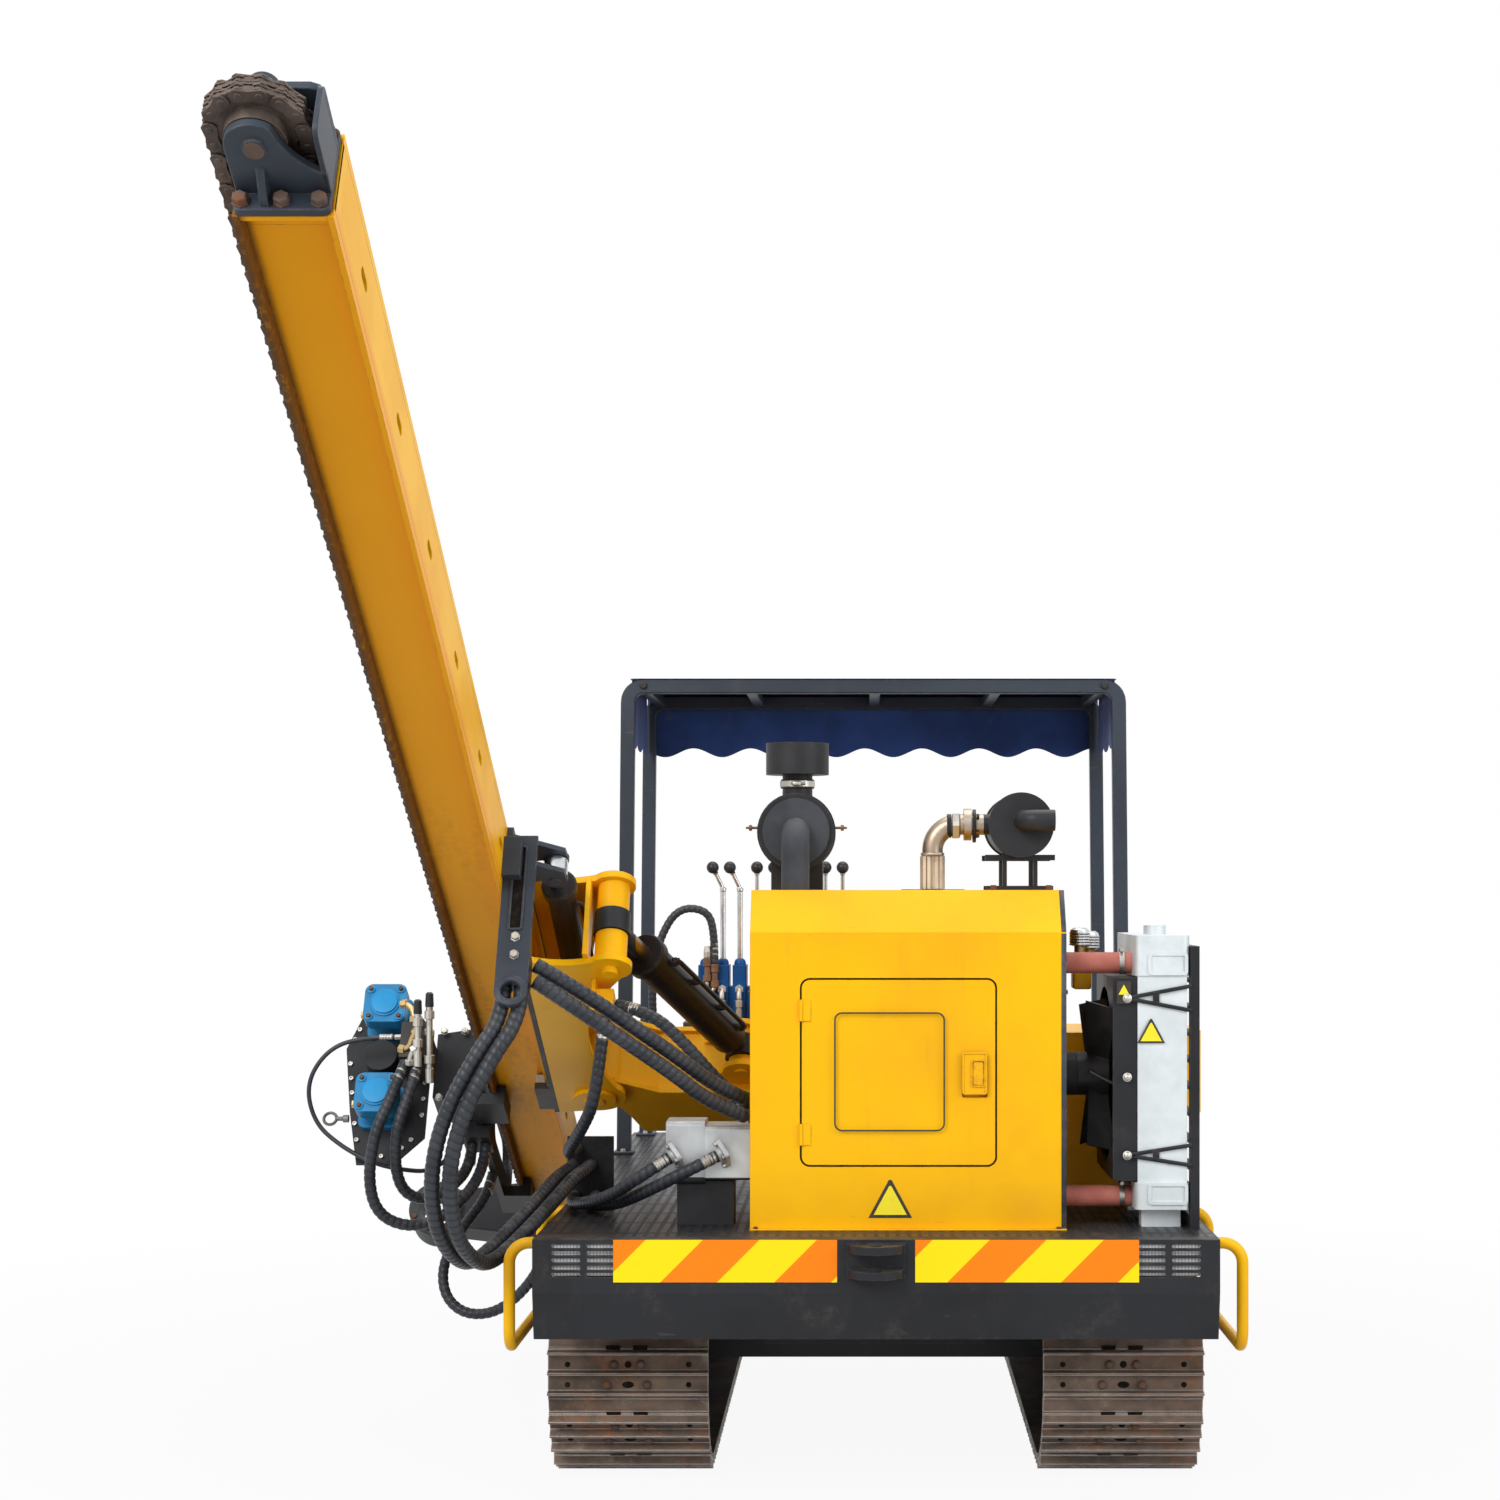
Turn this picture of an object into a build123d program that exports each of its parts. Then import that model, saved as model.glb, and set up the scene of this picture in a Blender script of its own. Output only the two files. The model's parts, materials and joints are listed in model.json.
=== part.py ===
from build123d import *
from math import cos, hypot, pi, radians, sin, tan
import os

# Crawler drilling rig, seen as it travels: the mast lies along the left side, leaning back.
# Millimetres. X is the machine's right, Y its front, Z up. The ground is at Z = 0 and the
# origin lies on it, midway between the tracks and between their ends.

# ---- driving dimensions: tracks ----
track_gauge = 1390          # between the middles of the two tracks
shoe_width = 450
shoe_pitch = 154
shoe_count = 33
wheel_pitches = 10          # shoes that would go once round a wheel
shoe_gap = 10               # between two shoes on a straight run
link_top = 38               # heights over the line of the chain's pins
plate_top = 50
grouser_top = 75
link_foot = -30             # the rail that the rollers run on
rail_width = 34
rail_space = 90             # between the two rails
grouser_places = (-60, -3, 54)
roller_radius = 68
roller_count = 5

# ---- driving dimensions: deck and what stands on it ----
deck_width = 1860
deck_top = 735
deck_plate = 10
deck_rear = -1390
deck_front = 1650
bumper_height = 275
bumper_plate = 12
cover_left = -350
cover_right = 530
cover_rear = -1250
cover_front = -680
cover_top = 1680
cover_slope_drop = 118      # the rear edge of the lid lies this much lower
cover_slope_depth = 95
cover_wall = 4
intake_radius = 40
intake_y = -1098
door_width = 548
door_height = 525
door_left = -211
door_bottom = 910
door_corner = 28
door_gap = 5
fan_radius = 235
fan_x = 640
engine_centre_y = -965
engine_centre_z = 1150
radiator_left = 731
radiator_right = 869
canopy_top = 2435
canopy_rear = 850
canopy_front = 1550
canopy_half_width = 925
canopy_post = 55

cleaner_x = -228
cleaner_z = 1847
cleaner_radius = 110
cleaner_rear = -1010

# ---- driving dimensions: boom, mast and power head ----
lean = radians(29.4)        # of the mast over the level as it travels
tilt_y = -200               # the axis that the boom, with all that it holds, tilts about
tilt_z = 1090
boom_half = 100             # half the boom's depth
kingpin_x = -870
kingpin_up = 140
kingpin_radius = 32
hub_radius = 82
swing_plate = 20
swing_plate_gap = 8
ear_x = -750
ear_up = 1000
ear_radius = 62
bracket_x = -414
bracket_up = 190
mast_inner = -1012          # the face towards the machine
mast_width = 188
mast_depth = 210
mast_bottom = -1357
mast_top = 3864
flange = 12
web = 10
web_recess = 35
slot_pitch = 438
slot_top = 3640
slot_size = (62, 26)
chain_pitch = 38.1
chain_half_height = 16.5
chain_half_width = 22.7
sprocket_teeth = 14
head_shaft_up = 4050
foot_shaft_up = -1460
spindle_x = -1550
power_head_up = -20
rod_bore = 30
clearance = 1               # of a wear block on its slideway
seat = 0.3                  # between round pieces that only touch

# ---- the mast's own directions ----
up_mast = Vector(0, -cos(lean), sin(lean))
under_mast = Vector(0, -sin(lean), -cos(lean))
tilt_centre = Vector(0, tilt_y, tilt_z)
sideways = Vector(1, 0, 0)


def flat_plane(depth=0):
    """Along the mast and across the machine: x to the right, y up the mast, out of its underside."""
    return Plane(origin=tilt_centre + under_mast * depth, x_dir=sideways, z_dir=under_mast)


def cross_plane(height=0):
    """Square to the mast: x to the right, y towards its upper side, out towards its head."""
    return Plane(origin=tilt_centre + up_mast * height, x_dir=sideways, z_dir=up_mast)


def side_plane(x=0):
    """Along the mast, upright: x up the mast, y out of its underside, out to the right."""
    return Plane(origin=tilt_centre + sideways * x, x_dir=up_mast, z_dir=sideways)


def rear_plane(y=0):
    """Square to the machine's length: x to the right, y up, out to the rear."""
    return Plane(origin=(0, y, 0), x_dir=(1, 0, 0), z_dir=(0, -1, 0))


# ---- tracks and undercarriage ----
wheel_pitch_radius = wheel_pitches * shoe_pitch / (2 * pi)
# the shoes that bend round the wheels dip this far under the flat run
shoe_dip = 2.3
axle_z = wheel_pitch_radius + grouser_top + shoe_dip
wheel_base = (shoe_count - wheel_pitches) * shoe_pitch / 2
half_base = wheel_base / 2
rail_radius = wheel_pitch_radius + link_foot
cheek = 14
frame_half = rail_space / 2 + rail_width + 6 + cheek
roller_shaft = 18
idler_shaft = 28


def loop_place(travel):
    """Place on the pin line, and the way out of the loop there, for a distance run along it."""
    bend = pi * wheel_pitch_radius
    if travel < wheel_base:
        return (-half_base + travel, axle_z - wheel_pitch_radius), -pi / 2
    travel -= wheel_base
    if travel < bend:
        turn = -pi / 2 + travel / wheel_pitch_radius
        return (half_base + wheel_pitch_radius * cos(turn), axle_z + wheel_pitch_radius * sin(turn)), turn
    travel -= bend
    if travel < wheel_base:
        return (half_base - travel, axle_z + wheel_pitch_radius), pi / 2
    turn = pi / 2 + (travel - wheel_base) / wheel_pitch_radius
    return (-half_base + wheel_pitch_radius * cos(turn), axle_z + wheel_pitch_radius * sin(turn)), turn


def shoe_outline():
    """One shoe in section, as (along the track, over the pin line), with its three grousers."""
    half = (shoe_pitch - shoe_gap) / 2
    points = [(-half, link_top + 3), (-half, plate_top)]
    for place in grouser_places:
        points += [(place - 7, plate_top), (place - 3, grouser_top)]
        points += [(place + 4, grouser_top), (place + 6, plate_top)]
    return points + [(half, plate_top), (half, link_top + 3)]


def track(middle_x):
    """A closed loop of shoes with grousers, on the two rails of its chain."""
    outline = []
    for number in range(shoe_count):
        (y, z), out = loop_place((number + 0.5) * shoe_pitch)
        for along, height in shoe_outline():
            outline.append((
                y + height * cos(out) - along * sin(out),
                z + height * sin(out) + along * cos(out),
            ))
    with BuildPart() as loop:
        with BuildSketch(Plane.YZ.offset(middle_x - shoe_width / 2)):
            with BuildLine():
                Polyline(outline, close=True)
            make_face()
            with Locations((0, axle_z)):
                SlotCenterToCenter(wheel_base, 2 * (wheel_pitch_radius + link_top), mode=Mode.SUBTRACT)
        extrude(amount=shoe_width)
        for side in (-1, 1):
            rail_middle = middle_x + side * (rail_space + rail_width) / 2
            with BuildSketch(Plane.YZ.offset(rail_middle - rail_width / 2)):
                with Locations((0, axle_z)):
                    SlotCenterToCenter(wheel_base, 2 * (wheel_pitch_radius + link_top + 2))
                    SlotCenterToCenter(wheel_base, 2 * rail_radius, mode=Mode.SUBTRACT)
            extrude(amount=rail_width)
    return loop


track_left = track(-track_gauge / 2)
track_right = track(track_gauge / 2)

sprocket_width = 56
pin_clearance = 22
drive_radius = 150
with BuildPart() as drive_sprockets:
    for side in (-1, 1):
        middle_x = side * track_gauge / 2
        with BuildSketch(Plane.YZ.offset(middle_x - sprocket_width / 2)):
            with Locations((-half_base, axle_z)):
                Circle(wheel_pitch_radius + 6)
                with PolarLocations(wheel_pitch_radius, wheel_pitches):
                    Circle(pin_clearance, mode=Mode.SUBTRACT)
        extrude(amount=sprocket_width)
        # the final drive's housing fills the wheel and reaches in towards the chassis
        with BuildSketch(Plane.YZ.offset(middle_x)):
            with Locations((-half_base, axle_z)):
                Circle(drive_radius)
        extrude(amount=-side * 190)
        with BuildSketch(Plane.YZ.offset(middle_x)):
            with Locations((-half_base, axle_z)):
                Circle(drive_radius - 20)
        extrude(amount=side * 110)

idler_radius = rail_radius - seat
with BuildPart() as idlers:
    for side in (-1, 1):
        middle_x = side * track_gauge / 2
        with BuildSketch(Plane.YZ.offset(middle_x)):
            with Locations((half_base, axle_z)):
                Circle(idler_radius)
                with PolarLocations(idler_radius * 0.6, 5):
                    Circle(34, mode=Mode.SUBTRACT)
        extrude(amount=rail_space / 2 + rail_width, both=True)
        with BuildSketch(Plane.YZ.offset(middle_x)):
            with Locations((half_base, axle_z)):
                Circle(idler_radius + 18)
                Circle(idler_radius - 40, mode=Mode.SUBTRACT)
        extrude(amount=rail_space / 2 - 4, both=True)
        with BuildSketch(Plane.YZ.offset(middle_x)):
            with Locations((half_base, axle_z)):
                Circle(idler_shaft)
        extrude(amount=frame_half, both=True)

frame_low = 215
frame_high = 425
frame_rear = -half_base + wheel_pitch_radius + 18
frame_front = half_base - idler_radius - 30
roller_z = axle_z - rail_radius + seat + roller_radius
carrier_radius = 50
carrier_z = axle_z + rail_radius - seat - carrier_radius
roller_run = frame_front - frame_rear - 2 * roller_radius
with BuildPart() as track_rollers:
    for side in (-1, 1):
        middle_x = side * track_gauge / 2
        for number in range(roller_count):
            y = frame_rear + roller_radius + roller_run * number / (roller_count - 1)
            with BuildSketch(Plane.YZ.offset(middle_x)):
                with Locations((y, roller_z)):
                    Circle(roller_radius)
            extrude(amount=rail_space / 2 + rail_width, both=True)
            with BuildSketch(Plane.YZ.offset(middle_x)):
                with Locations((y, roller_z)):
                    Circle(roller_shaft)
            extrude(amount=frame_half, both=True)
        with BuildSketch(Plane.YZ.offset(middle_x)):
            with Locations((0, carrier_z)):
                Circle(carrier_radius)
        extrude(amount=rail_space / 2 + rail_width, both=True)
        with BuildSketch(Plane.YZ.offset(middle_x)):
            with Locations((0, carrier_z)):
                Circle(roller_shaft)
        extrude(amount=frame_half, both=True)

centre_half = 330
centre_low = 330
main_frame_top = 560
beam_places = (-520, 480)
with BuildPart() as undercarriage_frame:
    # long side frames, cut out over each roller
    for side in (-1, 1):
        middle_x = side * track_gauge / 2
        with BuildSketch(Plane.YZ.offset(middle_x)):
            with BuildLine():
                Polyline(
                    (frame_rear, frame_low), (frame_front, frame_low),
                    (frame_front, frame_high - 70), (frame_front - 160, frame_high),
                    (frame_rear + 120, frame_high), (frame_rear, frame_high - 70),
                    close=True,
                )
            make_face()
            for number in range(roller_count):
                y = frame_rear + roller_radius + roller_run * number / (roller_count - 1)
                with Locations((y, roller_z)):
                    Circle(roller_radius + 8, mode=Mode.SUBTRACT)
        extrude(amount=frame_half, both=True)
        # cheeks that hold the shafts of the rollers below and of the one above
        for edge in (-1, 1):
            with BuildSketch(Plane.YZ.offset(middle_x + edge * (frame_half - cheek))):
                with Locations(((frame_rear + frame_front) / 2, (roller_z + frame_low) / 2)):
                    Rectangle(frame_front - frame_rear - 40, frame_low - roller_z + 60)
                with Locations((0, (frame_high + carrier_z) / 2)):
                    Rectangle(90, carrier_z - frame_high + 70)
                with Locations((0, carrier_z)):
                    Circle(roller_shaft + seat, mode=Mode.SUBTRACT)
                for number in range(roller_count):
                    y = frame_rear + roller_radius + roller_run * number / (roller_count - 1)
                    with Locations((y, roller_z)):
                        Circle(roller_shaft + seat, mode=Mode.SUBTRACT)
            extrude(amount=edge * cheek)
        # the plate that carries the final drive, inboard of the chain
        with BuildSketch(Plane.YZ.offset(middle_x - side * (frame_half - cheek))):
            with Locations(((frame_rear - half_base) / 2, axle_z)):
                Rectangle(frame_rear + half_base + 40, frame_high - frame_low - 70)
            with Locations((-half_base, axle_z)):
                Circle(drive_radius + 45)
                Circle(drive_radius + seat, mode=Mode.SUBTRACT)
        extrude(amount=-side * 20)
        # the idler's fork
        for edge in (-1, 1):
            with BuildSketch(Plane.YZ.offset(middle_x + edge * (frame_half - cheek))):
                with Locations(((frame_front + half_base) / 2, axle_z)):
                    Rectangle(half_base - frame_front + 120, 90)
                with Locations((half_base, axle_z)):
                    Circle(idler_shaft + seat, mode=Mode.SUBTRACT)
            extrude(amount=edge * cheek)
    for y in beam_places:
        with BuildSketch(Plane.XZ.offset(-y)):
            with Locations((0, (frame_low + frame_high) / 2 + 20)):
                Rectangle(track_gauge - 2 * frame_half + 4, 150)
        extrude(amount=80, both=True)
    # the middle box that carries the deck
    with BuildSketch(Plane.XY.offset(centre_low)):
        Rectangle(2 * centre_half, 1500)
    extrude(amount=main_frame_top - centre_low)

# ---- deck, bumper and what is on them ----
rail_depth = 120
bulkhead_y = -620
bulkhead_left = -930
bulkhead_right = -790
bulkhead_top = 935
bulkhead_plate = 12
with BuildPart() as deck:
    with BuildSketch(Plane.XY.offset(deck_top - deck_plate)):
        with Locations((0, (deck_rear + deck_front) / 2)):
            Rectangle(deck_width, deck_front - deck_rear)
    extrude(amount=deck_plate)
    # edge rails and the two main beams beneath the plate
    for x, depth, wide in (
        (-deck_width / 2 + 6, 70, 12), (deck_width / 2 - 6, 70, 12), (-280, 165, 90), (280, 165, 90),
    ):
        with BuildSketch(Plane.XY.offset(deck_top - deck_plate)):
            with Locations((x, (deck_rear + deck_front) / 2)):
                Rectangle(wide, deck_front - deck_rear - 2)
        extrude(amount=-depth)
    for y in (-1100, -520, 120, 700, 1300):
        with BuildSketch(Plane.XY.offset(deck_top - deck_plate)):
            with Locations((0, y)):
                Rectangle(deck_width - 20, 60)
        extrude(amount=-70)
    with BuildSketch(Plane.XY.offset(deck_top - deck_plate)):
        with Locations((0, deck_front - 6)):
            Rectangle(deck_width, 12)
    extrude(amount=-rail_depth)
    # upright plate near the left edge that hoses end in, with its foot bedded in the deck
    for height, long in ((bulkhead_top - deck_top, bulkhead_plate), (14, 80)):
        with BuildSketch(Plane.XZ.offset(-bulkhead_y)):
            with Locations(((bulkhead_left + bulkhead_right) / 2, deck_top + (height - 1) / 2)):
                Rectangle(bulkhead_right - bulkhead_left, height + 1)
        extrude(amount=-long)

bumper_low = deck_top - bumper_height
bumper_bend = 590
lamp_window = (188, 98)
lamp_x = deck_width / 2 - 138
lamp_z = 678
with BuildPart() as rear_bumper:
    with BuildSketch(Plane.YZ.offset(-deck_width / 2)):
        with BuildLine():
            Polyline(
                (deck_rear, deck_top), (deck_rear - 60, deck_top), (deck_rear - 60, bumper_bend),
                (deck_rear - 28, bumper_low), (deck_rear, bumper_low),
                (deck_rear, bumper_low + bumper_plate),
                (deck_rear - 20, bumper_low + bumper_plate),
                (deck_rear - 60 + bumper_plate, bumper_bend),
                (deck_rear - 60 + bumper_plate, deck_top - bumper_plate),
                (deck_rear, deck_top - bumper_plate),
                close=True,
            )
        make_face()
    extrude(amount=deck_width)
    # end plates
    for side in (-1, 1):
        with BuildSketch(Plane.YZ.offset(side * deck_width / 2)):
            with BuildLine():
                Polyline(
                    (deck_rear, deck_top), (deck_rear - 60, deck_top), (deck_rear - 60, bumper_bend),
                    (deck_rear - 28, bumper_low), (deck_rear, bumper_low),
                    close=True,
                )
            make_face()
        extrude(amount=-side * bumper_plate)
    # ribs that tie the bumper to the deck's two main beams
    for x in (-280, 280):
        with BuildSketch(Plane.YZ.offset(x - 6)):
            with BuildLine():
                Polyline(
                    (deck_rear, deck_top - 6), (deck_rear - 52, deck_top - 6),
                    (deck_rear - 52, bumper_bend), (deck_rear - 24, bumper_low + 6),
                    (deck_rear, bumper_low + 6),
                    close=True,
                )
            make_face()
        extrude(amount=12)
    # louvred windows for the lamps: two columns of five slots each
    for side in (-1, 1):
        with BuildSketch(rear_plane(deck_rear - 70)):
            with Locations((side * lamp_x, lamp_z)):
                with GridLocations(lamp_window[0] / 2, lamp_window[1] / 5, 2, 5):
                    SlotOverall(lamp_window[0] / 2 - 14, 12)
        extrude(amount=-30, mode=Mode.SUBTRACT)

with BuildPart() as rear_lamps:
    for side in (-1, 1):
        with BuildSketch(rear_plane(deck_rear - 60 + bumper_plate)):
            with Locations((side * lamp_x, lamp_z)):
                RectangleRounded(lamp_window[0] - 4, lamp_window[1] - 12, 10)
        extrude(amount=-26)

hazard_size = (605, 115)
hazard_x = 408
hazard_z = 677
with BuildPart() as hazard_plates:
    for side in (-1, 1):
        with BuildSketch(rear_plane(deck_rear - 60)):
            with Locations((side * hazard_x, hazard_z)):
                Rectangle(*hazard_size)
        extrude(amount=2)

lug_width = 150
lug_reach = 70
lug_plate = 22
lug_places = (712, 645)
tow_pin_radius = 16
with BuildPart() as tow_bracket:
    with BuildSketch(rear_plane(deck_rear - 60)):
        with Locations((0, (lug_places[0] + lug_places[1]) / 2)):
            Rectangle(lug_width + 10, lug_places[0] - lug_places[1] + lug_plate + 8)
    extrude(amount=8)
    for z in lug_places:
        with BuildSketch(Plane.XY.offset(z - lug_plate / 2)):
            with Locations((0, deck_rear - 66)):
                Ellipse(lug_width / 2, lug_reach)
                with Locations((0, lug_reach)):
                    Rectangle(lug_width + 4, 2 * lug_reach, mode=Mode.SUBTRACT)
                with Locations((0, -lug_reach * 0.5)):
                    Circle(tow_pin_radius, mode=Mode.SUBTRACT)
        extrude(amount=lug_plate)

guard_tube = 16
guard_out = 78
guard_rear = -1330
guard_front = -620
guard_low = 420
with BuildPart() as side_guards:
    for side in (-1, 1):
        edge = side * deck_width / 2
        out = side * (deck_width / 2 + guard_out)
        with BuildLine():
            FilletPolyline(
                (edge, guard_rear, deck_top - 25), (out, guard_rear, deck_top - 25),
                (out, guard_rear, guard_low), (out, guard_front, guard_low),
                (out, guard_front, deck_top - 25), (edge, guard_front, deck_top - 25),
                radius=55,
            )
        with BuildSketch(Plane(origin=(edge, guard_rear, deck_top - 25), z_dir=(side, 0, 0))):
            Circle(guard_tube)
        sweep()

# ---- engine, its cover and its door ----
cover_height = cover_top - deck_top
cover_break = cover_top - cover_slope_drop
strip = 34


def cover_profile(inset):
    """The cover from its side, as (front to back, up), drawn in by inset all round but below."""
    return [
        (cover_rear + inset, deck_top + inset), (cover_rear + inset, cover_break - inset * 0.6),
        (cover_rear + cover_slope_depth + inset * 0.4, cover_top - inset), (cover_front - inset, cover_top - inset),
        (cover_front - inset, deck_top + inset),
    ]


with BuildPart() as engine_cover:
    with BuildSketch(Plane.YZ.offset(cover_left)):
        with BuildLine():
            Polyline(cover_profile(0), close=True)
        make_face()
    extrude(amount=cover_right - cover_left)
    with BuildSketch(Plane.YZ.offset(cover_left + cover_wall)):
        with BuildLine():
            Polyline(cover_profile(cover_wall), close=True)
        make_face()
    extrude(amount=cover_right - cover_left - 2 * cover_wall, mode=Mode.SUBTRACT)
    # open towards the fan inside a plain strip, and open below inside a folded lip
    with BuildSketch(Plane.YZ.offset(cover_right)):
        with BuildLine():
            Polyline(cover_profile(strip), close=True)
        make_face()
    extrude(amount=-2 * cover_wall, mode=Mode.SUBTRACT)
    with BuildSketch(Plane.XY.offset(deck_top)):
        with Locations(((cover_left + cover_right) / 2, (cover_rear + cover_front) / 2)):
            Rectangle(cover_right - cover_left - 2 * strip, cover_front - cover_rear - 2 * strip)
    extrude(amount=2 * cover_wall, mode=Mode.SUBTRACT)
    # hole in the lid for the intake hose
    with BuildSketch(Plane.XY.offset(cover_top + 5)):
        with Locations((cleaner_x, intake_y)):
            Circle(intake_radius + 3)
    extrude(amount=-20, mode=Mode.SUBTRACT)
    # the doorway
    with BuildSketch(rear_plane(cover_rear - 10)):
        with Locations((door_left + door_width / 2, door_bottom + door_height / 2)):
            RectangleRounded(door_width, door_height, door_corner)
    extrude(amount=-30, mode=Mode.SUBTRACT)

hinge_radius = 5
hinge_x = door_left + door_gap / 2
hinge_y = cover_rear - hinge_radius - seat
hinge_length = 60
hinge_places = (door_bottom + 90, door_bottom + door_height - 90)
handle_size = (70, 118)
handle_x = door_left + door_width - 62
handle_z = door_bottom + 0.48 * door_height
with BuildPart() as engine_door:
    with BuildSketch(rear_plane(cover_rear)):
        with Locations((door_left + door_width / 2, door_bottom + door_height / 2)):
            RectangleRounded(door_width - 2 * door_gap, door_height - 2 * door_gap, door_corner - door_gap)
    extrude(amount=-cover_wall)
    with BuildSketch(rear_plane(cover_rear + cover_wall)):
        with Locations((handle_x, handle_z)):
            RectangleRounded(handle_size[0] + 8, handle_size[1] + 8, 8)
    extrude(amount=-24)
    with BuildSketch(rear_plane(cover_rear)):
        with Locations((handle_x, handle_z)):
            RectangleRounded(handle_size[0], handle_size[1], 5)
    extrude(amount=-24, mode=Mode.SUBTRACT)
    with BuildSketch(rear_plane(cover_rear + 24)):
        with Locations((handle_x, handle_z)):
            RectangleRounded(handle_size[0] - 30, handle_size[1] - 36, 5)
    extrude(amount=18)
    # its own knuckles of the two hinges
    for z in hinge_places:
        with BuildSketch(Plane.XY.offset(z - hinge_length / 2)):
            with Locations((hinge_x, hinge_y)):
                Circle(hinge_radius)
            with Locations((hinge_x + 14, cover_rear - 1.5)):
                Rectangle(28, 3)
        extrude(amount=hinge_length)

fan_hub = 62
fan_half = 60
core_rear = engine_centre_y - 255
core_front = engine_centre_y + 255
core_low = 863
core_high = 1440
tank_low = 787
tank_high = 1553
coolant_y = core_rear + 100
coolant_places = (1474, 815)
stub_radius = 24
with BuildPart() as engine_block:
    with BuildSketch(Plane.XY.offset(deck_top + 40)):
        with Locations((70, engine_centre_y)):
            Rectangle(640, 400)
    extrude(amount=280)
    with BuildSketch(Plane.XY.offset(deck_top + 320)):
        with Locations((70, engine_centre_y)):
            Rectangle(600, 380)
    extrude(amount=445)
    # mounting feet, down to the deck
    with BuildSketch(Plane.XY.offset(deck_top)):
        with Locations((70, engine_centre_y)):
            with GridLocations(520, 340, 2, 2):
                Rectangle(70, 60)
    extrude(amount=40)
    # the fan's hub carrier and its pulley
    with BuildSketch(Plane.YZ.offset(360)):
        with Locations((engine_centre_y, engine_centre_z)):
            Circle(fan_hub)
    extrude(amount=fan_x - fan_half - seat - 360)
    # water outlet and inlet for the radiator's hoses
    for z in coolant_places:
        with BuildSketch(Plane.YZ.offset(360)):
            with Locations((coolant_y, z)):
                Circle(stub_radius)
        extrude(amount=cover_right - 30 - 360)

with BuildPart() as fan:
    with BuildSketch(Plane.YZ.offset(fan_x - fan_half)):
        with Locations((engine_centre_y, engine_centre_z)):
            Circle(fan_hub)
    extrude(amount=fan_half + 30)
    for number in range(6):
        blade = Plane(
            origin=(fan_x, engine_centre_y, engine_centre_z),
            x_dir=(cos(radians(28)), -sin(radians(60 * number)) * sin(radians(28)),
                   cos(radians(60 * number)) * sin(radians(28))),
            z_dir=(0, cos(radians(60 * number)), sin(radians(60 * number))),
        )
        with BuildSketch(blade.offset(fan_hub - 12)):
            Rectangle(64, 5)
        with BuildSketch(blade.offset(fan_radius)):
            Rectangle(92, 4)
        loft()

with BuildPart() as radiator:
    with BuildSketch(Plane.XY.offset(core_low)):
        with Locations(((radiator_left + radiator_right) / 2, engine_centre_y)):
            Rectangle(radiator_right - radiator_left, core_front - core_rear)
    extrude(amount=core_high - core_low)
    # cast tanks above and below, a little wider than the core
    for low, high in ((tank_low, core_low), (core_high, tank_high)):
        with BuildSketch(Plane.XY.offset(low)):
            with Locations(((radiator_left + radiator_right) / 2, engine_centre_y)):
                RectangleRounded(radiator_right - radiator_left + 16, core_front - core_rear + 10, 20)
        extrude(amount=high - low)
    with BuildSketch(Plane.XY.offset(tank_high)):
        with Locations(((radiator_left + radiator_right) / 2, engine_centre_y - 60)):
            Circle(32)
    extrude(amount=26)
    # stubs that the hoses push on to
    for z in coolant_places:
        with BuildSketch(Plane.YZ.offset(radiator_left)):
            with Locations((coolant_y, z)):
                Circle(stub_radius)
        extrude(amount=-42)
    # feet on the deck
    with BuildSketch(Plane.XY.offset(deck_top)):
        with Locations(((radiator_left + radiator_right) / 2, engine_centre_y)):
            with GridLocations(0, 380, 1, 2):
                Rectangle(110, 60)
    extrude(amount=tank_low - deck_top)

shroud_left = 662
frame_thickness = 26
with BuildPart() as radiator_shroud:
    # a shallow box round the fan's opening
    with BuildSketch(Plane.YZ.offset(shroud_left)):
        with Locations((engine_centre_y, (core_low + core_high) / 2)):
            Rectangle(core_front - core_rear - 8, core_high - core_low - 8)
        with Locations((engine_centre_y, engine_centre_z)):
            Circle(fan_radius + 16, mode=Mode.SUBTRACT)
    extrude(amount=10)
    with BuildSketch(Plane.YZ.offset(shroud_left)):
        with Locations((engine_centre_y, (core_low + core_high) / 2)):
            Rectangle(core_front - core_rear - 8, core_high - core_low - 8)
            Rectangle(core_front - core_rear - 20, core_high - core_low - 20, mode=Mode.SUBTRACT)
    extrude(amount=radiator_left - shroud_left - 0.5)
    # the guard frame on the outer side, with its bars
    with BuildSketch(Plane.YZ.offset(radiator_right + 8.5)):
        with Locations((engine_centre_y, (deck_top + tank_high - 30) / 2)):
            Rectangle(core_front - core_rear + 10, tank_high - 30 - deck_top)
            Rectangle(core_front - core_rear - 60, tank_high - 100 - deck_top, mode=Mode.SUBTRACT)
        for number in range(9):
            with Locations((engine_centre_y, deck_top + 90 + number * 75)):
                Rectangle(core_front - core_rear - 50, 10)
    extrude(amount=frame_thickness)

hose_radius = 30
with BuildPart() as coolant_hoses:
    # short moulded hoses, pushed over the stubs at both ends
    for z in coolant_places:
        with BuildSketch(Plane.YZ.offset(cover_right - 66)):
            with Locations((coolant_y, z)):
                Circle(hose_radius)
                Circle(stub_radius + seat, mode=Mode.SUBTRACT)
        extrude(amount=radiator_left - 9 - cover_right + 66)

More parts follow.
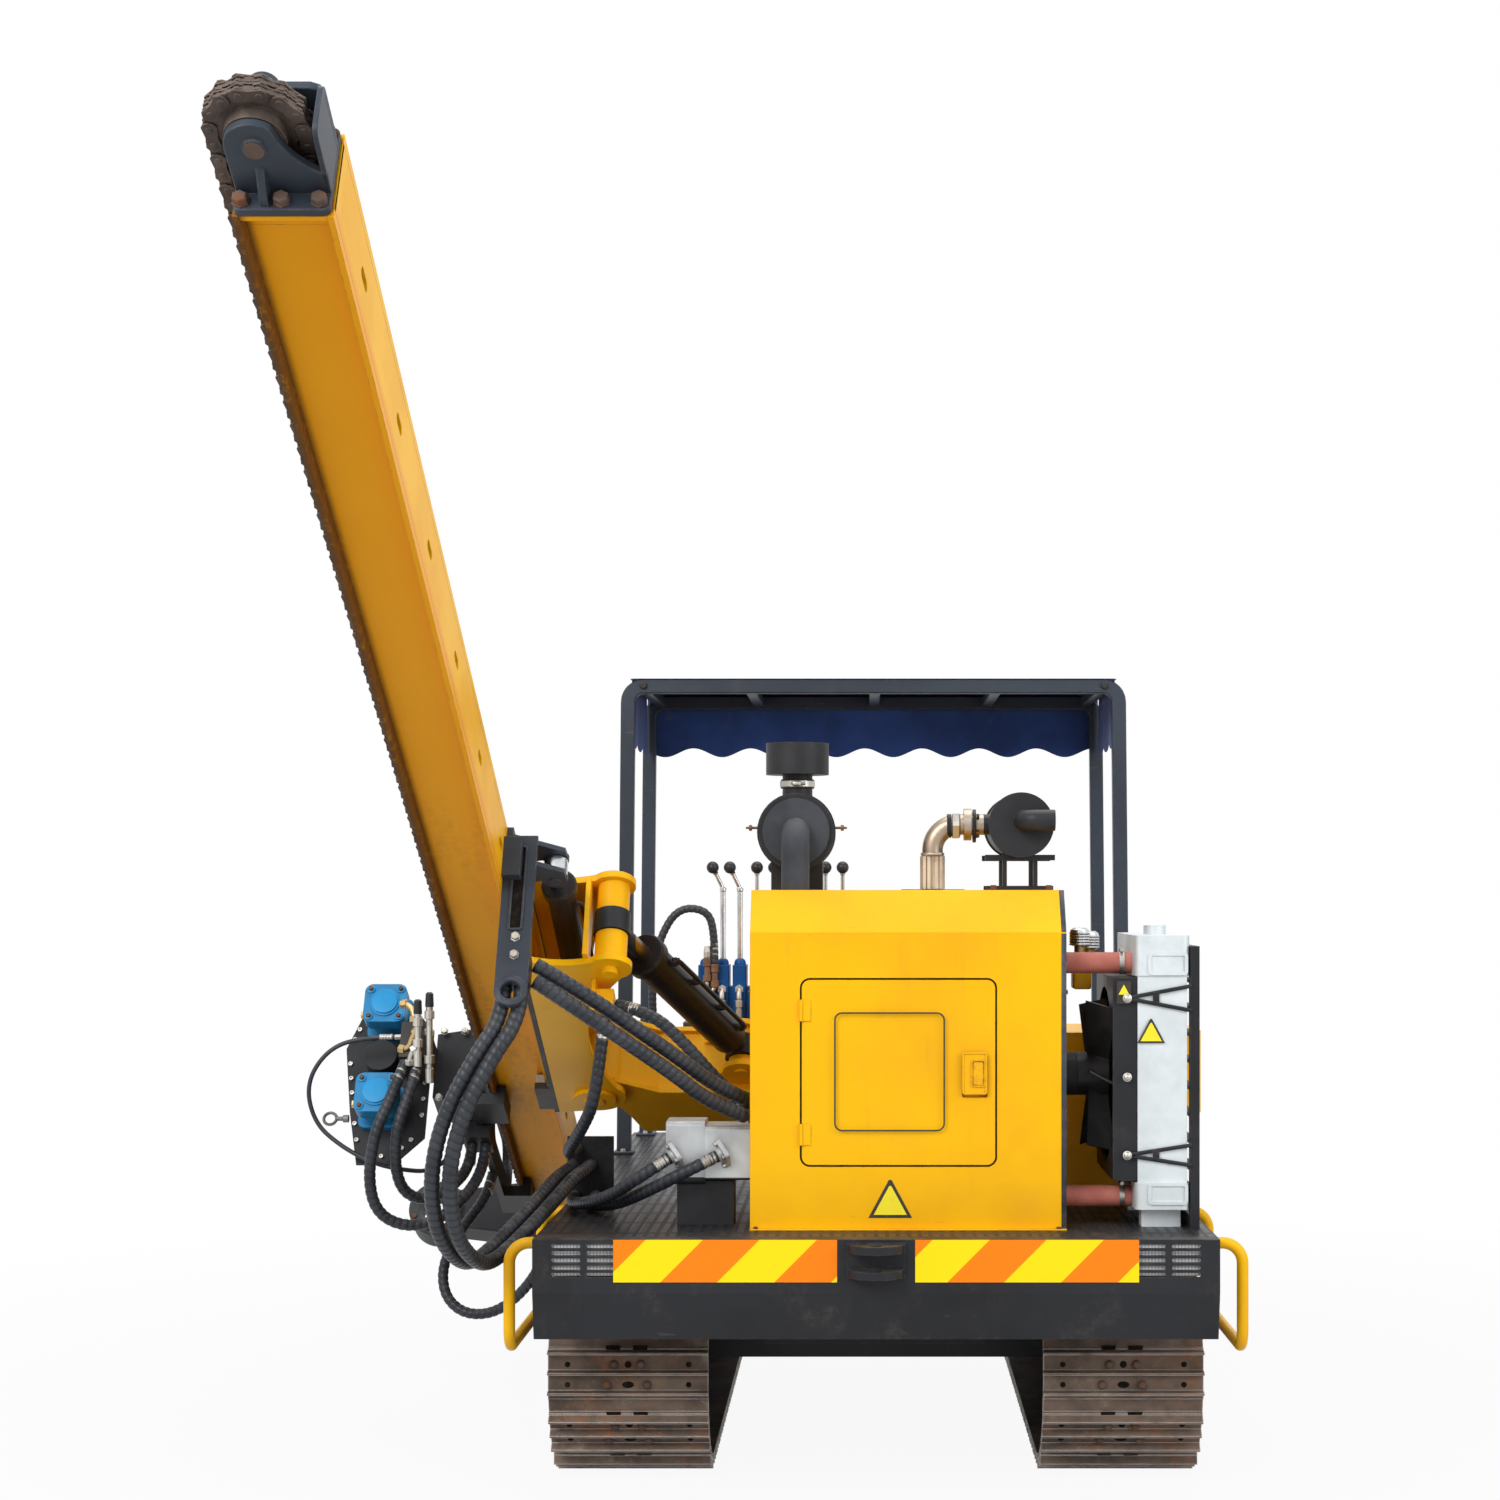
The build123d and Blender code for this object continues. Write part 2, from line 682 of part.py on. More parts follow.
# ---- air cleaner and exhaust ----
cleaner_length = 330
with BuildPart() as air_cleaner:
    with BuildSketch(Plane.XZ.offset(-cleaner_rear)):
        with Locations((cleaner_x, cleaner_z)):
            Circle(cleaner_radius)
    extrude(amount=-cleaner_length)
    with BuildSketch(Plane.XZ.offset(-cleaner_rear + 12)):
        with Locations((cleaner_x, cleaner_z)):
            Circle(cleaner_radius - 14)
    extrude(amount=-14)
    # neck, clamp and mushroom cap of the inlet
    with BuildSketch(Plane.XY.offset(cleaner_z)):
        with Locations((cleaner_x, cleaner_rear + 150)):
            Circle(44)
    extrude(amount=190)
    with BuildSketch(Plane.XY.offset(cleaner_z + 130)):
        with Locations((cleaner_x, cleaner_rear + 150)):
            Circle(49)
    extrude(amount=26)
    with BuildSketch(Plane.XY.offset(cleaner_z + 170)):
        with Locations((cleaner_x, cleaner_rear + 150)):
            Circle(92)
    extrude(amount=92)
    # elbow hose from the drum's rear end down into the cover
    with BuildLine():
        FilletPolyline(
            (cleaner_x, cleaner_rear - 10, cleaner_z), (cleaner_x, intake_y, cleaner_z),
            (cleaner_x, intake_y, cover_top - 60),
            radius=68,
        )
    with BuildSketch(Plane(origin=(cleaner_x, cleaner_rear - 10, cleaner_z), z_dir=(0, -1, 0))):
        Circle(intake_radius)
    sweep()
    # the bracket that holds the drum on the cover
    with BuildSketch(Plane.XZ.offset(-cleaner_rear - 90)):
        with Locations((cleaner_x, (cover_top + cleaner_z) / 2)):
            Rectangle(150, cleaner_z - cover_top)
    extrude(amount=-90)

muffler_x = 415
muffler_z = 1865
muffler_radius = 88
muffler_rear = -1080
muffler_length = 320
exhaust_x = 165
exhaust_y = -960
exhaust_radius = 30
with BuildPart() as muffler:
    with BuildSketch(Plane.XZ.offset(-muffler_rear)):
        with Locations((muffler_x, muffler_z)):
            Circle(muffler_radius)
    extrude(amount=-muffler_length)
    for end in (muffler_rear, muffler_rear + muffler_length - 14):
        with BuildSketch(Plane.XZ.offset(-end)):
            with Locations((muffler_x, muffler_z)):
                Circle(muffler_radius + 5)
        extrude(amount=-14)
    # tail pipe: out of the rear end and round to the right
    with BuildLine():
        FilletPolyline(
            (muffler_x + 8, muffler_rear + 10, muffler_z + 12), (muffler_x + 8, muffler_rear - 50, muffler_z + 12),
            (muffler_x + 92, muffler_rear - 50, muffler_z + 12),
            radius=36,
        )
    with BuildSketch(Plane(origin=(muffler_x + 8, muffler_rear + 10, muffler_z + 12), z_dir=(0, -1, 0))):
        Circle(30)
    sweep()
    # the pipe that comes up through the lid, with its clamp
    with BuildLine():
        FilletPolyline(
            (exhaust_x, exhaust_y, cover_top), (exhaust_x, exhaust_y, muffler_z + 4),
            (muffler_x - muffler_radius + 10, exhaust_y, muffler_z + 4),
            radius=75,
        )
    with BuildSketch(Plane(origin=(exhaust_x, exhaust_y, cover_top), z_dir=(0, 0, 1))):
        Circle(exhaust_radius)
    sweep()
    with BuildSketch(Plane.YZ.offset(muffler_x - muffler_radius - 72)):
        with Locations((exhaust_y, muffler_z + 4)):
            Circle(exhaust_radius + 16)
    extrude(amount=22)
    # its stand on the lid of the cover
    for y in (muffler_rear + 60, muffler_rear + muffler_length - 60):
        with BuildSketch(Plane.XZ.offset(-y)):
            with Locations((muffler_x, cover_top + 6)):
                Rectangle(190, 12)
            with Locations((muffler_x, muffler_z - muffler_radius - 4)):
                Rectangle(200, 16)
            for x in (-44, 44):
                with Locations((muffler_x + x, (cover_top + muffler_z - muffler_radius) / 2)):
                    Rectangle(12, muffler_z - muffler_radius - cover_top)
        extrude(amount=-24)


# ---- canopy ----
bar = 50
canopy_bend = 120
valance = 150
cloth = 6
with BuildPart() as canopy_frame:
    for y, half, top in (
        (canopy_rear, canopy_half_width, canopy_top), (canopy_front, canopy_half_width - 20, canopy_top - 10),
    ):
        # each hoop is one bent tube, from the deck up, across and down again
        with BuildLine():
            FilletPolyline(
                (-half + 30, y, deck_top + 5), (-half, y, top - bar / 2),
                (half, y, top - bar / 2), (half - 30, y, deck_top + 5),
                radius=canopy_bend,
            )
        slant = Vector(-30, 0, top - bar / 2 - deck_top - 5)
        with BuildSketch(Plane(origin=(-half + 30, y, deck_top + 5), x_dir=(0, 1, 0), z_dir=slant.normalized())):
            Rectangle(bar, bar)
        sweep()
        for side in (-1, 1):
            with BuildSketch(Plane.XY.offset(deck_top)):
                with Locations((side * (half - 30), y)):
                    Rectangle(70, 110)
            extrude(amount=10)
    # rails and purlins between the two hoops
    for x in (
        -canopy_half_width + 130, -canopy_half_width / 2 + 70, 5, canopy_half_width / 2 - 55,
        canopy_half_width - 130,
    ):
        with BuildSketch(Plane.XZ.offset(-canopy_rear)):
            with Locations((x, canopy_top - bar / 2 - 5)):
                Rectangle(40, 36)
        extrude(amount=canopy_rear - canopy_front)

cloth_low = canopy_top + seat
cloth_left = -canopy_half_width + canopy_bend
with BuildPart() as canopy_cloth:
    with BuildSketch(Plane.XY.offset(cloth_low)):
        with Locations((0, (canopy_rear + canopy_front) / 2)):
            Rectangle(2 * -cloth_left, canopy_front - canopy_rear + bar + 10)
    extrude(amount=cloth)
    # the hem that hangs at the front
    with BuildSketch(Plane.XY.offset(cloth_low + cloth)):
        with Locations((0, canopy_front + bar / 2 + 5 + cloth / 2)):
            Rectangle(2 * -cloth_left, cloth)
    extrude(amount=-valance)

# ---- controls, pumps and tank ----
stand_left = -640
stand_right = -40
stand_rear = 230
stand_front = 470
stand_top = 1236
with BuildPart() as control_stand:
    for x in (stand_left + 20, stand_right - 20):
        for y in (stand_rear + 20, stand_front - 20):
            with BuildSketch(Plane.XY.offset(deck_top)):
                with Locations((x, y)):
                    Rectangle(40, 40)
            extrude(amount=stand_top - deck_top)
    with BuildSketch(Plane.XY.offset(stand_top - 12)):
        with Locations(((stand_left + stand_right) / 2, (stand_rear + stand_front) / 2)):
            Rectangle(stand_right - stand_left, stand_front - stand_rear)
    extrude(amount=12)
    for y in (stand_rear + 20, stand_front - 20):
        with BuildSketch(Plane.XY.offset(deck_top + 180)):
            with Locations(((stand_left + stand_right) / 2, y)):
                Rectangle(stand_right - stand_left - 40, 30)
        extrude(amount=40)

valve_places = tuple(-570 + number * 58 for number in range(9))
lever_places = (0, 1, 3, 4, 5, 6, 8)
valve_height = 190
with BuildPart() as control_valves:
    with BuildSketch(Plane.XY.offset(stand_top)):
        with Locations(((valve_places[0] + valve_places[-1]) / 2, (stand_rear + stand_front) / 2)):
            Rectangle(valve_places[-1] - valve_places[0] + 56, 110)
    extrude(amount=valve_height * 0.62)
    # one raised spool housing for each section
    for x in valve_places:
        with BuildSketch(Plane.XY.offset(stand_top)):
            with Locations((x, (stand_rear + stand_front) / 2)):
                RectangleRounded(46, 140, 8)
        extrude(amount=valve_height)

knob_z = 1737
knob_radius = 21
lever_radius = 7
lever_base = stand_top + valve_height + seat
lever_y = (stand_rear + stand_front) / 2 - 10
knob_neck = (knob_radius ** 2 - lever_radius ** 2) ** 0.5
with BuildPart() as control_levers:
    # each stands in an upright sleeve and leans out of it to its knob; the first two lean aside
    for number in lever_places:
        x = valve_places[number]
        sleeve = 260 if number < 2 else 200
        shift = -34 if number < 2 else 0
        elbow = Vector(x, lever_y, lever_base + sleeve)
        lean_out = Vector(x + shift, lever_y - 16, knob_z) - elbow
        length = lean_out.length
        way = lean_out.normalized()
        across = way.cross(sideways).normalized()
        with BuildSketch(Plane.XY.offset(lever_base)):
            with Locations((x, lever_y)):
                Circle(lever_radius + 2.5)
        extrude(amount=sleeve)
        with BuildSketch(Plane(origin=elbow, x_dir=across, z_dir=across.cross(way))):
            with BuildLine():
                Polyline(
                    (lever_radius, length + knob_neck), (0, length + knob_neck), (0, -25), (lever_radius, -25),
                    (lever_radius, length - knob_neck),
                )
                ThreePointArc(
                    (lever_radius, length - knob_neck), (knob_radius, length), (lever_radius, length + knob_neck),
                )
            make_face()
        revolve(axis=Axis(elbow, way))

pump_rear = -1090
pump_z = 940
with BuildPart() as hydraulic_pumps:
    with BuildSketch(Plane.YZ.offset(-590)):
        with Locations((pump_rear, pump_z)):
            RectangleRounded(150, 178, 14)
    extrude(amount=110)
    with BuildSketch(Plane.YZ.offset(-480)):
        with Locations((pump_rear, pump_z)):
            RectangleRounded(190, 150, 10)
    extrude(amount=cover_left - seat + 480)
    with BuildSketch(Plane.XY.offset(deck_top)):
        with Locations((-480, pump_rear)):
            Rectangle(160, 120)
    extrude(amount=pump_z - 80 - deck_top)

tank_size = (430, 520)
tank_x = 700
tank_y = -380
tank_top = 1250
with BuildPart() as hydraulic_tank:
    with BuildSketch(Plane.XY.offset(deck_top)):
        with Locations((tank_x, tank_y)):
            RectangleRounded(tank_size[0], tank_size[1], 18)
    extrude(amount=tank_top - deck_top)
    with BuildSketch(Plane.XY.offset(1000)):
        with Locations((tank_x + tank_size[0] / 2 + 38, tank_y)):
            RectangleRounded(90, 300, 12)
    extrude(amount=tank_top - 1000)
    with BuildSketch(Plane.XY.offset(tank_top)):
        with Locations((tank_x + 60, tank_y)):
            Circle(48)
    extrude(amount=34)

# ---- tilt column and boom ----
column_right = 120
drive_right = -215
drive_left = -335
drive_ring = 195
with BuildPart() as tilt_column:
    # two cheeks and a face plate, flaring to a foot on the deck
    with BuildSketch(Plane.YZ.offset(drive_right)):
        with BuildLine():
            Polyline(
                (tilt_y - 250, deck_top), (tilt_y + 250, deck_top), (tilt_y + 170, tilt_z + 110),
                (tilt_y + 110, tilt_z + 170), (tilt_y - 110, tilt_z + 170), (tilt_y - 170, tilt_z + 110),
                close=True,
            )
        make_face()
    extrude(amount=25)
    for side in (-1, 1):
        with BuildSketch(Plane.XZ.offset(-(tilt_y + side * 120))):
            with BuildLine():
                Polyline(
                    (drive_right + 20, deck_top), (column_right, deck_top), (drive_right + 20, tilt_z + 120),
                    close=True,
                )
            make_face()
        extrude(amount=10, both=True)
    with BuildSketch(Plane.XY.offset(deck_top)):
        with Locations(((drive_right + column_right) / 2, tilt_y)):
            Rectangle(column_right - drive_right + 60, 540)
    extrude(amount=16)
    # slewing ring's housing, its worm and its motor
    with BuildSketch(Plane.YZ.offset(drive_right)):
        with Locations((tilt_y, tilt_z)):
            Circle(drive_ring)
    extrude(amount=drive_left + 30 - drive_right)
    with BuildSketch(Plane.XY.offset(tilt_z - drive_ring - 10)):
        with Locations((drive_right - 45, tilt_y + drive_ring + 10)):
            Circle(48)
    extrude(amount=2 * drive_ring - 40)
    with BuildSketch(Plane.XY.offset(tilt_z + drive_ring - 50)):
        with Locations((drive_right - 45, tilt_y + drive_ring + 10)):
            Rectangle(86, 86)
    extrude(amount=110)

boom_low = -160
boom_high = 100
drive_gap = 6
boom_right = drive_left + 30 - drive_gap
boom_wall = 15
lug_half = 70
lug_thickness = 18
with BuildPart() as boom:
    # output flange on the slewing ring
    with BuildSketch(Plane.YZ.offset(boom_right)):
        with Locations((tilt_y, tilt_z)):
            Circle(drive_ring - 12)
    extrude(amount=-22)
    with BuildSketch(Plane.YZ.offset(boom_right)):
        with Locations((tilt_y, tilt_z)):
            Circle(120)
    extrude(amount=drive_gap)
    # box arm
    with BuildSketch(flat_plane()):
        with BuildLine():
            Polyline(
                (boom_right - 20, boom_low), (boom_right - 20, boom_high), (kingpin_x + 190, boom_high),
                (kingpin_x + 20, kingpin_up + 60), (kingpin_x + 20, kingpin_up - 70),
                (kingpin_x + 120, boom_low),
                close=True,
            )
        make_face()
    extrude(amount=boom_half, both=True)
    # flanges above and below, a little wider than the box
    for side in (-1, 1):
        with BuildSketch(flat_plane(side * boom_half)):
            with BuildLine():
                Polyline(
                    (boom_right - 20, boom_low - 16), (boom_right - 20, boom_high + 16),
                    (kingpin_x + 195, boom_high + 16), (kingpin_x + 60, kingpin_up + 60),
                    (kingpin_x + 60, kingpin_up - 90), (kingpin_x + 130, boom_low - 16),
                    close=True,
                )
            make_face()
        extrude(amount=side * boom_wall)
    # the hub that turns on the kingpin
    with BuildSketch(flat_plane()):
        with Locations((kingpin_x, kingpin_up)):
            Circle(hub_radius)
    extrude(amount=boom_half + boom_wall, both=True)
    with BuildSketch(flat_plane()):
        with Locations((kingpin_x, kingpin_up)):
            Circle(kingpin_radius + 0.1)
    extrude(amount=boom_half + boom_wall + 5, both=True, mode=Mode.SUBTRACT)
    # two lugs for the foot of the swing cylinder
    for side in (-1, 1):
        with BuildSketch(flat_plane(side * (lug_half - lug_thickness / 2))):
            with BuildLine():
                Polyline(
                    (bracket_x - 140, boom_high - 20), (bracket_x - 58, bracket_up), (bracket_x + 58, bracket_up),
                    (bracket_x + 70, boom_high - 20),
                    close=True,
                )
            make_face()
            with Locations((bracket_x, bracket_up)):
                Circle(58)
        extrude(amount=side * lug_thickness)
        with BuildSketch(flat_plane(side * 36)):
            with Locations((bracket_x, bracket_up)):
                Circle(40)
        extrude(amount=side * (lug_half - 36))
    with BuildSketch(flat_plane()):
        with Locations((bracket_x, bracket_up)):
            Circle(22)
    extrude(amount=lug_half + 16, both=True)

# ---- swing cylinder, from the boom's lugs to the swing head's ear ----
swing_run = hypot(ear_x - bracket_x, ear_up - bracket_up)
swing_way = Vector(ear_x - bracket_x, 0, 0) + up_mast * (ear_up - bracket_up)
swing_way = swing_way.normalized()
swing_foot = tilt_centre + sideways * bracket_x + up_mast * bracket_up
gland_at = swing_run - 190
barrel_radius = 55
rod_radius = 25
eye_radius = 52
eye_half = 34
pin_play = 0.1
pin_radius = 22


def along_swing(distance):
    """Square to the swing cylinder, at a distance from its foot."""
    return Plane(origin=swing_foot + swing_way * distance, x_dir=under_mast, z_dir=swing_way)


with BuildPart() as swing_barrel:
    with BuildSketch(flat_plane()):
        with Locations((bracket_x, bracket_up)):
            Circle(eye_radius)
    extrude(amount=eye_half, both=True)
    with BuildSketch(along_swing(30)):
        Circle(eye_half - 4)
    extrude(amount=70)
    with BuildSketch(along_swing(95)):
        Circle(barrel_radius)
    extrude(amount=gland_at - 95)
    with BuildSketch(along_swing(gland_at - 34)):
        Circle(barrel_radius + 7)
    extrude(amount=34)
    # hollow for the rod
    with BuildSketch(along_swing(gland_at + 1)):
        Circle(rod_radius + 0.5)
    extrude(amount=-(gland_at - 120), mode=Mode.SUBTRACT)
    with BuildSketch(along_swing(gland_at - 60)):
        Circle(barrel_radius - 9)
    extrude(amount=-(gland_at - 190), mode=Mode.SUBTRACT)
    with BuildSketch(flat_plane()):
        with Locations((bracket_x, bracket_up)):
            Circle(pin_radius + pin_play)
    extrude(amount=eye_half + 5, both=True, mode=Mode.SUBTRACT)

with BuildPart() as swing_rod:
    with BuildSketch(flat_plane()):
        with Locations((ear_x, ear_up)):
            Circle(eye_radius)
    extrude(amount=eye_half, both=True)
    with BuildSketch(along_swing(swing_run - 30)):
        Circle(rod_radius)
    extrude(amount=-(swing_run - 30 - 330))
    with BuildSketch(along_swing(330)):
        Circle(barrel_radius - 9.5)
    extrude(amount=40)
    # the eye's bore is wide, because the pin drifts in it as the head swings
    with BuildSketch(flat_plane()):
        with Locations((ear_x, ear_up)):
            Circle(pin_radius + 7)
    extrude(amount=eye_half + 5, both=True, mode=Mode.SUBTRACT)

# ---- swing head and slide frame ----
frame_face = mast_inner + 5
frame_thick = 16
frame_outer = frame_face + frame_thick
frame_low_up = 30
frame_high_up = 1070
frame_reach = mast_depth / 2 + 12
plate_inner = boom_half + boom_wall + swing_plate_gap
head_radius = 96
with BuildPart() as swing_head:
    for side in (-1, 1):
        with BuildSketch(flat_plane(side * plate_inner)):
            with BuildLine():
                # hollowed between the frame and the ear, and again between the ear and the kingpin
                ThreePointArc(
                    (frame_outer, frame_high_up - 20), (kingpin_x, ear_up + 22), (ear_x - 6, ear_up + ear_radius - 1),
                )
                Line((ear_x - 6, ear_up + ear_radius - 1), (ear_x + ear_radius - 2, ear_up - 10))
                ThreePointArc(
                    (ear_x + ear_radius - 2, ear_up - 10), (kingpin_x + 24, (kingpin_up + ear_up) / 2 + 40),
                    (kingpin_x + head_radius - 1, kingpin_up + 10),
                )
                Polyline(
                    (kingpin_x + head_radius - 1, kingpin_up + 10), (kingpin_x + 40, kingpin_up - 86),
                    (frame_outer, kingpin_up - 110), (frame_outer, frame_high_up - 20),
                )
            make_face()
            with Locations((kingpin_x, kingpin_up)):
                Circle(head_radius)
            with Locations((ear_x, ear_up)):
                Circle(ear_radius)
        extrude(amount=side * swing_plate)
        # bosses at the kingpin and at the ear
        with BuildSketch(flat_plane(side * (plate_inner + swing_plate))):
            with Locations((kingpin_x, kingpin_up)):
                Circle(66)
        extrude(amount=side * 14)
        with BuildSketch(flat_plane(side * (eye_half + 2))):
            with Locations((ear_x, ear_up)):
                Circle(46)
        extrude(amount=side * (plate_inner - eye_half - 2 + 1))
    # web between the two plates beside the ear
    with BuildSketch(flat_plane()):
        with Locations((ear_x - 68, ear_up + 10)):
            Rectangle(14, 90)
    extrude(amount=plate_inner + 1, both=True)
    # a strip hung from the lower plate, and the valve block on it
    with BuildSketch(flat_plane(plate_inner + swing_plate - 1)):
        with Locations((-800, 900)):
            Rectangle(12, 90)
    extrude(amount=108)
    with BuildSketch(flat_plane(170)):
        with Locations((-769, 900)):
            Rectangle(52, 66)
    extrude(amount=70)
    # the two pins
    with BuildSketch(flat_plane()):
        with Locations((kingpin_x, kingpin_up)):
            Circle(kingpin_radius)
        with Locations((ear_x, ear_up)):
            Circle(pin_radius)
    extrude(amount=plate_inner + swing_plate + 20, both=True)

lip_out = mast_depth / 2 + clearance
lip_thick = 22
grip_reach = 26
block_length = 120
block_places = (113, 985)
with BuildPart() as slide_frame:
    # the long plate beside the mast
    with BuildSketch(side_plane(frame_face)):
        with Locations(((frame_low_up + frame_high_up) / 2, 0)):
            Rectangle(frame_high_up - frame_low_up, 2 * (plate_inner + swing_plate))
            with GridLocations(380, 0, 2, 1):
                SlotOverall(230, 110, mode=Mode.SUBTRACT)
    extrude(amount=frame_thick)
    # claws round both lips of the mast's inner flange
    for place in block_places:
        for side in (-1, 1):
            with BuildSketch(cross_plane(place)):
                with BuildLine():
                    Polyline(
                        (frame_face + 1, side * (lip_out + 8)), (mast_inner - flange - 30, side * (lip_out + 8)),
                        (mast_inner - flange - 30, side * (lip_out + 8 + lip_thick)),
                        (frame_face + 1, side * (lip_out + 8 + lip_thick)),
                        close=True,
                    )
                make_face()
            extrude(amount=block_length / 2 + 15, both=True)
    # eye bracket for the slide cylinder's foot
    for side in (-1, 1):
        with BuildSketch(flat_plane(-50 + side * 27)):
            with Locations((-922, 310)):
                Rectangle(2 * (-922 - frame_outer) + 4, 60)
            with Locations((-890, 310)):
                Circle(30)
        extrude(amount=side * 12)
    with BuildSketch(flat_plane(-50)):
        with Locations((-890, 310)):
            Circle(14)
    extrude(amount=44, both=True)

with BuildPart() as guide_blocks:
    # each hooks round a lip: over its edge and behind it
    for place in block_places:
        for side in (-1, 1):
            with BuildSketch(cross_plane(place)):
                with BuildLine():
                    Polyline(
                        (frame_face, side * lip_out), (frame_face, side * (lip_out + 8)),
                        (mast_inner - flange - 30, side * (lip_out + 8)),
                        (mast_inner - flange - 30, side * (lip_out - grip_reach)),
                        (mast_inner - flange - clearance, side * (lip_out - grip_reach)),
                        (mast_inner - flange - clearance, side * lip_out),
                        close=True,
                    )
                make_face()
            extrude(amount=block_length / 2, both=True)

# ---- slide cylinder beside the mast ----
slide_x = -890
slide_depth = -50
slide_foot_up = 310
slide_eye_up = 1234
slide_gland_up = 1150
slide_barrel_radius = 40
slide_rod_radius = 22


def along_slide(height):
    """Square to the slide cylinder, at a height up the mast."""
    return Plane(
        origin=tilt_centre + sideways * slide_x + under_mast * slide_depth + up_mast * height,
        x_dir=sideways, z_dir=up_mast,
    )


with BuildPart() as slide_barrel:
    with BuildSketch(flat_plane(slide_depth)):
        with Locations((slide_x, slide_foot_up)):
            Circle(30)
    extrude(amount=25, both=True)
    with BuildSketch(along_slide(slide_foot_up + 10)):
        Circle(22)
    extrude(amount=50)
    with BuildSketch(along_slide(slide_foot_up + 48)):
        Circle(slide_barrel_radius)
    extrude(amount=slide_gland_up - slide_foot_up - 48)
    with BuildSketch(along_slide(slide_gland_up - 30)):
        Circle(slide_barrel_radius + 6)
    extrude(amount=30)
    with BuildSketch(along_slide(slide_gland_up + 1)):
        Circle(slide_rod_radius + 0.5)
    extrude(amount=-60, mode=Mode.SUBTRACT)
    with BuildSketch(along_slide(slide_gland_up - 50)):
        Circle(slide_barrel_radius - 8)
    extrude(amount=-(slide_gland_up - 50 - slide_foot_up - 60), mode=Mode.SUBTRACT)
    with BuildSketch(flat_plane(slide_depth)):
        with Locations((slide_x, slide_foot_up)):
            Circle(14 + pin_play)
    extrude(amount=30, both=True, mode=Mode.SUBTRACT)

with BuildPart() as slide_rod:
    with BuildSketch(flat_plane(slide_depth)):
        with Locations((slide_x, slide_eye_up)):
            Circle(34)
    extrude(amount=24, both=True)
    with BuildSketch(along_slide(slide_eye_up - 15)):
        Circle(slide_rod_radius)
    extrude(amount=-(slide_eye_up - 15 - slide_foot_up - 90))
    with BuildSketch(along_slide(slide_foot_up + 90)):
        Circle(slide_barrel_radius - 8.5)
    extrude(amount=30)
    with BuildSketch(flat_plane(slide_depth)):
        with Locations((slide_x, slide_eye_up)):
            Circle(16 + pin_play)
    extrude(amount=30, both=True, mode=Mode.SUBTRACT)

# ---- mast ----
mast_outer = mast_inner - mast_width
mast_middle = (mast_inner + mast_outer) / 2
web_out = mast_depth / 2 - web_recess
with BuildPart() as mast_beam:
    # two flanges, towards the machine and towards the drill string, and two webs set back
    for face in (mast_outer, mast_inner - flange):
        with BuildSketch(side_plane(face)):
            with Locations(((mast_bottom + mast_top) / 2, 0)):
                Rectangle(mast_top - mast_bottom, mast_depth)
        extrude(amount=flange)
    for side in (-1, 1):
        with BuildSketch(flat_plane(side * web_out)):
            with Locations((mast_middle, (mast_bottom + mast_top) / 2)):
                Rectangle(mast_width - 2 * flange + 2, mast_top - mast_bottom)
        extrude(amount=-side * web)
    # oval slots down the middle of the inner flange
    slots = [slot_top - number * slot_pitch for number in range(12) if slot_top - number * slot_pitch > mast_bottom + 60]
    with BuildSketch(side_plane(mast_inner + 5)):
        with Locations(*[(place, 0) for place in slots]):
            SlotOverall(*slot_size)
    extrude(amount=-flange - 10, mode=Mode.SUBTRACT)

shaft_x = mast_outer - 22 + 85.6
ear_plate = 18
boss_radius = 56
with BuildPart() as mast_head:
    for side in (-1, 1):
        with BuildSketch(flat_plane(side * (web_out))):
            with BuildLine():
                Polyline(
                    (mast_outer + flange + 1, mast_top - 120), (mast_inner - flange - 1, mast_top - 120),
                    (mast_inner - flange - 1, mast_top + 2), (mast_inner, mast_top + 2),
                    (mast_inner, head_shaft_up - 30), (mast_inner - 30, head_shaft_up),
                    (shaft_x + boss_radius, head_shaft_up), (shaft_x - boss_radius, head_shaft_up),
                    (shaft_x - boss_radius, head_shaft_up - 40), (mast_outer - 6, mast_top + 70),
                    (mast_outer - 6, mast_top + 2), (mast_outer + flange + 1, mast_top + 2),
                    close=True,
                )
            make_face()
            with Locations((shaft_x, head_shaft_up)):
                Circle(boss_radius)
        extrude(amount=side * ear_plate)
        with BuildSketch(flat_plane(side * (web_out + ear_plate))):
            with Locations((shaft_x, head_shaft_up)):
                Circle(38)
        extrude(amount=side * 14)
    # back plate on the machine's side, between the two ears
    with BuildSketch(side_plane(mast_inner)):
        with Locations((mast_top + 125, 0)):
            Rectangle(246, 2 * (web_out + ear_plate))
    extrude(amount=-14)
    with BuildSketch(flat_plane()):
        with Locations((shaft_x, head_shaft_up)):
            Circle(22)
    extrude(amount=web_out + ear_plate + 20, both=True)

pitch_radius = chain_pitch / (2 * sin(pi / sprocket_teeth))
roller = 12
with BuildPart() as chain_sprockets:
    for place in (head_shaft_up, foot_shaft_up):
        for row in (-1, 1):
            with BuildSketch(flat_plane(row * 11.4)):
                with Locations((shaft_x, place)):
                    Circle(pitch_radius + 9)
                    with PolarLocations(pitch_radius, sprocket_teeth):
                        Circle(roller, mode=Mode.SUBTRACT)
                    Circle(22 + pin_play, mode=Mode.SUBTRACT)
            extrude(amount=6, both=True)
        with BuildSketch(flat_plane()):
            with Locations((shaft_x, place)):
                Circle(58)
                Circle(22 + pin_play, mode=Mode.SUBTRACT)
        extrude(amount=45, both=True)

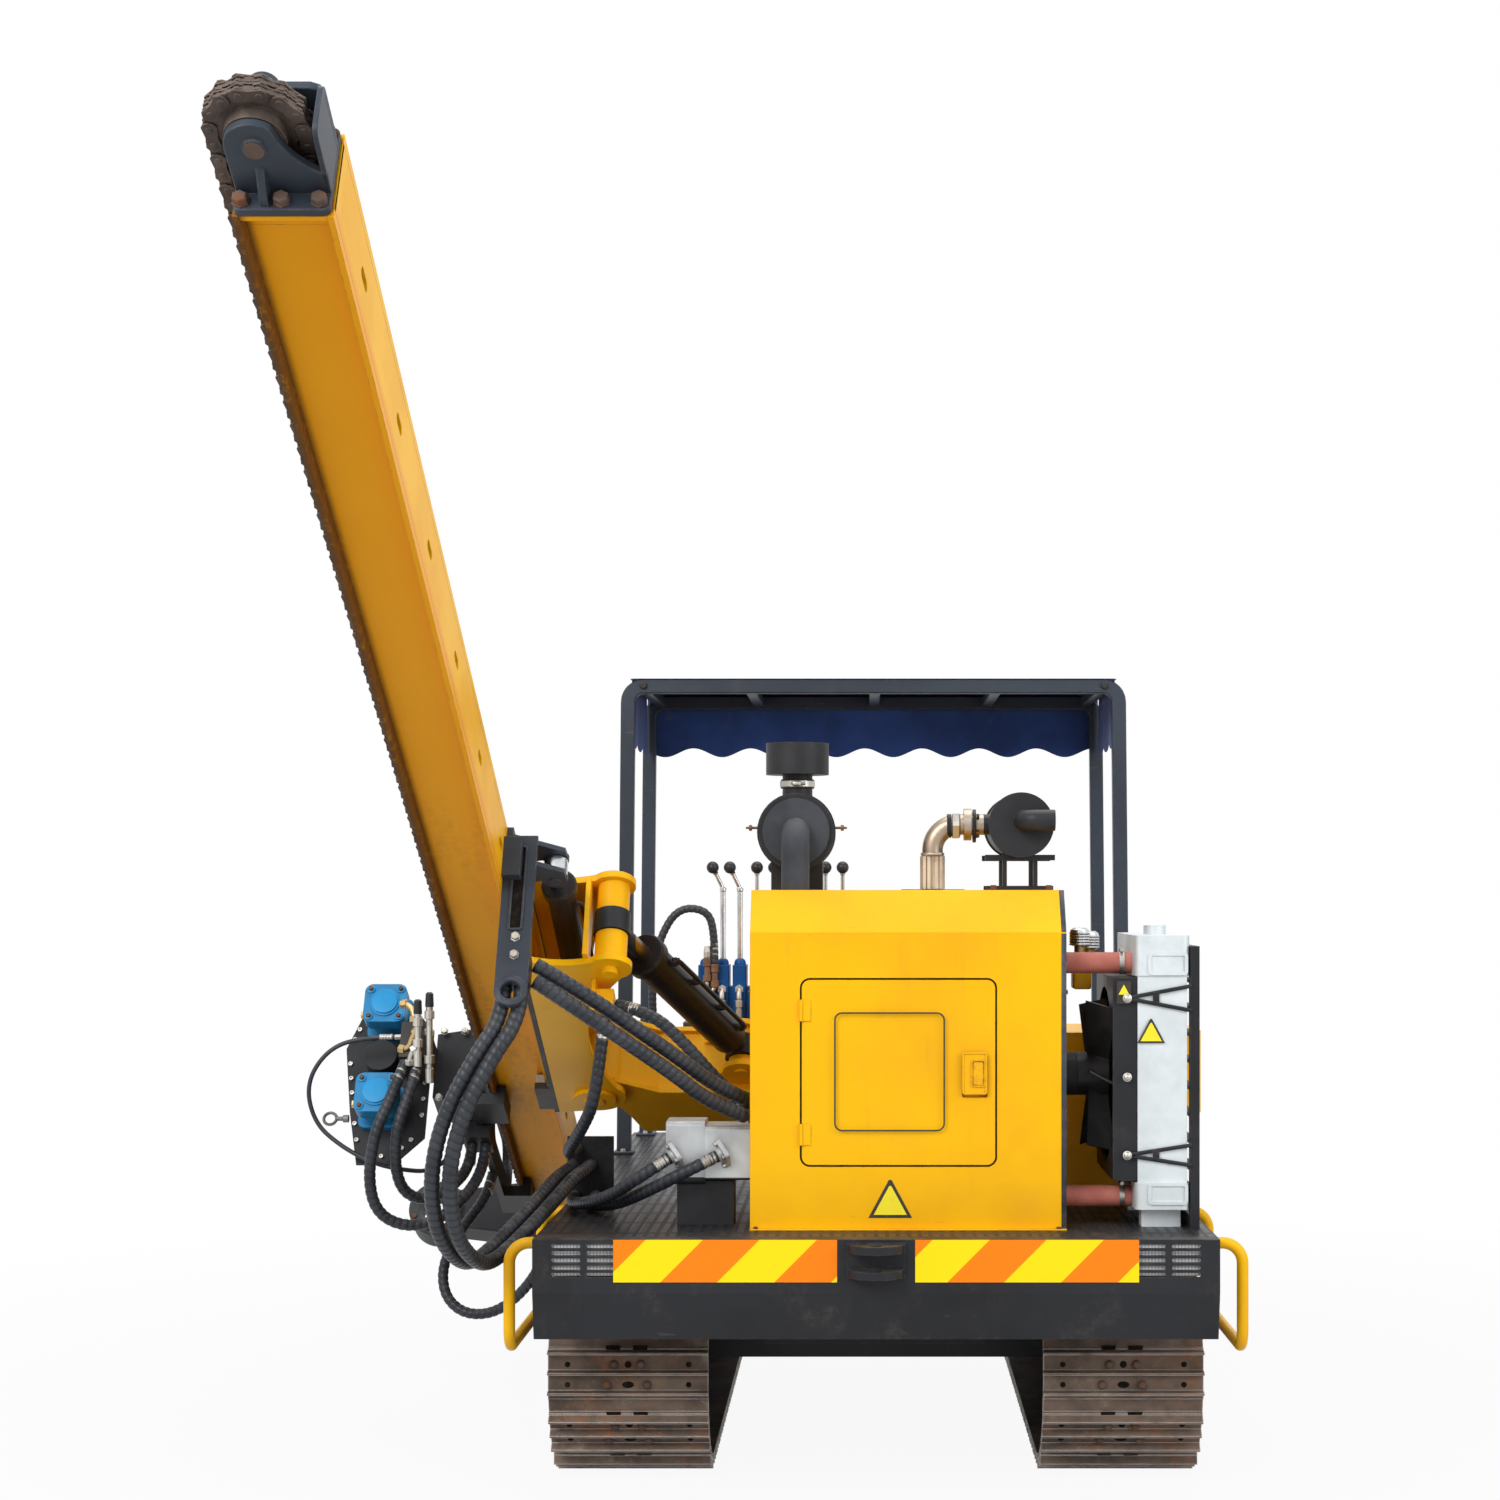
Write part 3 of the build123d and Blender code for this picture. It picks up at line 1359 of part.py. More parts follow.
chain_run = head_shaft_up - foot_shaft_up
with BuildPart() as feed_chain:
    for row in (-1, 1):
        with BuildSketch(flat_plane(row * 20.2)):
            with Locations((shaft_x, (head_shaft_up + foot_shaft_up) / 2)):
                SlotCenterToCenter(chain_run, 2 * (pitch_radius + chain_half_height), rotation=90)
                SlotCenterToCenter(chain_run, 2 * (pitch_radius - chain_half_height), rotation=90, mode=Mode.SUBTRACT)
        extrude(amount=2.5, both=True)

foot_plate = 20
foot_end = foot_shaft_up - pitch_radius - chain_half_height - 5
clamp_up = -1160
clamp_half = 60
with BuildPart() as mast_foot:
    # two cheeks past the foot of the mast that hold the lower sprocket, and its foot plate
    for side in (-1, 1):
        with BuildSketch(flat_plane(side * web_out)):
            with BuildLine():
                Polyline(
                    (mast_outer + flange + 1, mast_bottom + 110), (mast_inner - flange - 1, mast_bottom + 110),
                    (mast_inner - flange - 1, mast_bottom - 2), (mast_inner, mast_bottom - 2),
                    (mast_inner, foot_end), (mast_outer - 20, foot_end),
                    (mast_outer - 20, mast_bottom - 2), (mast_outer + flange + 1, mast_bottom - 2),
                    close=True,
                )
            make_face()
        extrude(amount=side * ear_plate)
    with BuildSketch(cross_plane(foot_end)):
        with Locations((mast_middle - 8, 0)):
            Rectangle(mast_width + 40, 2 * (web_out + ear_plate))
    extrude(amount=-foot_plate)
    with BuildSketch(flat_plane()):
        with Locations((shaft_x, foot_shaft_up)):
            Circle(22)
    extrude(amount=web_out + ear_plate + 10, both=True)

with BuildPart() as rod_clamp:
    # an arm from the outer flange to the jaw ring round the drill string
    with BuildSketch(cross_plane(clamp_up)):
        with BuildLine():
            Polyline(
                (mast_outer, -mast_depth / 2), (spindle_x + 90, -110), (spindle_x + 90, 110),
                (mast_outer, mast_depth / 2), (mast_outer, 34), (mast_outer - 60, 34),
                (mast_outer - 60, -34), (mast_outer, -34),
                close=True,
            )
        make_face()
        with Locations((spindle_x, 0)):
            Circle(140)
            Circle(rod_bore + 35, mode=Mode.SUBTRACT)
    extrude(amount=clamp_half, both=True)

pad_low = 1190
pad_high = 1366
hanger_width = 88
hanger_x = mast_inner + hanger_width / 2
hanger_plate = 14
hanger_head = 70            # how far it stands over the mast's middle
hanger_depth = 406          # its eye lies this far under it
hanger_eye = 26
clamp_first = 285
clamp_last = 375
clamp_thick = 52
with BuildPart() as hose_hanger:
    # pad on the mast's inner face, two ears for the slide rod's eye, and the pin
    with BuildSketch(side_plane(mast_inner)):
        with Locations(((pad_low + pad_high) / 2, -20)):
            Rectangle(pad_high - pad_low, 170)
    extrude(amount=18)
    for side in (-1, 1):
        with BuildSketch(flat_plane(slide_depth + side * 26)):
            with BuildLine():
                Polyline(
                    (mast_inner + 10, 1360), (slide_x + 30, 1280), (slide_x + 34, slide_eye_up),
                    (slide_x - 34, slide_eye_up), (mast_inner + 10, 1220),
                    close=True,
                )
            make_face()
            with Locations((slide_x, slide_eye_up)):
                Circle(36)
        extrude(amount=side * 14)
    with BuildSketch(flat_plane(slide_depth)):
        with Locations((slide_x, slide_eye_up)):
            Circle(16)
    extrude(amount=44, both=True)
    # a flat bar square to the mast, on the end of the pad, with an eye at its lower end
    with BuildSketch(cross_plane(pad_high)):
        with Locations((hanger_x, (hanger_head - hanger_depth) / 2)):
            Rectangle(hanger_width, hanger_head + hanger_depth)
        with Locations((hanger_x, -hanger_depth)):
            Circle(hanger_width / 2)
            Circle(hanger_eye, mode=Mode.SUBTRACT)
        with Locations((hanger_x, -140)):
            SlotOverall(150, 16, rotation=90, mode=Mode.SUBTRACT)
    extrude(amount=hanger_plate)
    with BuildSketch(cross_plane(pad_high + hanger_plate)):
        with Locations((mast_inner + 25, -10)):
            Rectangle(50, 120)
    extrude(amount=30)
    # the clamp block behind the bar that grips the hoses
    with BuildSketch(cross_plane(pad_high)):
        with Locations((hanger_x, -(clamp_first + clamp_last) / 2)):
            Rectangle(hanger_width, clamp_last - clamp_first)
    extrude(amount=-clamp_thick)

# ---- power head on its carriage ----
plate_face = shaft_x - pitch_radius - chain_half_height - 10
carriage_low = -800
carriage_high = 90
carriage_plate = 22
carriage_half = 142
gearbox_width = 322
with BuildPart() as carriage:
    with BuildSketch(side_plane(plate_face)):
        with Locations(((carriage_low + carriage_high) / 2, 0)):
            Rectangle(carriage_high - carriage_low, 2 * carriage_half)
            with Locations((-160, 0)):
                SlotOverall(360, 120, mode=Mode.SUBTRACT)
    extrude(amount=-carriage_plate)
    for place in (carriage_low + 75, carriage_high - 75):
        for side in (-1, 1):
            with BuildSketch(cross_plane(place)):
                with BuildLine():
                    Polyline(
                        (plate_face - 1, side * lip_out), (plate_face - 1, side * carriage_half),
                        (mast_outer + flange + 28, side * carriage_half),
                        (mast_outer + flange + 28, side * (lip_out - grip_reach)),
                        (mast_outer + flange + clearance, side * (lip_out - grip_reach)),
                        (mast_outer + flange + clearance, side * lip_out),
                        close=True,
                    )
                make_face()
            extrude(amount=75, both=True)
    # the block on its lower edge that the head's hoses come back to
    with BuildSketch(flat_plane(carriage_half - 20)):
        with Locations((plate_face - carriage_plate / 2 - 8, -140)):
            Rectangle(carriage_plate + 66, 120)
    extrude(amount=58)
    # the bracket that the gearbox bolts on to
    with BuildSketch(cross_plane(power_head_up - 90)):
        with BuildLine():
            Polyline(
                (plate_face - carriage_plate + 1, -130), (spindle_x + gearbox_width / 2, -110),
                (spindle_x + gearbox_width / 2, 110), (plate_face - carriage_plate + 1, 130),
                close=True,
            )
        make_face()
    extrude(amount=180)

gearbox_half = 360
gearbox_thick = 180
motor_offset = 154
bore_radius = 52
with BuildPart() as gearbox:
    with BuildSketch(cross_plane(power_head_up - gearbox_thick / 2)):
        with Locations((spindle_x, 0)):
            Rectangle(gearbox_width, 2 * gearbox_half)
        chamfer(vertices(), length=95)
        with Locations((spindle_x, 0)):
            Circle(bore_radius, mode=Mode.SUBTRACT)
    extrude(amount=gearbox_thick)
    with BuildSketch(cross_plane(power_head_up - gearbox_thick / 2)):
        with Locations((spindle_x, 0)):
            Circle(100)
            Circle(bore_radius, mode=Mode.SUBTRACT)
    extrude(amount=-60)

motor_size = 140
port_block_out = spindle_x + 80
with BuildPart() as drive_motors:
    # the block between the two motors that the hoses leave from
    with BuildSketch(cross_plane(power_head_up + gearbox_thick / 2)):
        with Locations(((port_block_out + spindle_x + gearbox_width / 2) / 2, 0)):
            Rectangle(spindle_x + gearbox_width / 2 - port_block_out, 120)
    extrude(amount=190)
    for side in (-1, 1):
        with BuildSketch(cross_plane(power_head_up + gearbox_thick / 2)):
            with Locations((spindle_x + 10, side * motor_offset)):
                RectangleRounded(motor_size, motor_size, 22)
        extrude(amount=24)
        with BuildSketch(cross_plane(power_head_up + gearbox_thick / 2 + 24)):
            with Locations((spindle_x + 10, side * motor_offset)):
                Circle(62)
        extrude(amount=60)
        with BuildSketch(cross_plane(power_head_up + gearbox_thick / 2 + 84)):
            with Locations((spindle_x + 10, side * motor_offset)):
                RectangleRounded(motor_size - 8, motor_size - 8, 26)
        extrude(amount=52)

spindle_clear = 0.5
with BuildPart() as spindle:
    with BuildSketch(cross_plane(power_head_up - gearbox_thick / 2 - 190)):
        with Locations((spindle_x, 0)):
            Circle(bore_radius - spindle_clear)
            Circle(rod_bore, mode=Mode.SUBTRACT)
    extrude(amount=190 + gearbox_thick + 36)
    with BuildSketch(cross_plane(power_head_up - gearbox_thick / 2 - 190)):
        with Locations((spindle_x, 0)):
            Circle(76)
            Circle(rod_bore, mode=Mode.SUBTRACT)
    extrude(amount=110)

# ---- hydraulic hoses: straight runs joined by arcs, each arc as wide as its runs allow ----
arc_share = 0.45            # of the shorter run, from a corner to the arc's end


def hose_tube(route, radius):
    """A round hose along a route, and the tightest of its bends."""
    points = [Vector(*place) for place in route]
    tightest = 1e9
    start = points[0]
    length = 0
    with BuildPart() as tube:
        with BuildLine():
            for before, corner, after in zip(points, points[1:], points[2:]):
                way_in = (corner - before).normalized()
                way_out = (after - corner).normalized()
                half_turn = radians(way_in.get_angle(way_out)) / 2
                reach = arc_share * min((corner - before).length, (after - corner).length)
                bend = reach / tan(half_turn)
                tightest = min(tightest, bend)
                first = corner - way_in * reach
                last = corner + way_out * reach
                middle = corner + (way_out - way_in).normalized() * (bend / cos(half_turn) - bend)
                Line(start, first)
                ThreePointArc(first, middle, last)
                length += (first - start).length + 2 * bend * half_turn
                start = last
            Line(start, points[-1])
            length += (points[-1] - start).length
        with BuildSketch(Plane(origin=points[0], z_dir=(points[1] - points[0]).normalized())):
            Circle(radius)
        sweep()
    full = pi * radius ** 2 * length
    print(f"hose r {radius} length {length:.0f} tightest bend {tightest:.0f} volume {tube.part.volume / full:.4f}")
    return tube


def on_mast(x, height, depth):
    """A place given by x, up the mast and out of its underside."""
    return tuple(tilt_centre + sideways * x + up_mast * height + under_mast * depth)


plate_side = bulkhead_y - seat
big_hose = 21
small_hose = 18
drain_hose = 7
clamp_foot = clamp_last + seat
twin_shift = (-50, 17, 0)
loop_way = [
    (-1010, -1640, 1240), (-1095, -1650, 1075), (-1132, -1622, 905), (-1122, -1548, 755), (-1088, -1420, 668),
    (-1062, -1290, 648), (-1015, -1190, 688), (-960, -1080, 745), (-920, -950, 792), (-890, -820, 830),
    (-860, -715, 848),
]
loop_end = (-860, 848)
hose_routes = {
    "hose_supply_first": (big_hose, [
        (-912.1, -1519, 1480), (-770, -1490, 1392), (-650, -1440, 1305), (-535, -1370, 1218), (-450, -1270, 1140),
        (-367, -1170, 1093),
    ]),
    "hose_supply_second": (big_hose, [
        (-911.5, -1542, 1438), (-780, -1516, 1348), (-658, -1467, 1260), (-542, -1398, 1173), (-460, -1309, 1096),
        (-366.3, -1213, 1049),
    ]),
    "hose_swing_supply": (small_hose, [
        (-736.7, -1085, 1353), (-640, -1115, 1335), (-540, -1145, 1250), (-450, -1135, 1145),
        (-363.2, -1108, 1060),
    ]),
    "hose_loop_first": (big_hose, [
        on_mast(-944, 1340, clamp_foot), on_mast(-944, 1340, clamp_foot + 90),
    ] + loop_way + [(loop_end[0], plate_side, loop_end[1])]),
    "hose_loop_second": (big_hose, [
        on_mast(-991, 1340, clamp_foot), on_mast(-991, 1340, clamp_foot + 90),
    ] + [tuple(a + b for a, b in zip(place, twin_shift)) for place in loop_way] + [
        (loop_end[0] + twin_shift[0], plate_side, loop_end[1]),
    ]),
    "hose_swing_return": (small_hose, [
        on_mast(-769, 900, 245), (-785, -1165, 1095), (-845, -1060, 985), (-895, -930, 920), (-900, -780, 900),
        (-900, plate_side, 900),
    ]),
    "hose_motor_first": (small_hose, [
        on_mast(-1452, 235, 65), on_mast(-1485, 240, 190), on_mast(-1525, 235, 300),
        (-1552, -520, 800), (-1535, -485, 690), (-1460, -450, 640), (-1365, -420, 648), (-1285, -350, 712),
        on_mast(-1243, -140, 262), on_mast(-1243, -140, carriage_half + 38 + seat),
    ]),
    "hose_motor_second": (small_hose, [
        on_mast(-1410, 235, 63.5), on_mast(-1430, 240, 180), on_mast(-1460, 235, 285),
        (-1475, -495, 830), (-1455, -455, 745), (-1395, -405, 715), (-1328, -340, 745),
        on_mast(-1287, -140, 255), on_mast(-1287, -140, carriage_half + 38 + seat),
    ]),
    "hose_drain": (drain_hose, [
        on_mast(port_block_out - seat, 235, -20), on_mast(-1570, 235, -20), (-1690, -405, 1195), (-1765, -415, 1085),
        (-1738, -425, 960), on_mast(-1650, 108, 295), on_mast(-1545, 104, 350), on_mast(-1462, 84, 362),
        on_mast(-1392, 4, 335), on_mast(-1348, -80, 255), on_mast(-1318.6, -140, 167),
    ]),
    "hose_pump_first": (small_hose, [
        (-560, -1182.6, 940), (-655, -1212, 882), (-750, -1110, 812), (-850, -945, 770), (-905, -790, 757),
        (-905, plate_side, 757),
    ]),
    "hose_pump_second": (small_hose, [
        (-425, -1202.4, 945), (-530, -1238, 895), (-645, -1175, 832), (-750, -1015, 775), (-842, -850, 757),
        (-842, plate_side, 757),
    ]),
    "hose_feed_drive": (small_hose - 1, [
        on_mast(-1262, -450, carriage_half + 2.6), on_mast(-1275, -455, 225), (-1345, 20, 580), (-1400, -60, 470),
        (-1385, -110, 370), (-1310, -140, 315), (-1200, -170, 330), (-1090, -210, 430), (-1030, -250, 560),
        (-985, -280, 660), (-940, -298, 687),
    ]),
}

pieces = {
    "track_left": track_left,
    "track_right": track_right,
    "drive_sprockets": drive_sprockets,
    "idlers": idlers,
    "track_rollers": track_rollers,
    "undercarriage_frame": undercarriage_frame,
    "deck": deck,
    "rear_bumper": rear_bumper,
    "rear_lamps": rear_lamps,
    "hazard_plates": hazard_plates,
    "tow_bracket": tow_bracket,
    "side_guards": side_guards,
    "engine_cover": engine_cover,
    "engine_door": engine_door,
    "engine_block": engine_block,
    "fan": fan,
    "radiator": radiator,
    "radiator_shroud": radiator_shroud,
    "coolant_hoses": coolant_hoses,
    "air_cleaner": air_cleaner,
    "muffler": muffler,
    "canopy_frame": canopy_frame,
    "canopy_cloth": canopy_cloth,
    "control_stand": control_stand,
    "control_valves": control_valves,
    "control_levers": control_levers,
    "hydraulic_pumps": hydraulic_pumps,
    "hydraulic_tank": hydraulic_tank,
    "tilt_column": tilt_column,
    "boom": boom,
    "swing_barrel": swing_barrel,
    "swing_rod": swing_rod,
    "swing_head": swing_head,
    "slide_frame": slide_frame,
    "guide_blocks": guide_blocks,
    "slide_barrel": slide_barrel,
    "slide_rod": slide_rod,
    "mast_beam": mast_beam,
    "mast_head": mast_head,
    "chain_sprockets": chain_sprockets,
    "feed_chain": feed_chain,
    "mast_foot": mast_foot,
    "rod_clamp": rod_clamp,
    "hose_hanger": hose_hanger,
    "carriage": carriage,
    "gearbox": gearbox,
    "drive_motors": drive_motors,
    "spindle": spindle,
}
for name, (radius, route) in hose_routes.items():
    pieces[name] = hose_tube(route, radius)
os.makedirs("parts", exist_ok=True)
for name, piece in pieces.items():
    piece.part.label = name
    export_step(piece.part, f"parts/{name}.step")
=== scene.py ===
import json
from math import cos, hypot, pi, radians, sin

import bpy
from mathutils import Matrix, Vector


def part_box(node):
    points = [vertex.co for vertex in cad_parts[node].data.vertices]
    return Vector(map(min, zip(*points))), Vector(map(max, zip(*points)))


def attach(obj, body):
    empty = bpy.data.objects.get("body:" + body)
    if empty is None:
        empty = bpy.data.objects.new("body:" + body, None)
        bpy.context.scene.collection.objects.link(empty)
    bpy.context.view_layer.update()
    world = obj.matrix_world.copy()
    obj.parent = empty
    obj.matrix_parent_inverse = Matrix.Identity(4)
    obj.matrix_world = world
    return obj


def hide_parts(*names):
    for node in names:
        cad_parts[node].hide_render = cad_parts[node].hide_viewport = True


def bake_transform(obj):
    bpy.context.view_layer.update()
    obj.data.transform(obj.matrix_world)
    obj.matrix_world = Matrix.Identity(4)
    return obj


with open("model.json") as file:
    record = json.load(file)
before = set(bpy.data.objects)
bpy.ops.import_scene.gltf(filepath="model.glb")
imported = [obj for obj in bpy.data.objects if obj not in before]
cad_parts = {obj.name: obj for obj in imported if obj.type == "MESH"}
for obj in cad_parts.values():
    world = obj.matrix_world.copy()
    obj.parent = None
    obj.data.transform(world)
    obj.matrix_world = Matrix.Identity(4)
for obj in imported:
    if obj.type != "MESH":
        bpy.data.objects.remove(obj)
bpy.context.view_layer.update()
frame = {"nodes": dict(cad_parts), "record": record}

bl_info = {
    "name": "Crawler drilling rig",
    "version": (1, 0, 0),
    "blender": (4, 5, 0),
    "location": "View3D > Sidebar > Rig",
    "description": "Finishes and details for a crawler drilling rig on its packed frame",
    "category": "Object",
}

# ---- directions of the leaning mast: across, up its length, out of its underside ----
lean = radians(29.4)
tilt_centre = Vector((0, -0.2, 1.09))
up_mast = Vector((0, -cos(lean), sin(lean)))
under_mast = Vector((0, -sin(lean), -cos(lean)))
right, front, up = Vector((1, 0, 0)), Vector((0, 1, 0)), Vector((0, 0, 1))


def on_mast(x, height, depth):
    """A place given across, up the mast and out of its underside, in metres."""
    return tilt_centre + right * x + up_mast * height + under_mast * depth


def facing(place, way, roll=right):
    """Puts a pattern made along +Z at a place, pointing that way, with its +X nearest to roll."""
    z = way.normalized()
    x = roll - z * roll.dot(z)
    if x.length < 0.01:
        x = up - z * up.dot(z)
    x.normalize()
    turn = Matrix((x, z.cross(x), z)).transposed().to_4x4()
    return Matrix.Translation(place) @ turn


# ---- small tools for making pieces ----
def pick(*pieces):
    """Selects these pieces only; the first is active."""
    bpy.ops.object.select_all(action="DESELECT")
    for piece in pieces:
        piece.select_set(True)
    bpy.context.view_layer.objects.active = pieces[0]


def settle(piece, matrix=None):
    """Moves a piece's place into its mesh."""
    if matrix is not None:
        piece.matrix_world = matrix @ piece.matrix_world
    pick(piece)
    bpy.ops.object.transform_apply(location=True, rotation=True, scale=True)
    return piece


def moved(piece, x, y, z=0.0):
    """Shifts a piece."""
    return settle(piece, Matrix.Translation((x, y, z)))


def onto(piece, place, way, roll=right):
    """Stands a piece made along +Z on a place, pointing that way."""
    return settle(piece, facing(place, way, roll))


def smooth(degrees=35):
    """Shades the active piece smooth, with the edges sharper than that left crisp."""
    bpy.ops.object.shade_smooth_by_angle(angle=radians(degrees))


def edit(piece, mode="FACE"):
    """Opens a piece for editing with nothing selected."""
    pick(piece)
    bpy.ops.object.mode_set(mode="EDIT")
    bpy.ops.mesh.select_mode(type=mode)
    bpy.ops.mesh.select_all(action="DESELECT")


def close(piece):
    """Points the faces outwards and leaves edit mode."""
    bpy.ops.mesh.select_all(action="SELECT")
    bpy.ops.mesh.normals_make_consistent(inside=False)
    bpy.ops.object.mode_set(mode="OBJECT")
    return piece


def turned(rings, sides=24, round_off=True):
    """A turned shape along +Z: rings of (radius, height), drawn up from a disc ring by ring."""
    bpy.ops.object.select_all(action="DESELECT")
    radius, height = rings[0]
    bpy.ops.mesh.primitive_circle_add(
        vertices=sides, radius=radius, fill_type="NGON", location=(0, 0, height)
    )
    piece = bpy.context.active_object
    settle(piece)
    bpy.ops.object.mode_set(mode="EDIT")
    bpy.ops.mesh.select_all(action="SELECT")
    for wide, high in rings[1:]:
        bpy.ops.mesh.extrude_region_move(TRANSFORM_OT_translate={"value": (0, 0, high - height)})
        if wide != radius:
            bpy.ops.transform.resize(value=(wide / radius, wide / radius, 1), center_override=(0, 0, high))
        radius, height = wide, high
    close(piece)
    if round_off:
        pick(piece)
        smooth()
    return piece


def block(size, bevel=0.0, segments=2):
    """A block about the origin with its edges rounded."""
    bpy.ops.object.select_all(action="DESELECT")
    bpy.ops.mesh.primitive_cube_add(size=1)
    piece = bpy.context.active_object
    piece.scale = size
    settle(piece)
    if bevel:
        edit(piece, "EDGE")
        bpy.ops.mesh.select_all(action="SELECT")
        bpy.ops.mesh.bevel(offset=bevel, segments=segments, affect="EDGES")
        close(piece)
        smooth(50)
    return piece


def plate(outline, thickness, bevel=0.0, hole=None):
    """A flat plate: a disc whose rim is drawn to the outline, raised along +Z."""
    bpy.ops.object.select_all(action="DESELECT")
    bpy.ops.mesh.primitive_circle_add(vertices=len(outline), radius=1, fill_type="NGON")
    piece = bpy.context.active_object
    for vertex, (x, y) in zip(piece.data.vertices, outline):
        vertex.co = (x, y, 0)
    bpy.ops.object.mode_set(mode="EDIT")
    bpy.ops.mesh.select_all(action="SELECT")
    if hole:
        bpy.ops.mesh.inset(thickness=hole)
        bpy.ops.mesh.delete(type="FACE")
        bpy.ops.mesh.select_all(action="SELECT")
    bpy.ops.mesh.extrude_region_move(TRANSFORM_OT_translate={"value": (0, 0, thickness)})
    if bevel:
        bpy.ops.mesh.select_all(action="SELECT")
        bpy.ops.mesh.bevel(offset=bevel, segments=1, affect="EDGES")
    return close(piece)


def rounded(width, height, corner, steps=5):
    """The outline of a rectangle with round corners."""
    outline = []
    for quarter in range(4):
        turn = quarter * pi / 2
        cx = (width / 2 - corner) * (1 if quarter in (0, 3) else -1)
        cy = (height / 2 - corner) * (1 if quarter < 2 else -1)
        for step in range(steps + 1):
            angle = turn + step / steps * pi / 2
            outline.append((cx + corner * cos(angle), cy + corner * sin(angle)))
    return outline


def drawn(points, order, resolution):
    """A smooth curve that the points draw."""
    curve = bpy.data.curves.new("line", "CURVE")
    curve.dimensions = "3D"
    spline = curve.splines.new("NURBS")
    spline.points.add(len(points) - 1)
    for point, place in zip(spline.points, points):
        point.co = (*place, 1)
    spline.order_u = order
    spline.use_endpoint_u = True
    curve.resolution_u = resolution
    piece = bpy.data.objects.new("line", curve)
    bpy.context.scene.collection.objects.link(piece)
    return piece


def pipe(points, radius, sides=12, order=3):
    """A round pipe or rod along a smooth line through the points."""
    piece = drawn(points, order, 6)
    piece.data.bevel_depth = radius
    piece.data.bevel_resolution = max(1, sides // 4 - 1)
    piece.data.use_fill_caps = True
    pick(piece)
    bpy.ops.object.convert(target="MESH")
    piece = bpy.context.active_object
    edit(piece)
    bpy.ops.mesh.select_all(action="SELECT")
    bpy.ops.mesh.remove_doubles(threshold=0.00001)
    return close(piece)


def hexagon(across, high):
    """A bolt's head on its washer."""
    return turned([
        (across * 0.62, 0), (across * 0.62, high * 0.18), (across * 0.54, high * 0.2),
        (across * 0.54, high * 0.86), (across * 0.46, high)
    ], 6, round_off=False)


def copies(pattern, places):
    """One piece of many copies of a pattern; the pattern itself is used up."""
    made = []
    for matrix in places:
        new = pattern.copy()
        new.data = pattern.data.copy()
        new.matrix_world = matrix
        bpy.context.scene.collection.objects.link(new)
        made.append(new)
    bpy.data.objects.remove(pattern)
    return joined(*made)


def joined(*pieces):
    """Several pieces made one."""
    pick(*pieces)
    bpy.ops.object.transform_apply(location=True, rotation=True, scale=True)
    if len(pieces) > 1:
        bpy.ops.object.join()
    return bpy.context.active_object


finishes = {}


def show(piece, name, body, finish):
    """Names and paints a piece that rides on a body, or else bakes its place into its mesh."""
    piece.name = name
    piece.data.name = name
    if finish:
        piece.data.materials.clear()
        piece.data.materials.append(finishes[finish])
    if isinstance(body, str):
        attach(piece, body)
    else:
        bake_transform(piece)
    return piece


def painted(piece, finish):
    """Paints a part before it is joined with others."""
    piece.data.materials.clear()
    piece.data.materials.append(finishes[finish])
    return piece


def bolted(name, body, across, high, places, finish="zinc"):
    """A piece of like bolts, one on each place."""
    return show(copies(hexagon(across, high), places), name, body, finish)


# ---- materials ----
class Field:
    """A shader value that sums are written with."""

    def __init__(self, finish, socket):
        self.finish, self.socket = finish, socket

    def _math(self, operation, first, second):
        return self.finish.node("ShaderNodeMath", {"operation": operation}, {0: first, 1: second})

    def __add__(self, other):
        return self._math("ADD", self, other)

    __radd__ = __add__

    def __sub__(self, other):
        return self._math("SUBTRACT", self, other)

    def __rsub__(self, other):
        return self._math("SUBTRACT", other, self)

    def __mul__(self, other):
        return self._math("MULTIPLY", self, other)

    __rmul__ = __mul__

    def __truediv__(self, other):
        return self._math("DIVIDE", self, other)

    def at_most(self, other):
        return self._math("MINIMUM", self, other)

    def at_least(self, other):
        return self._math("MAXIMUM", self, other)

    def over(self, other):
        return self._math("GREATER_THAN", self, other)

    def under(self, other):
        return self._math("LESS_THAN", self, other)

    def wrap(self):
        return self._math("FRACT", self, 0)

    def wave(self):
        return self._math("SINE", self, 0)

    def fade(self, low, high):
        """From 0 at low to 1 at high, eased and clamped."""
        return self.finish.node(
            "ShaderNodeMapRange", {"interpolation_type": "SMOOTHSTEP"}, {0: self, 1: low, 2: high}
        )


class Nodes:
    """A node tree in the making."""

    def __init__(self, tree):
        self.tree = tree
        self.kept = {}

    def feed(self, socket, value):
        if isinstance(value, Field):
            self.tree.links.new(value.socket, socket)
        elif socket.type == "RGBA" and len(value) == 3:
            socket.default_value = (*value, 1)
        else:
            socket.default_value = value

    def node(self, kind, settings=None, sockets=None, out=0):
        new = self.tree.nodes.new(kind)
        for key, value in (settings or {}).items():
            setattr(new, key, value)
        for key, value in (sockets or {}).items():
            self.feed(new.inputs[key], value)
        return Field(self, new.outputs[out])

    def seen(self):
        """1 for what the camera, a mirror or a glass shows."""
        camera, glossy, through = (
            self.node(
                "ShaderNodeLightPath", out="Is %s Ray" % kind
            ) for kind in ("Camera", "Glossy", "Transmission")
        )
        return camera.at_least(glossy).at_least(through)


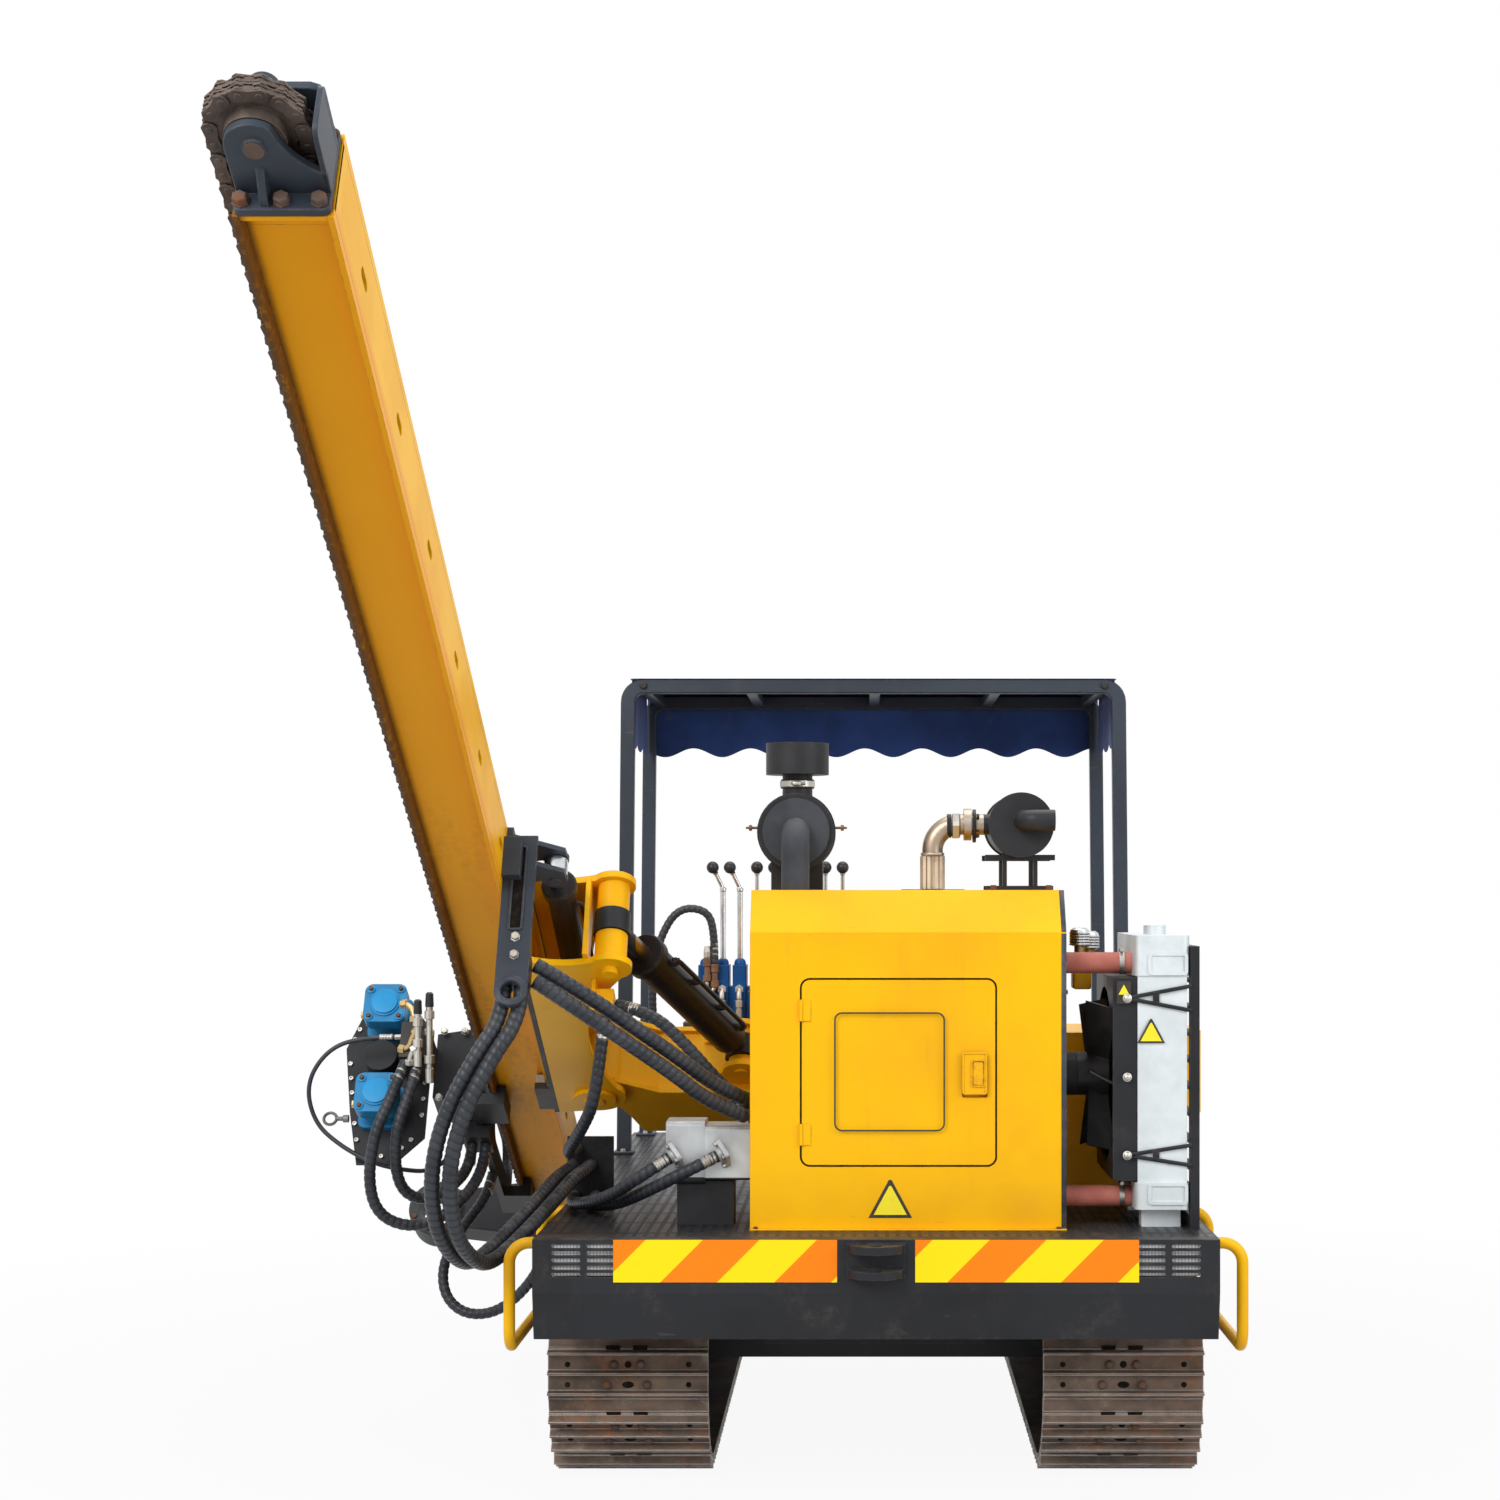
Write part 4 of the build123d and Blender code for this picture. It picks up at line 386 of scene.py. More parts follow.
class Finish(Nodes):
    """A material in the making, with the nodes that feed its shader."""

    def __init__(self, name, **settings):
        self.material = bpy.data.materials.new(name)
        self.material.use_nodes = True
        super().__init__(self.material.node_tree)
        self.shader = self.tree.nodes["Principled BSDF"]
        for socket, value in settings.items():
            self.feed(self.shader.inputs[socket.replace("_", " ").title().replace("Ior", "IOR")], value)
        finishes[name] = self.material

    def point(self):
        """The place on the object."""
        if "point" not in self.kept:
            self.kept["point"] = self.node("ShaderNodeTexCoord", out="Object")
        return self.kept["point"]

    def along(self, way, start=(0, 0, 0)):
        """How far the place lies in that direction from the start."""
        offset = sum(a * b for a, b in zip(way, start))
        return self.node(
            "ShaderNodeVectorMath", {"operation": "DOT_PRODUCT"}, {0: self.point(), 1: tuple(way)}, "Value"
        ) - offset

    def stretched(self, scale):
        return self.node(
            "ShaderNodeVectorMath", {"operation": "MULTIPLY"}, {0: self.point(), 1: tuple(scale)}
        )

    def noise(self, scale, detail=4, rough=0.55, stretch=None):
        place = self.stretched(stretch) if stretch else self.point()
        return self.node(
            "ShaderNodeTexNoise", {}, {"Vector": place, "Scale": scale, "Detail": detail, "Roughness": rough}
        )

    def cells(self, scale):
        return self.node("ShaderNodeTexVoronoi", {}, {"Vector": self.point(), "Scale": scale}, "Distance")

    def lines(self, scale, stretch):
        """Fine marks drawn out one way, as brushing or casting leaves them."""
        return self.noise(scale, 3, 0.6, stretch)

    def mix(self, factor, first, second):
        new = self.tree.nodes.new("ShaderNodeMix")
        new.data_type = "RGBA"
        for key, value in ((0, factor), (6, first), (7, second)):
            self.feed(new.inputs[key], value)
        return Field(self, new.outputs[2])

    def mottled(self, noise, first, second, low=0.3, high=0.7):
        """Two colours in soft patches, and the noise that parts them."""
        tone = self.noise(*noise)
        return tone, self.mix(tone.fade(low, high), first, second)

    def grain(self, noise, strength, distance=0.001):
        """The normal with eased edges and a fine grain."""
        return self.bump(self.noise(*noise), strength, distance, self.soft_edge())

    def soft_edge(self, radius=0.003):
        """The normal with edges eased by a radius."""
        key = ("soft", radius)
        if key not in self.kept:
            self.kept[key] = self.node("ShaderNodeBevel", {"samples": 4}, {"Radius": radius})
        return self.kept[key]

    def edges(self, radius=0.006):
        """1 near an outer or inner edge, 0 on the flat."""
        flat = self.node("ShaderNodeNewGeometry", out="Normal")
        same = self.node(
            "ShaderNodeVectorMath", {"operation": "DOT_PRODUCT"}, {0: self.soft_edge(radius), 1: flat},
            "Value"
        )
        return (1 - same) * 3.0

    def facing_up(self):
        normal = self.node("ShaderNodeNewGeometry", out="Normal")
        return self.node("ShaderNodeSeparateXYZ", {}, {0: normal}, "Z")

    def height(self):
        return self.along((0, 0, 1))

    def bump(self, height, strength, distance=0.001, normal=None):
        sockets = {"Height": height, "Strength": strength, "Distance": distance}
        if normal is not None:
            sockets["Normal"] = normal
        return self.node("ShaderNodeBump", {}, sockets)

    def done(self, **sockets):
        for name, value in sockets.items():
            self.feed(self.shader.inputs[name.replace("_", " ").title()], value)
        return self.material


dry_dust, yellow_shade = (0.33, 0.28, 0.21), (0.90, 0.44, 0.004)


def paint(name, colour, shade, wear, gloss=0.34, dust=0.25, chips=0.5, rough=0.0, ease=0.003):
    """Sprayed paint: a little uneven, dusty where it faces up, chipped along edges, with dirt low down."""
    f = Finish(name, specular_ior_level=0.2, coat_weight=0.03, coat_roughness=0.15)
    tone, base = f.mottled((2.2, 5), colour, shade, 0.35, 0.7)
    fine = f.noise(38, 5, 0.7)
    low = 1 - f.height().fade(0.3, 1.3)
    film = (f.noise(7, 6, 0.65).fade(0.5, 0.8) * (0.25 + low * 0.75) * fine.fade(0.3, 0.75)) * dust
    settled = f.facing_up().fade(0.55, 0.95) * f.noise(12, 6, 0.7).fade(0.3, 0.75) * dust
    dirty = (film + settled).at_most(0.85)
    base = f.mix(dirty, base, dry_dust)
    streaks = f.noise(26, 4, 0.6, (1, 1, 0.12)).fade(0.58, 0.8) * (dust * 0.55)
    base = f.mix(streaks, base, (0.10, 0.075, 0.05))
    chipped = (f.edges(ease * 2) * fine.fade(0.42, 0.66) * chips).at_most(1.0)
    base = f.mix(chipped, base, wear)
    scratches = f.noise(60, 2, 0.5, (0.15, 1, 1)).fade(0.72, 0.78) * (chips * 0.35)
    base = f.mix(scratches, base, wear)
    surface = f.noise(160, 2) * 0.5 + f.noise(22, 4) * (0.5 + rough)
    return f.done(
        base_color=base, roughness=(gloss + dirty * 0.4 + chipped * 0.3 + tone * 0.1).at_most(0.95),
        normal=f.bump(surface - chipped * 0.6, 0.12 + rough * 0.4, 0.0012, f.soft_edge(ease)),
    )


def metal(
    name, colour, shade, rust, gloss=0.35, metallic=1.0, rusted=0.2, grain=(1, 1, 1), rough=0.2, ease=0.002
):
    """Bare or plated metal with a grain, stains and a little rust."""
    f = Finish(name)
    tone = f.noise(9, 5)
    fine = f.lines(90, grain)
    base = f.mix(tone.fade(0.3, 0.72), colour, shade)
    spots = (f.noise(24, 6, 0.7).fade(0.6 - rusted * 0.25, 0.82 - rusted * 0.2)).at_most(1.0)
    base = f.mix(spots * min(1.0, rusted * 1.6), base, rust)
    return f.done(
        base_color=base, metallic=metallic - spots * min(metallic, rusted * 1.5),
        roughness=(gloss + fine * 0.18 + spots * 0.3 + tone * 0.08).at_most(0.95),
        normal=f.bump(fine * 0.5 + spots * 0.6 + f.noise(45, 4), rough, 0.0012, f.soft_edge(ease)),
    )


def make_yellow(colour):
    paint("yellow_paint", colour, yellow_shade, (0.13, 0.075, 0.05), gloss=0.3, dust=0.16, chips=0.45)


def make_mast(yellow):
    """The mast's paint: painted shade on its underside, greased and rusty along the chain, scraped at its
    edges.
    """
    f = Finish("mast_yellow", specular_ior_level=0.12)
    tone, fine = f.noise(3.2, 5, 0.6), f.noise(38, 6, 0.7)
    depth, x, run = f.along(under_mast, tilt_centre), f.along(right), f.along(up_mast, tilt_centre)
    base = f.mix(tone.fade(0.3, 0.7), yellow, (0.90, 0.44, 0.002))
    # painted shade: the part towards the underside is turned a deeper orange
    base = f.mix(depth.fade(0.055, 0.068) * 0.85, base, (0.93, 0.385, 0.002))
    streak = f.noise(2.2, 6, 0.7, (6, 1, 1)).fade(0.46, 0.66)
    base = f.mix(streak * fine.fade(0.3, 0.7) * (1 - run.fade(0.2, 3.0)) * 0.5, base, (0.36, 0.15, 0.012))
    lip = (1 - x.fade(-1.192, -1.168)) * depth.fade(0.045, 0.068)
    base = f.mix((lip * (fine.fade(0.2, 0.5) * 0.4 + 0.6)).at_most(1.0) * 0.92, base, (0.075, 0.034, 0.018))
    # two scored lines along the inner side, darkened as painted shade in their grooves, each from its
    # distance squared
    for offset in (-0.083, 0.083):
        edge = depth + offset
        groove = (edge * edge).under(0.0000012) * x.over(-1.0135)
        base = f.mix(groove * 0.8, base, (0.20, 0.10, 0.02))
    chips = (f.edges(0.004) * f.noise(16, 6, 0.75).fade(0.50, 0.62)).at_most(1.0)
    base = f.mix(chips * 0.8, base, (0.14, 0.065, 0.035))
    f.done(
        base_color=base, roughness=0.34 + tone * 0.12 + lip * 0.3,
        normal=f.bump(tone + fine * 0.08, 0.12, 0.002, f.soft_edge()),
    )


def make_blacks(black, slate):
    paint("black_paint", black, [c * 0.6 for c in black], (0.13, 0.11, 0.10), gloss=0.42, dust=0.2, chips=0.7)
    paint(
        "slate_paint", slate, [c * 0.7 for c in slate], (0.22, 0.18, 0.15), gloss=0.38, dust=0.25, chips=0.7
    )
    paint(
        "cylinder_black", (0.03, 0.024, 0.022), (0.012, 0.011, 0.012), (0.16, 0.10, 0.07), gloss=0.34,
        dust=0.2, chips=0.8
    )
    paint(
        "engine_iron", (0.05, 0.055, 0.06), (0.03, 0.033, 0.037), (0.12, 0.09, 0.07), gloss=0.5, dust=0.4,
        rough=0.6
    )


def make_blues(valve, motor):
    paint(
        "valve_blue", valve, [c * 0.6 for c in valve], (0.10, 0.09, 0.08), gloss=0.3, dust=0.2, rough=0.8,
        chips=0.6
    )
    paint(
        "motor_blue", motor, [c * 0.7 for c in motor], (0.07, 0.06, 0.055), gloss=0.34, dust=0.22, rough=1.2,
        chips=0.6
    )


def make_deck(black):
    """The deck's plate: rows of raised bars on top, worn bright, with dust between them."""
    f = Finish("tread_plate", specular_ior_level=0.12)
    x, y, z = f.along(right), f.along(front), f.height()
    bar = (x / 0.030).wrap() - 0.5
    bar = (0.25 - bar * bar).fade(0.12, 0.2)
    run = (y / 0.22).wrap()
    broken = run.fade(0.04, 0.07) * (1 - run.fade(0.93, 0.96))
    top = z.fade(0.7345, 0.7352) * f.facing_up().fade(0.8, 0.95)
    raised = bar * broken * top
    fine = f.noise(30, 6, 0.7)
    dust = f.noise(5, 6, 0.7).fade(0.42, 0.75) * fine.fade(0.25, 0.8) * (top * 0.5 + 0.12)
    base = f.mix(fine.fade(0.3, 0.7), black, [c * 0.6 for c in black])
    base = f.mix(raised * fine.fade(0.35, 0.6) * 0.25, base, (0.12, 0.12, 0.125))
    base = f.mix(dust * (1 - raised * 0.8), base, (0.26, 0.22, 0.17))
    f.done(
        base_color=base, roughness=0.42 + dust * 0.5 - raised * 0.12,
        normal=f.bump(raised, 0.5, 0.002, f.bump(fine, 0.15, 0.001, f.soft_edge())),
    )


def make_track_steel():
    """Shoes worn bright on their grousers, rusty on the plate, with dried mud in the corners."""
    f = Finish("track_steel", specular_ior_level=0.25)
    tone, fine = f.noise(5, 6, 0.65), f.noise(34, 6, 0.7)
    base = f.mix(tone.fade(0.35, 0.65), (0.20, 0.145, 0.112), (0.095, 0.070, 0.055))
    rust = f.noise(9, 6, 0.75).fade(0.47, 0.66) * fine.fade(0.3, 0.7)
    base = f.mix(rust * 0.8, base, (0.32, 0.135, 0.055))
    mud = f.noise(6.5, 6, 0.7).fade(0.54, 0.7) * f.noise(80, 4, 0.7).fade(0.3, 0.6)
    base = f.mix(mud * 0.75, base, (0.34, 0.275, 0.205))
    worn = (f.edges(0.006) * f.noise(18, 5).fade(0.2, 0.5)).at_most(1.0)
    base = f.mix(worn * 0.95, base, (0.62, 0.59, 0.56))
    f.done(
        base_color=base, metallic=worn * 0.7 + 0.12 - mud * 0.1, roughness=0.68 + mud * 0.2 - worn * 0.3,
        normal=f.bump(fine + mud * 0.8 + f.noise(140, 3) * 0.3, 0.55, 0.002, f.soft_edge(0.003)),
    )


def make_chain_steel():
    f = Finish("chain_steel", specular_ior_level=0.3)
    tone, fine = f.noise(14, 5, 0.6), f.noise(150, 4, 0.6)
    base = f.mix(tone.fade(0.35, 0.68), (0.125, 0.092, 0.076), (0.060, 0.046, 0.040))
    # lighter edges: partly real wear, partly a painted highlight
    base = f.mix(f.edges(0.0016) * 0.6, base, (0.34, 0.30, 0.27))
    base = f.mix(f.noise(40, 5, 0.7).fade(0.52, 0.72) * 0.7, base, (0.17, 0.085, 0.045))
    f.done(
        base_color=base, metallic=0.35, roughness=0.42 + tone * 0.3,
        normal=f.bump(fine, 0.35, 0.0008, f.soft_edge(0.001)),
    )


def make_rubbers():
    """Spiral wrapped hose, moulded hose and the red water hose."""
    f = Finish("hose_rubber", specular_ior_level=0.3)
    groove = f.node("ShaderNodeAttribute", {"attribute_name": "groove"}, out="Fac")
    tone, base = f.mottled((11, 5), (0.022, 0.026, 0.034), (0.045, 0.050, 0.060))
    # painted shade: the sunk groove between the wrap's turns is darkened
    base = f.mix(groove * 0.8, base, (0.010, 0.010, 0.011))
    dust = f.facing_up().fade(0.2, 0.9) * f.noise(20, 5, 0.7).fade(0.45, 0.75)
    base = f.mix(dust * 0.35, base, (0.26, 0.23, 0.19))
    f.done(
        base_color=base, roughness=0.36 + dust * 0.35 + groove * 0.25,
        normal=f.bump(f.noise(220, 2), 0.12, 0.0006)
    )
    f = Finish("moulded_rubber", specular_ior_level=0.25)
    tone, base = f.mottled((14, 5), (0.055, 0.062, 0.075), (0.035, 0.038, 0.045))
    base = f.mix(f.facing_up().fade(0.3, 0.95) * 0.3, base, (0.25, 0.23, 0.20))
    f.done(base_color=base, roughness=0.55 + tone * 0.2, normal=f.grain((180, 3), 0.2, 0.0008))
    f = Finish("red_rubber")
    weave = f.lines(120, (0.1, 1, 1))
    tone, base = f.mottled((13, 5), (0.42, 0.115, 0.085), (0.52, 0.17, 0.13))
    base = f.mix(f.noise(30, 5).fade(0.6, 0.8) * 0.4, base, (0.20, 0.10, 0.08))
    f.done(base_color=base, roughness=0.6 + tone * 0.15, normal=f.bump(weave, 0.3, 0.0008))


def make_metals():
    metal(
        "chrome", (0.74, 0.75, 0.77), (0.55, 0.56, 0.58), (0.22, 0.15, 0.10), gloss=0.12, rusted=0.08,
        rough=0.05
    )
    metal(
        "pump_alloy", (0.60, 0.62, 0.63), (0.42, 0.43, 0.44), (0.16, 0.13, 0.10), gloss=0.42, metallic=0.75,
        rusted=0.18, rough=0.35
    )
    metal(
        "radiator_alloy", (0.72, 0.77, 0.79), (0.60, 0.65, 0.67), (0.30, 0.27, 0.22), gloss=0.42,
        metallic=0.45, rusted=0.1, grain=(1, 1, 0.05), rough=0.12
    )
    metal(
        "grey_iron", (0.26, 0.26, 0.26), (0.14, 0.135, 0.13), (0.16, 0.085, 0.045), gloss=0.42, metallic=0.8,
        rusted=0.4, rough=0.4
    )
    metal(
        "zinc", (0.58, 0.56, 0.52), (0.36, 0.34, 0.31), (0.20, 0.12, 0.06), gloss=0.32, rusted=0.3,
        rough=0.15, ease=0.001
    )
    metal(
        "brass", (0.62, 0.45, 0.22), (0.40, 0.28, 0.13), (0.14, 0.10, 0.06), gloss=0.3, rusted=0.25,
        rough=0.12, ease=0.001
    )
    metal(
        "rusty_bolt", (0.15, 0.10, 0.08), (0.08, 0.058, 0.048), (0.17, 0.065, 0.028), gloss=0.55,
        metallic=0.5, rusted=0.7, rough=0.5, ease=0.001
    )
    metal(
        "flex_steel", (0.62, 0.53, 0.42), (0.42, 0.33, 0.24), (0.36, 0.19, 0.08), gloss=0.3, metallic=0.9,
        rusted=0.35, rough=0.2
    )
    metal(
        "brown_fitting", (0.24, 0.13, 0.08), (0.12, 0.07, 0.05), (0.30, 0.12, 0.05), gloss=0.4, metallic=0.6,
        rusted=0.4, rough=0.3
    )


def make_plastics():
    f = Finish("wear_plastic")
    tone, base = f.mottled((16, 6, 0.65), (0.60, 0.57, 0.50), (0.42, 0.38, 0.31), 0.35, 0.7)
    base = f.mix(f.noise(9, 5).fade(0.55, 0.75) * 0.6, base, (0.16, 0.13, 0.10))
    f.done(base_color=base, roughness=0.5 + tone * 0.2, normal=f.grain((90, 3), 0.2))
    f = Finish("black_plastic", specular_ior_level=0.3, coat_weight=0.05)
    tone, base = f.mottled((18, 4), (0.02, 0.02, 0.022), (0.035, 0.035, 0.037), 0.35, 0.7)
    base = f.mix(
        f.facing_up().fade(0.4, 0.95) * f.noise(30, 5).fade(0.4, 0.7) * 0.25, base, (0.25, 0.22, 0.18)
    )
    f.done(base_color=base, roughness=0.38 + tone * 0.2, normal=f.grain((150, 2), 0.12, 0.0008))
    f = Finish("lamp", ior=1.5)
    ridge = (f.along(right) / 0.009).wrap() - 0.5
    cell = (f.height() / 0.012).wrap() - 0.5
    tone = (ridge * ridge + cell * cell).fade(0.02, 0.3)
    base = f.mix(tone, (0.78, 0.79, 0.80), (0.36, 0.37, 0.39))
    f.done(base_color=base, roughness=0.16 + tone * 0.1, normal=f.bump(tone, 0.4, 0.002, f.soft_edge()))
    for name, scale, high, first, second, rough, specular in (
        ("line_black", 60, 0.75, (0.02, 0.018, 0.014), (0.055, 0.04, 0.02), 0.45, 0.5),
        # the next finish is a dark sheet that stands for the shade inside holes and recesses: painted shade
        ("hole_dark", 50, 0.75, (0.008, 0.007, 0.006), (0.03, 0.022, 0.016), 0.85, 0.1),
        ("sign_yellow", 25, 0.8, (0.95, 0.80, 0.02), (0.88, 0.70, 0.02), 0.35, 0.5),
    ):
        f = Finish(name, specular_ior_level=specular)
        tone, base = f.mottled((scale, 4), first, second, 0.4, high)
        f.done(base_color=base, roughness=rough + tone * 0.1)


def make_stripes():
    """Slanted yellow and orange bands on a reflective sheet, finely beaded, scuffed in places."""
    f = Finish("hazard", specular_ior_level=0.2, coat_weight=0.05)
    x = f.along(right)
    across = (x - f.height() + x.over(0) * 0.1485 + 0.1241) / 0.308
    band = across.wrap()
    band = band.fade(0.492, 0.502) * (1 - band.fade(0.990, 1.0))
    scuff = f.noise(14, 6, 0.7).fade(0.6, 0.8)
    base = f.mix(band, (1.0, 0.76, 0.004), (0.98, 0.235, 0.003))
    base = f.mix(scuff * 0.25, base, (0.28, 0.18, 0.06))
    bead = f.cells(420)
    f.done(base_color=base, roughness=0.3 + scuff * 0.3, normal=f.bump(bead, 0.12, 0.0004))


def make_cloth(colour):
    """Coarse woven sheeting, a little faded along the folds."""
    f = Finish("blue_cloth", sheen_weight=0.2)
    warp = (f.along(right) * 2100).wave()
    weft = (f.along(front) * 2100 + f.height() * 2100).wave()
    tone, base = f.mottled((4, 5, 0.6), colour, [c * 0.55 for c in colour], 0.3, 0.75)
    base = f.mix(f.noise(11, 5).fade(0.58, 0.8) * 0.3, base, (0.12, 0.17, 0.36))
    f.done(
        base_color=base, roughness=0.72 + tone * 0.15,
        normal=f.bump(warp * 0.5 + weft * 0.5 + tone, 0.25, 0.0008)
    )


class RigColours(bpy.types.PropertyGroup):
    yellow: bpy.props.FloatVectorProperty(
        name="Yellow", description="Paint of the cover, boom and mast", subtype="COLOR",
        default=(1.0, 0.535, 0.001)
    )
    black: bpy.props.FloatVectorProperty(
        name="Black", description="Paint of the deck and bumper", subtype="COLOR",
        default=(0.022, 0.023, 0.027)
    )
    slate: bpy.props.FloatVectorProperty(
        name="Slate", description="Paint of the canopy, hanger and mast head", subtype="COLOR",
        default=(0.044, 0.056, 0.076),
    )
    valve: bpy.props.FloatVectorProperty(
        name="Valve blue", description="Paint of the valve bank", subtype="COLOR",
        default=(0.004, 0.095, 0.36)
    )
    motor: bpy.props.FloatVectorProperty(
        name="Motor blue", description="Paint of the two motors", subtype="COLOR", default=(0.020, 0.33, 0.70)
    )
    cloth: bpy.props.FloatVectorProperty(
        name="Cloth blue", description="The canopy's cloth", subtype="COLOR", default=(0.026, 0.082, 0.330)
    )


# pieces whose finish is not their slot's
mixed = {
    "deck": "tread_plate", "air_cleaner": "cleaner", "muffler": "silencer", "control_levers": "lever",
    "drive_motors": "motor", "slide_frame": "claw_frame", "mast_beam": "mast_yellow", "swing_rod": "ram",
    "hydraulic_pumps": "pumps", "carriage": "black_paint", "mast_foot": "yellow_paint",
}


class RigFinishes(bpy.types.Operator):
    """Makes the materials and paints the pieces that come with the frame"""

    bl_idname = "rig.finishes"
    bl_label = "Finishes"

    def execute(self, context):
        colours = context.scene.rig_colours
        make_yellow(colours.yellow[:])
        make_mast(colours.yellow[:])
        make_blacks(colours.black[:], colours.slate[:])
        make_blues(colours.valve[:], colours.motor[:])
        make_deck(colours.black[:])
        make_track_steel()
        make_chain_steel()
        make_rubbers()
        make_metals()
        make_plastics()
        make_stripes()
        make_cloth(colours.cloth[:])
        make_mixed()
        slots = {row["node"]: row["material_slot"] for row in frame["record"]["subparts"]}
        for name, piece in frame["nodes"].items():
            piece.data.materials.clear()
            piece.data.materials.append(finishes[mixed.get(name, slots[name])])
        return {"FINISHED"}


def two_finishes(name, mask_of, first, second):
    """One material of two finishes, parted by a mask over the object."""
    f = Finish(name, specular_ior_level=0.25)
    mask = mask_of(f)
    tone, fine = f.noise(7, 5), f.noise(40, 5, 0.7)
    chips = (f.edges() * fine.fade(0.42, 0.66) * 0.5).at_most(1.0)
    dust = f.facing_up().fade(0.5, 0.95) * f.noise(14, 6, 0.7).fade(0.35, 0.75) * 0.25
    parts = []
    for colour, shade, worn, *rest in (first, second):
        parts.append((f.mix(chips, f.mix(tone.fade(0.3, 0.7), colour, shade), worn), *rest))
    (base, rough, metallic), (masked, masked_rough, masked_metallic) = parts
    f.done(
        base_color=f.mix(dust, f.mix(mask, base, masked), dry_dust),
        metallic=mask * (masked_metallic - metallic) + metallic,
        roughness=mask * (masked_rough - rough) + rough + tone * 0.12 + dust * 0.4,
        normal=f.bump(f.noise(120, 3) + fine * 0.5, 0.2, 0.001, f.soft_edge()),
    )


def make_mixed():
    """Finishes of pieces that are of two stuffs: a painted drum with a bare pipe, a rod with its knob."""
    # each is its colour, its shade, its worn colour, its roughness and how metallic it is
    black = ((0.028, 0.029, 0.033), (0.016, 0.017, 0.02), (0.14, 0.11, 0.09), 0.4, 0.0)
    steel = ((0.50, 0.44, 0.37), (0.34, 0.25, 0.17), (0.30, 0.15, 0.07), 0.3, 0.9)
    rubber = ((0.060, 0.066, 0.078), (0.036, 0.040, 0.048), (0.09, 0.09, 0.09), 0.55, 0.0)
    chrome = ((0.74, 0.75, 0.77), (0.55, 0.56, 0.58), (0.4, 0.38, 0.35), 0.14, 1.0)
    knob = ((0.018, 0.018, 0.020), (0.03, 0.03, 0.032), (0.06, 0.06, 0.06), 0.22, 0.0)
    yellow = ((0.94, 0.50, 0.004), (0.86, 0.41, 0.004), (0.13, 0.075, 0.05), 0.32, 0.0)
    iron = ((0.07, 0.065, 0.06), (0.04, 0.037, 0.035), (0.2, 0.15, 0.11), 0.45, 0.4)
    blue = ((0.020, 0.24, 0.50), (0.014, 0.17, 0.36), (0.07, 0.06, 0.055), 0.34, 0.0)
    alloy = ((0.60, 0.62, 0.63), (0.42, 0.43, 0.44), (0.16, 0.13, 0.10), 0.42, 0.7)
    worn_steel = ((0.46, 0.36, 0.24), (0.30, 0.21, 0.13), (0.2, 0.12, 0.07), 0.26, 1.0)

    def depth(f):
        return f.along(under_mast, tilt_centre)

    def claw(f):
        """The slide frame's claws and side pads, which are bare."""
        outside = f.along(right).under(-1.0072) + depth(f).over(0.112) + depth(f).under(-0.112)
        return outside.at_most(1.0) * f.along(right).under(-0.9905)

    two_finishes("silencer", lambda f: f.along(right).under(0.312) * f.height().over(1.66), black, steel)
    two_finishes("cleaner", lambda f: f.along(front).under(-1.012), black, rubber)
    two_finishes("lever", lambda f: f.height().over(1.7355), chrome, knob)
    two_finishes("pumps", lambda f: f.height().under(0.872), alloy, black)
    two_finishes("ram", lambda f: f.along(right).under(-0.690), worn_steel, black)
    two_finishes("motor", lambda f: depth(f).over(-0.061) * depth(f).under(0.061), blue, iron)
    two_finishes("claw_frame", claw, yellow, iron)


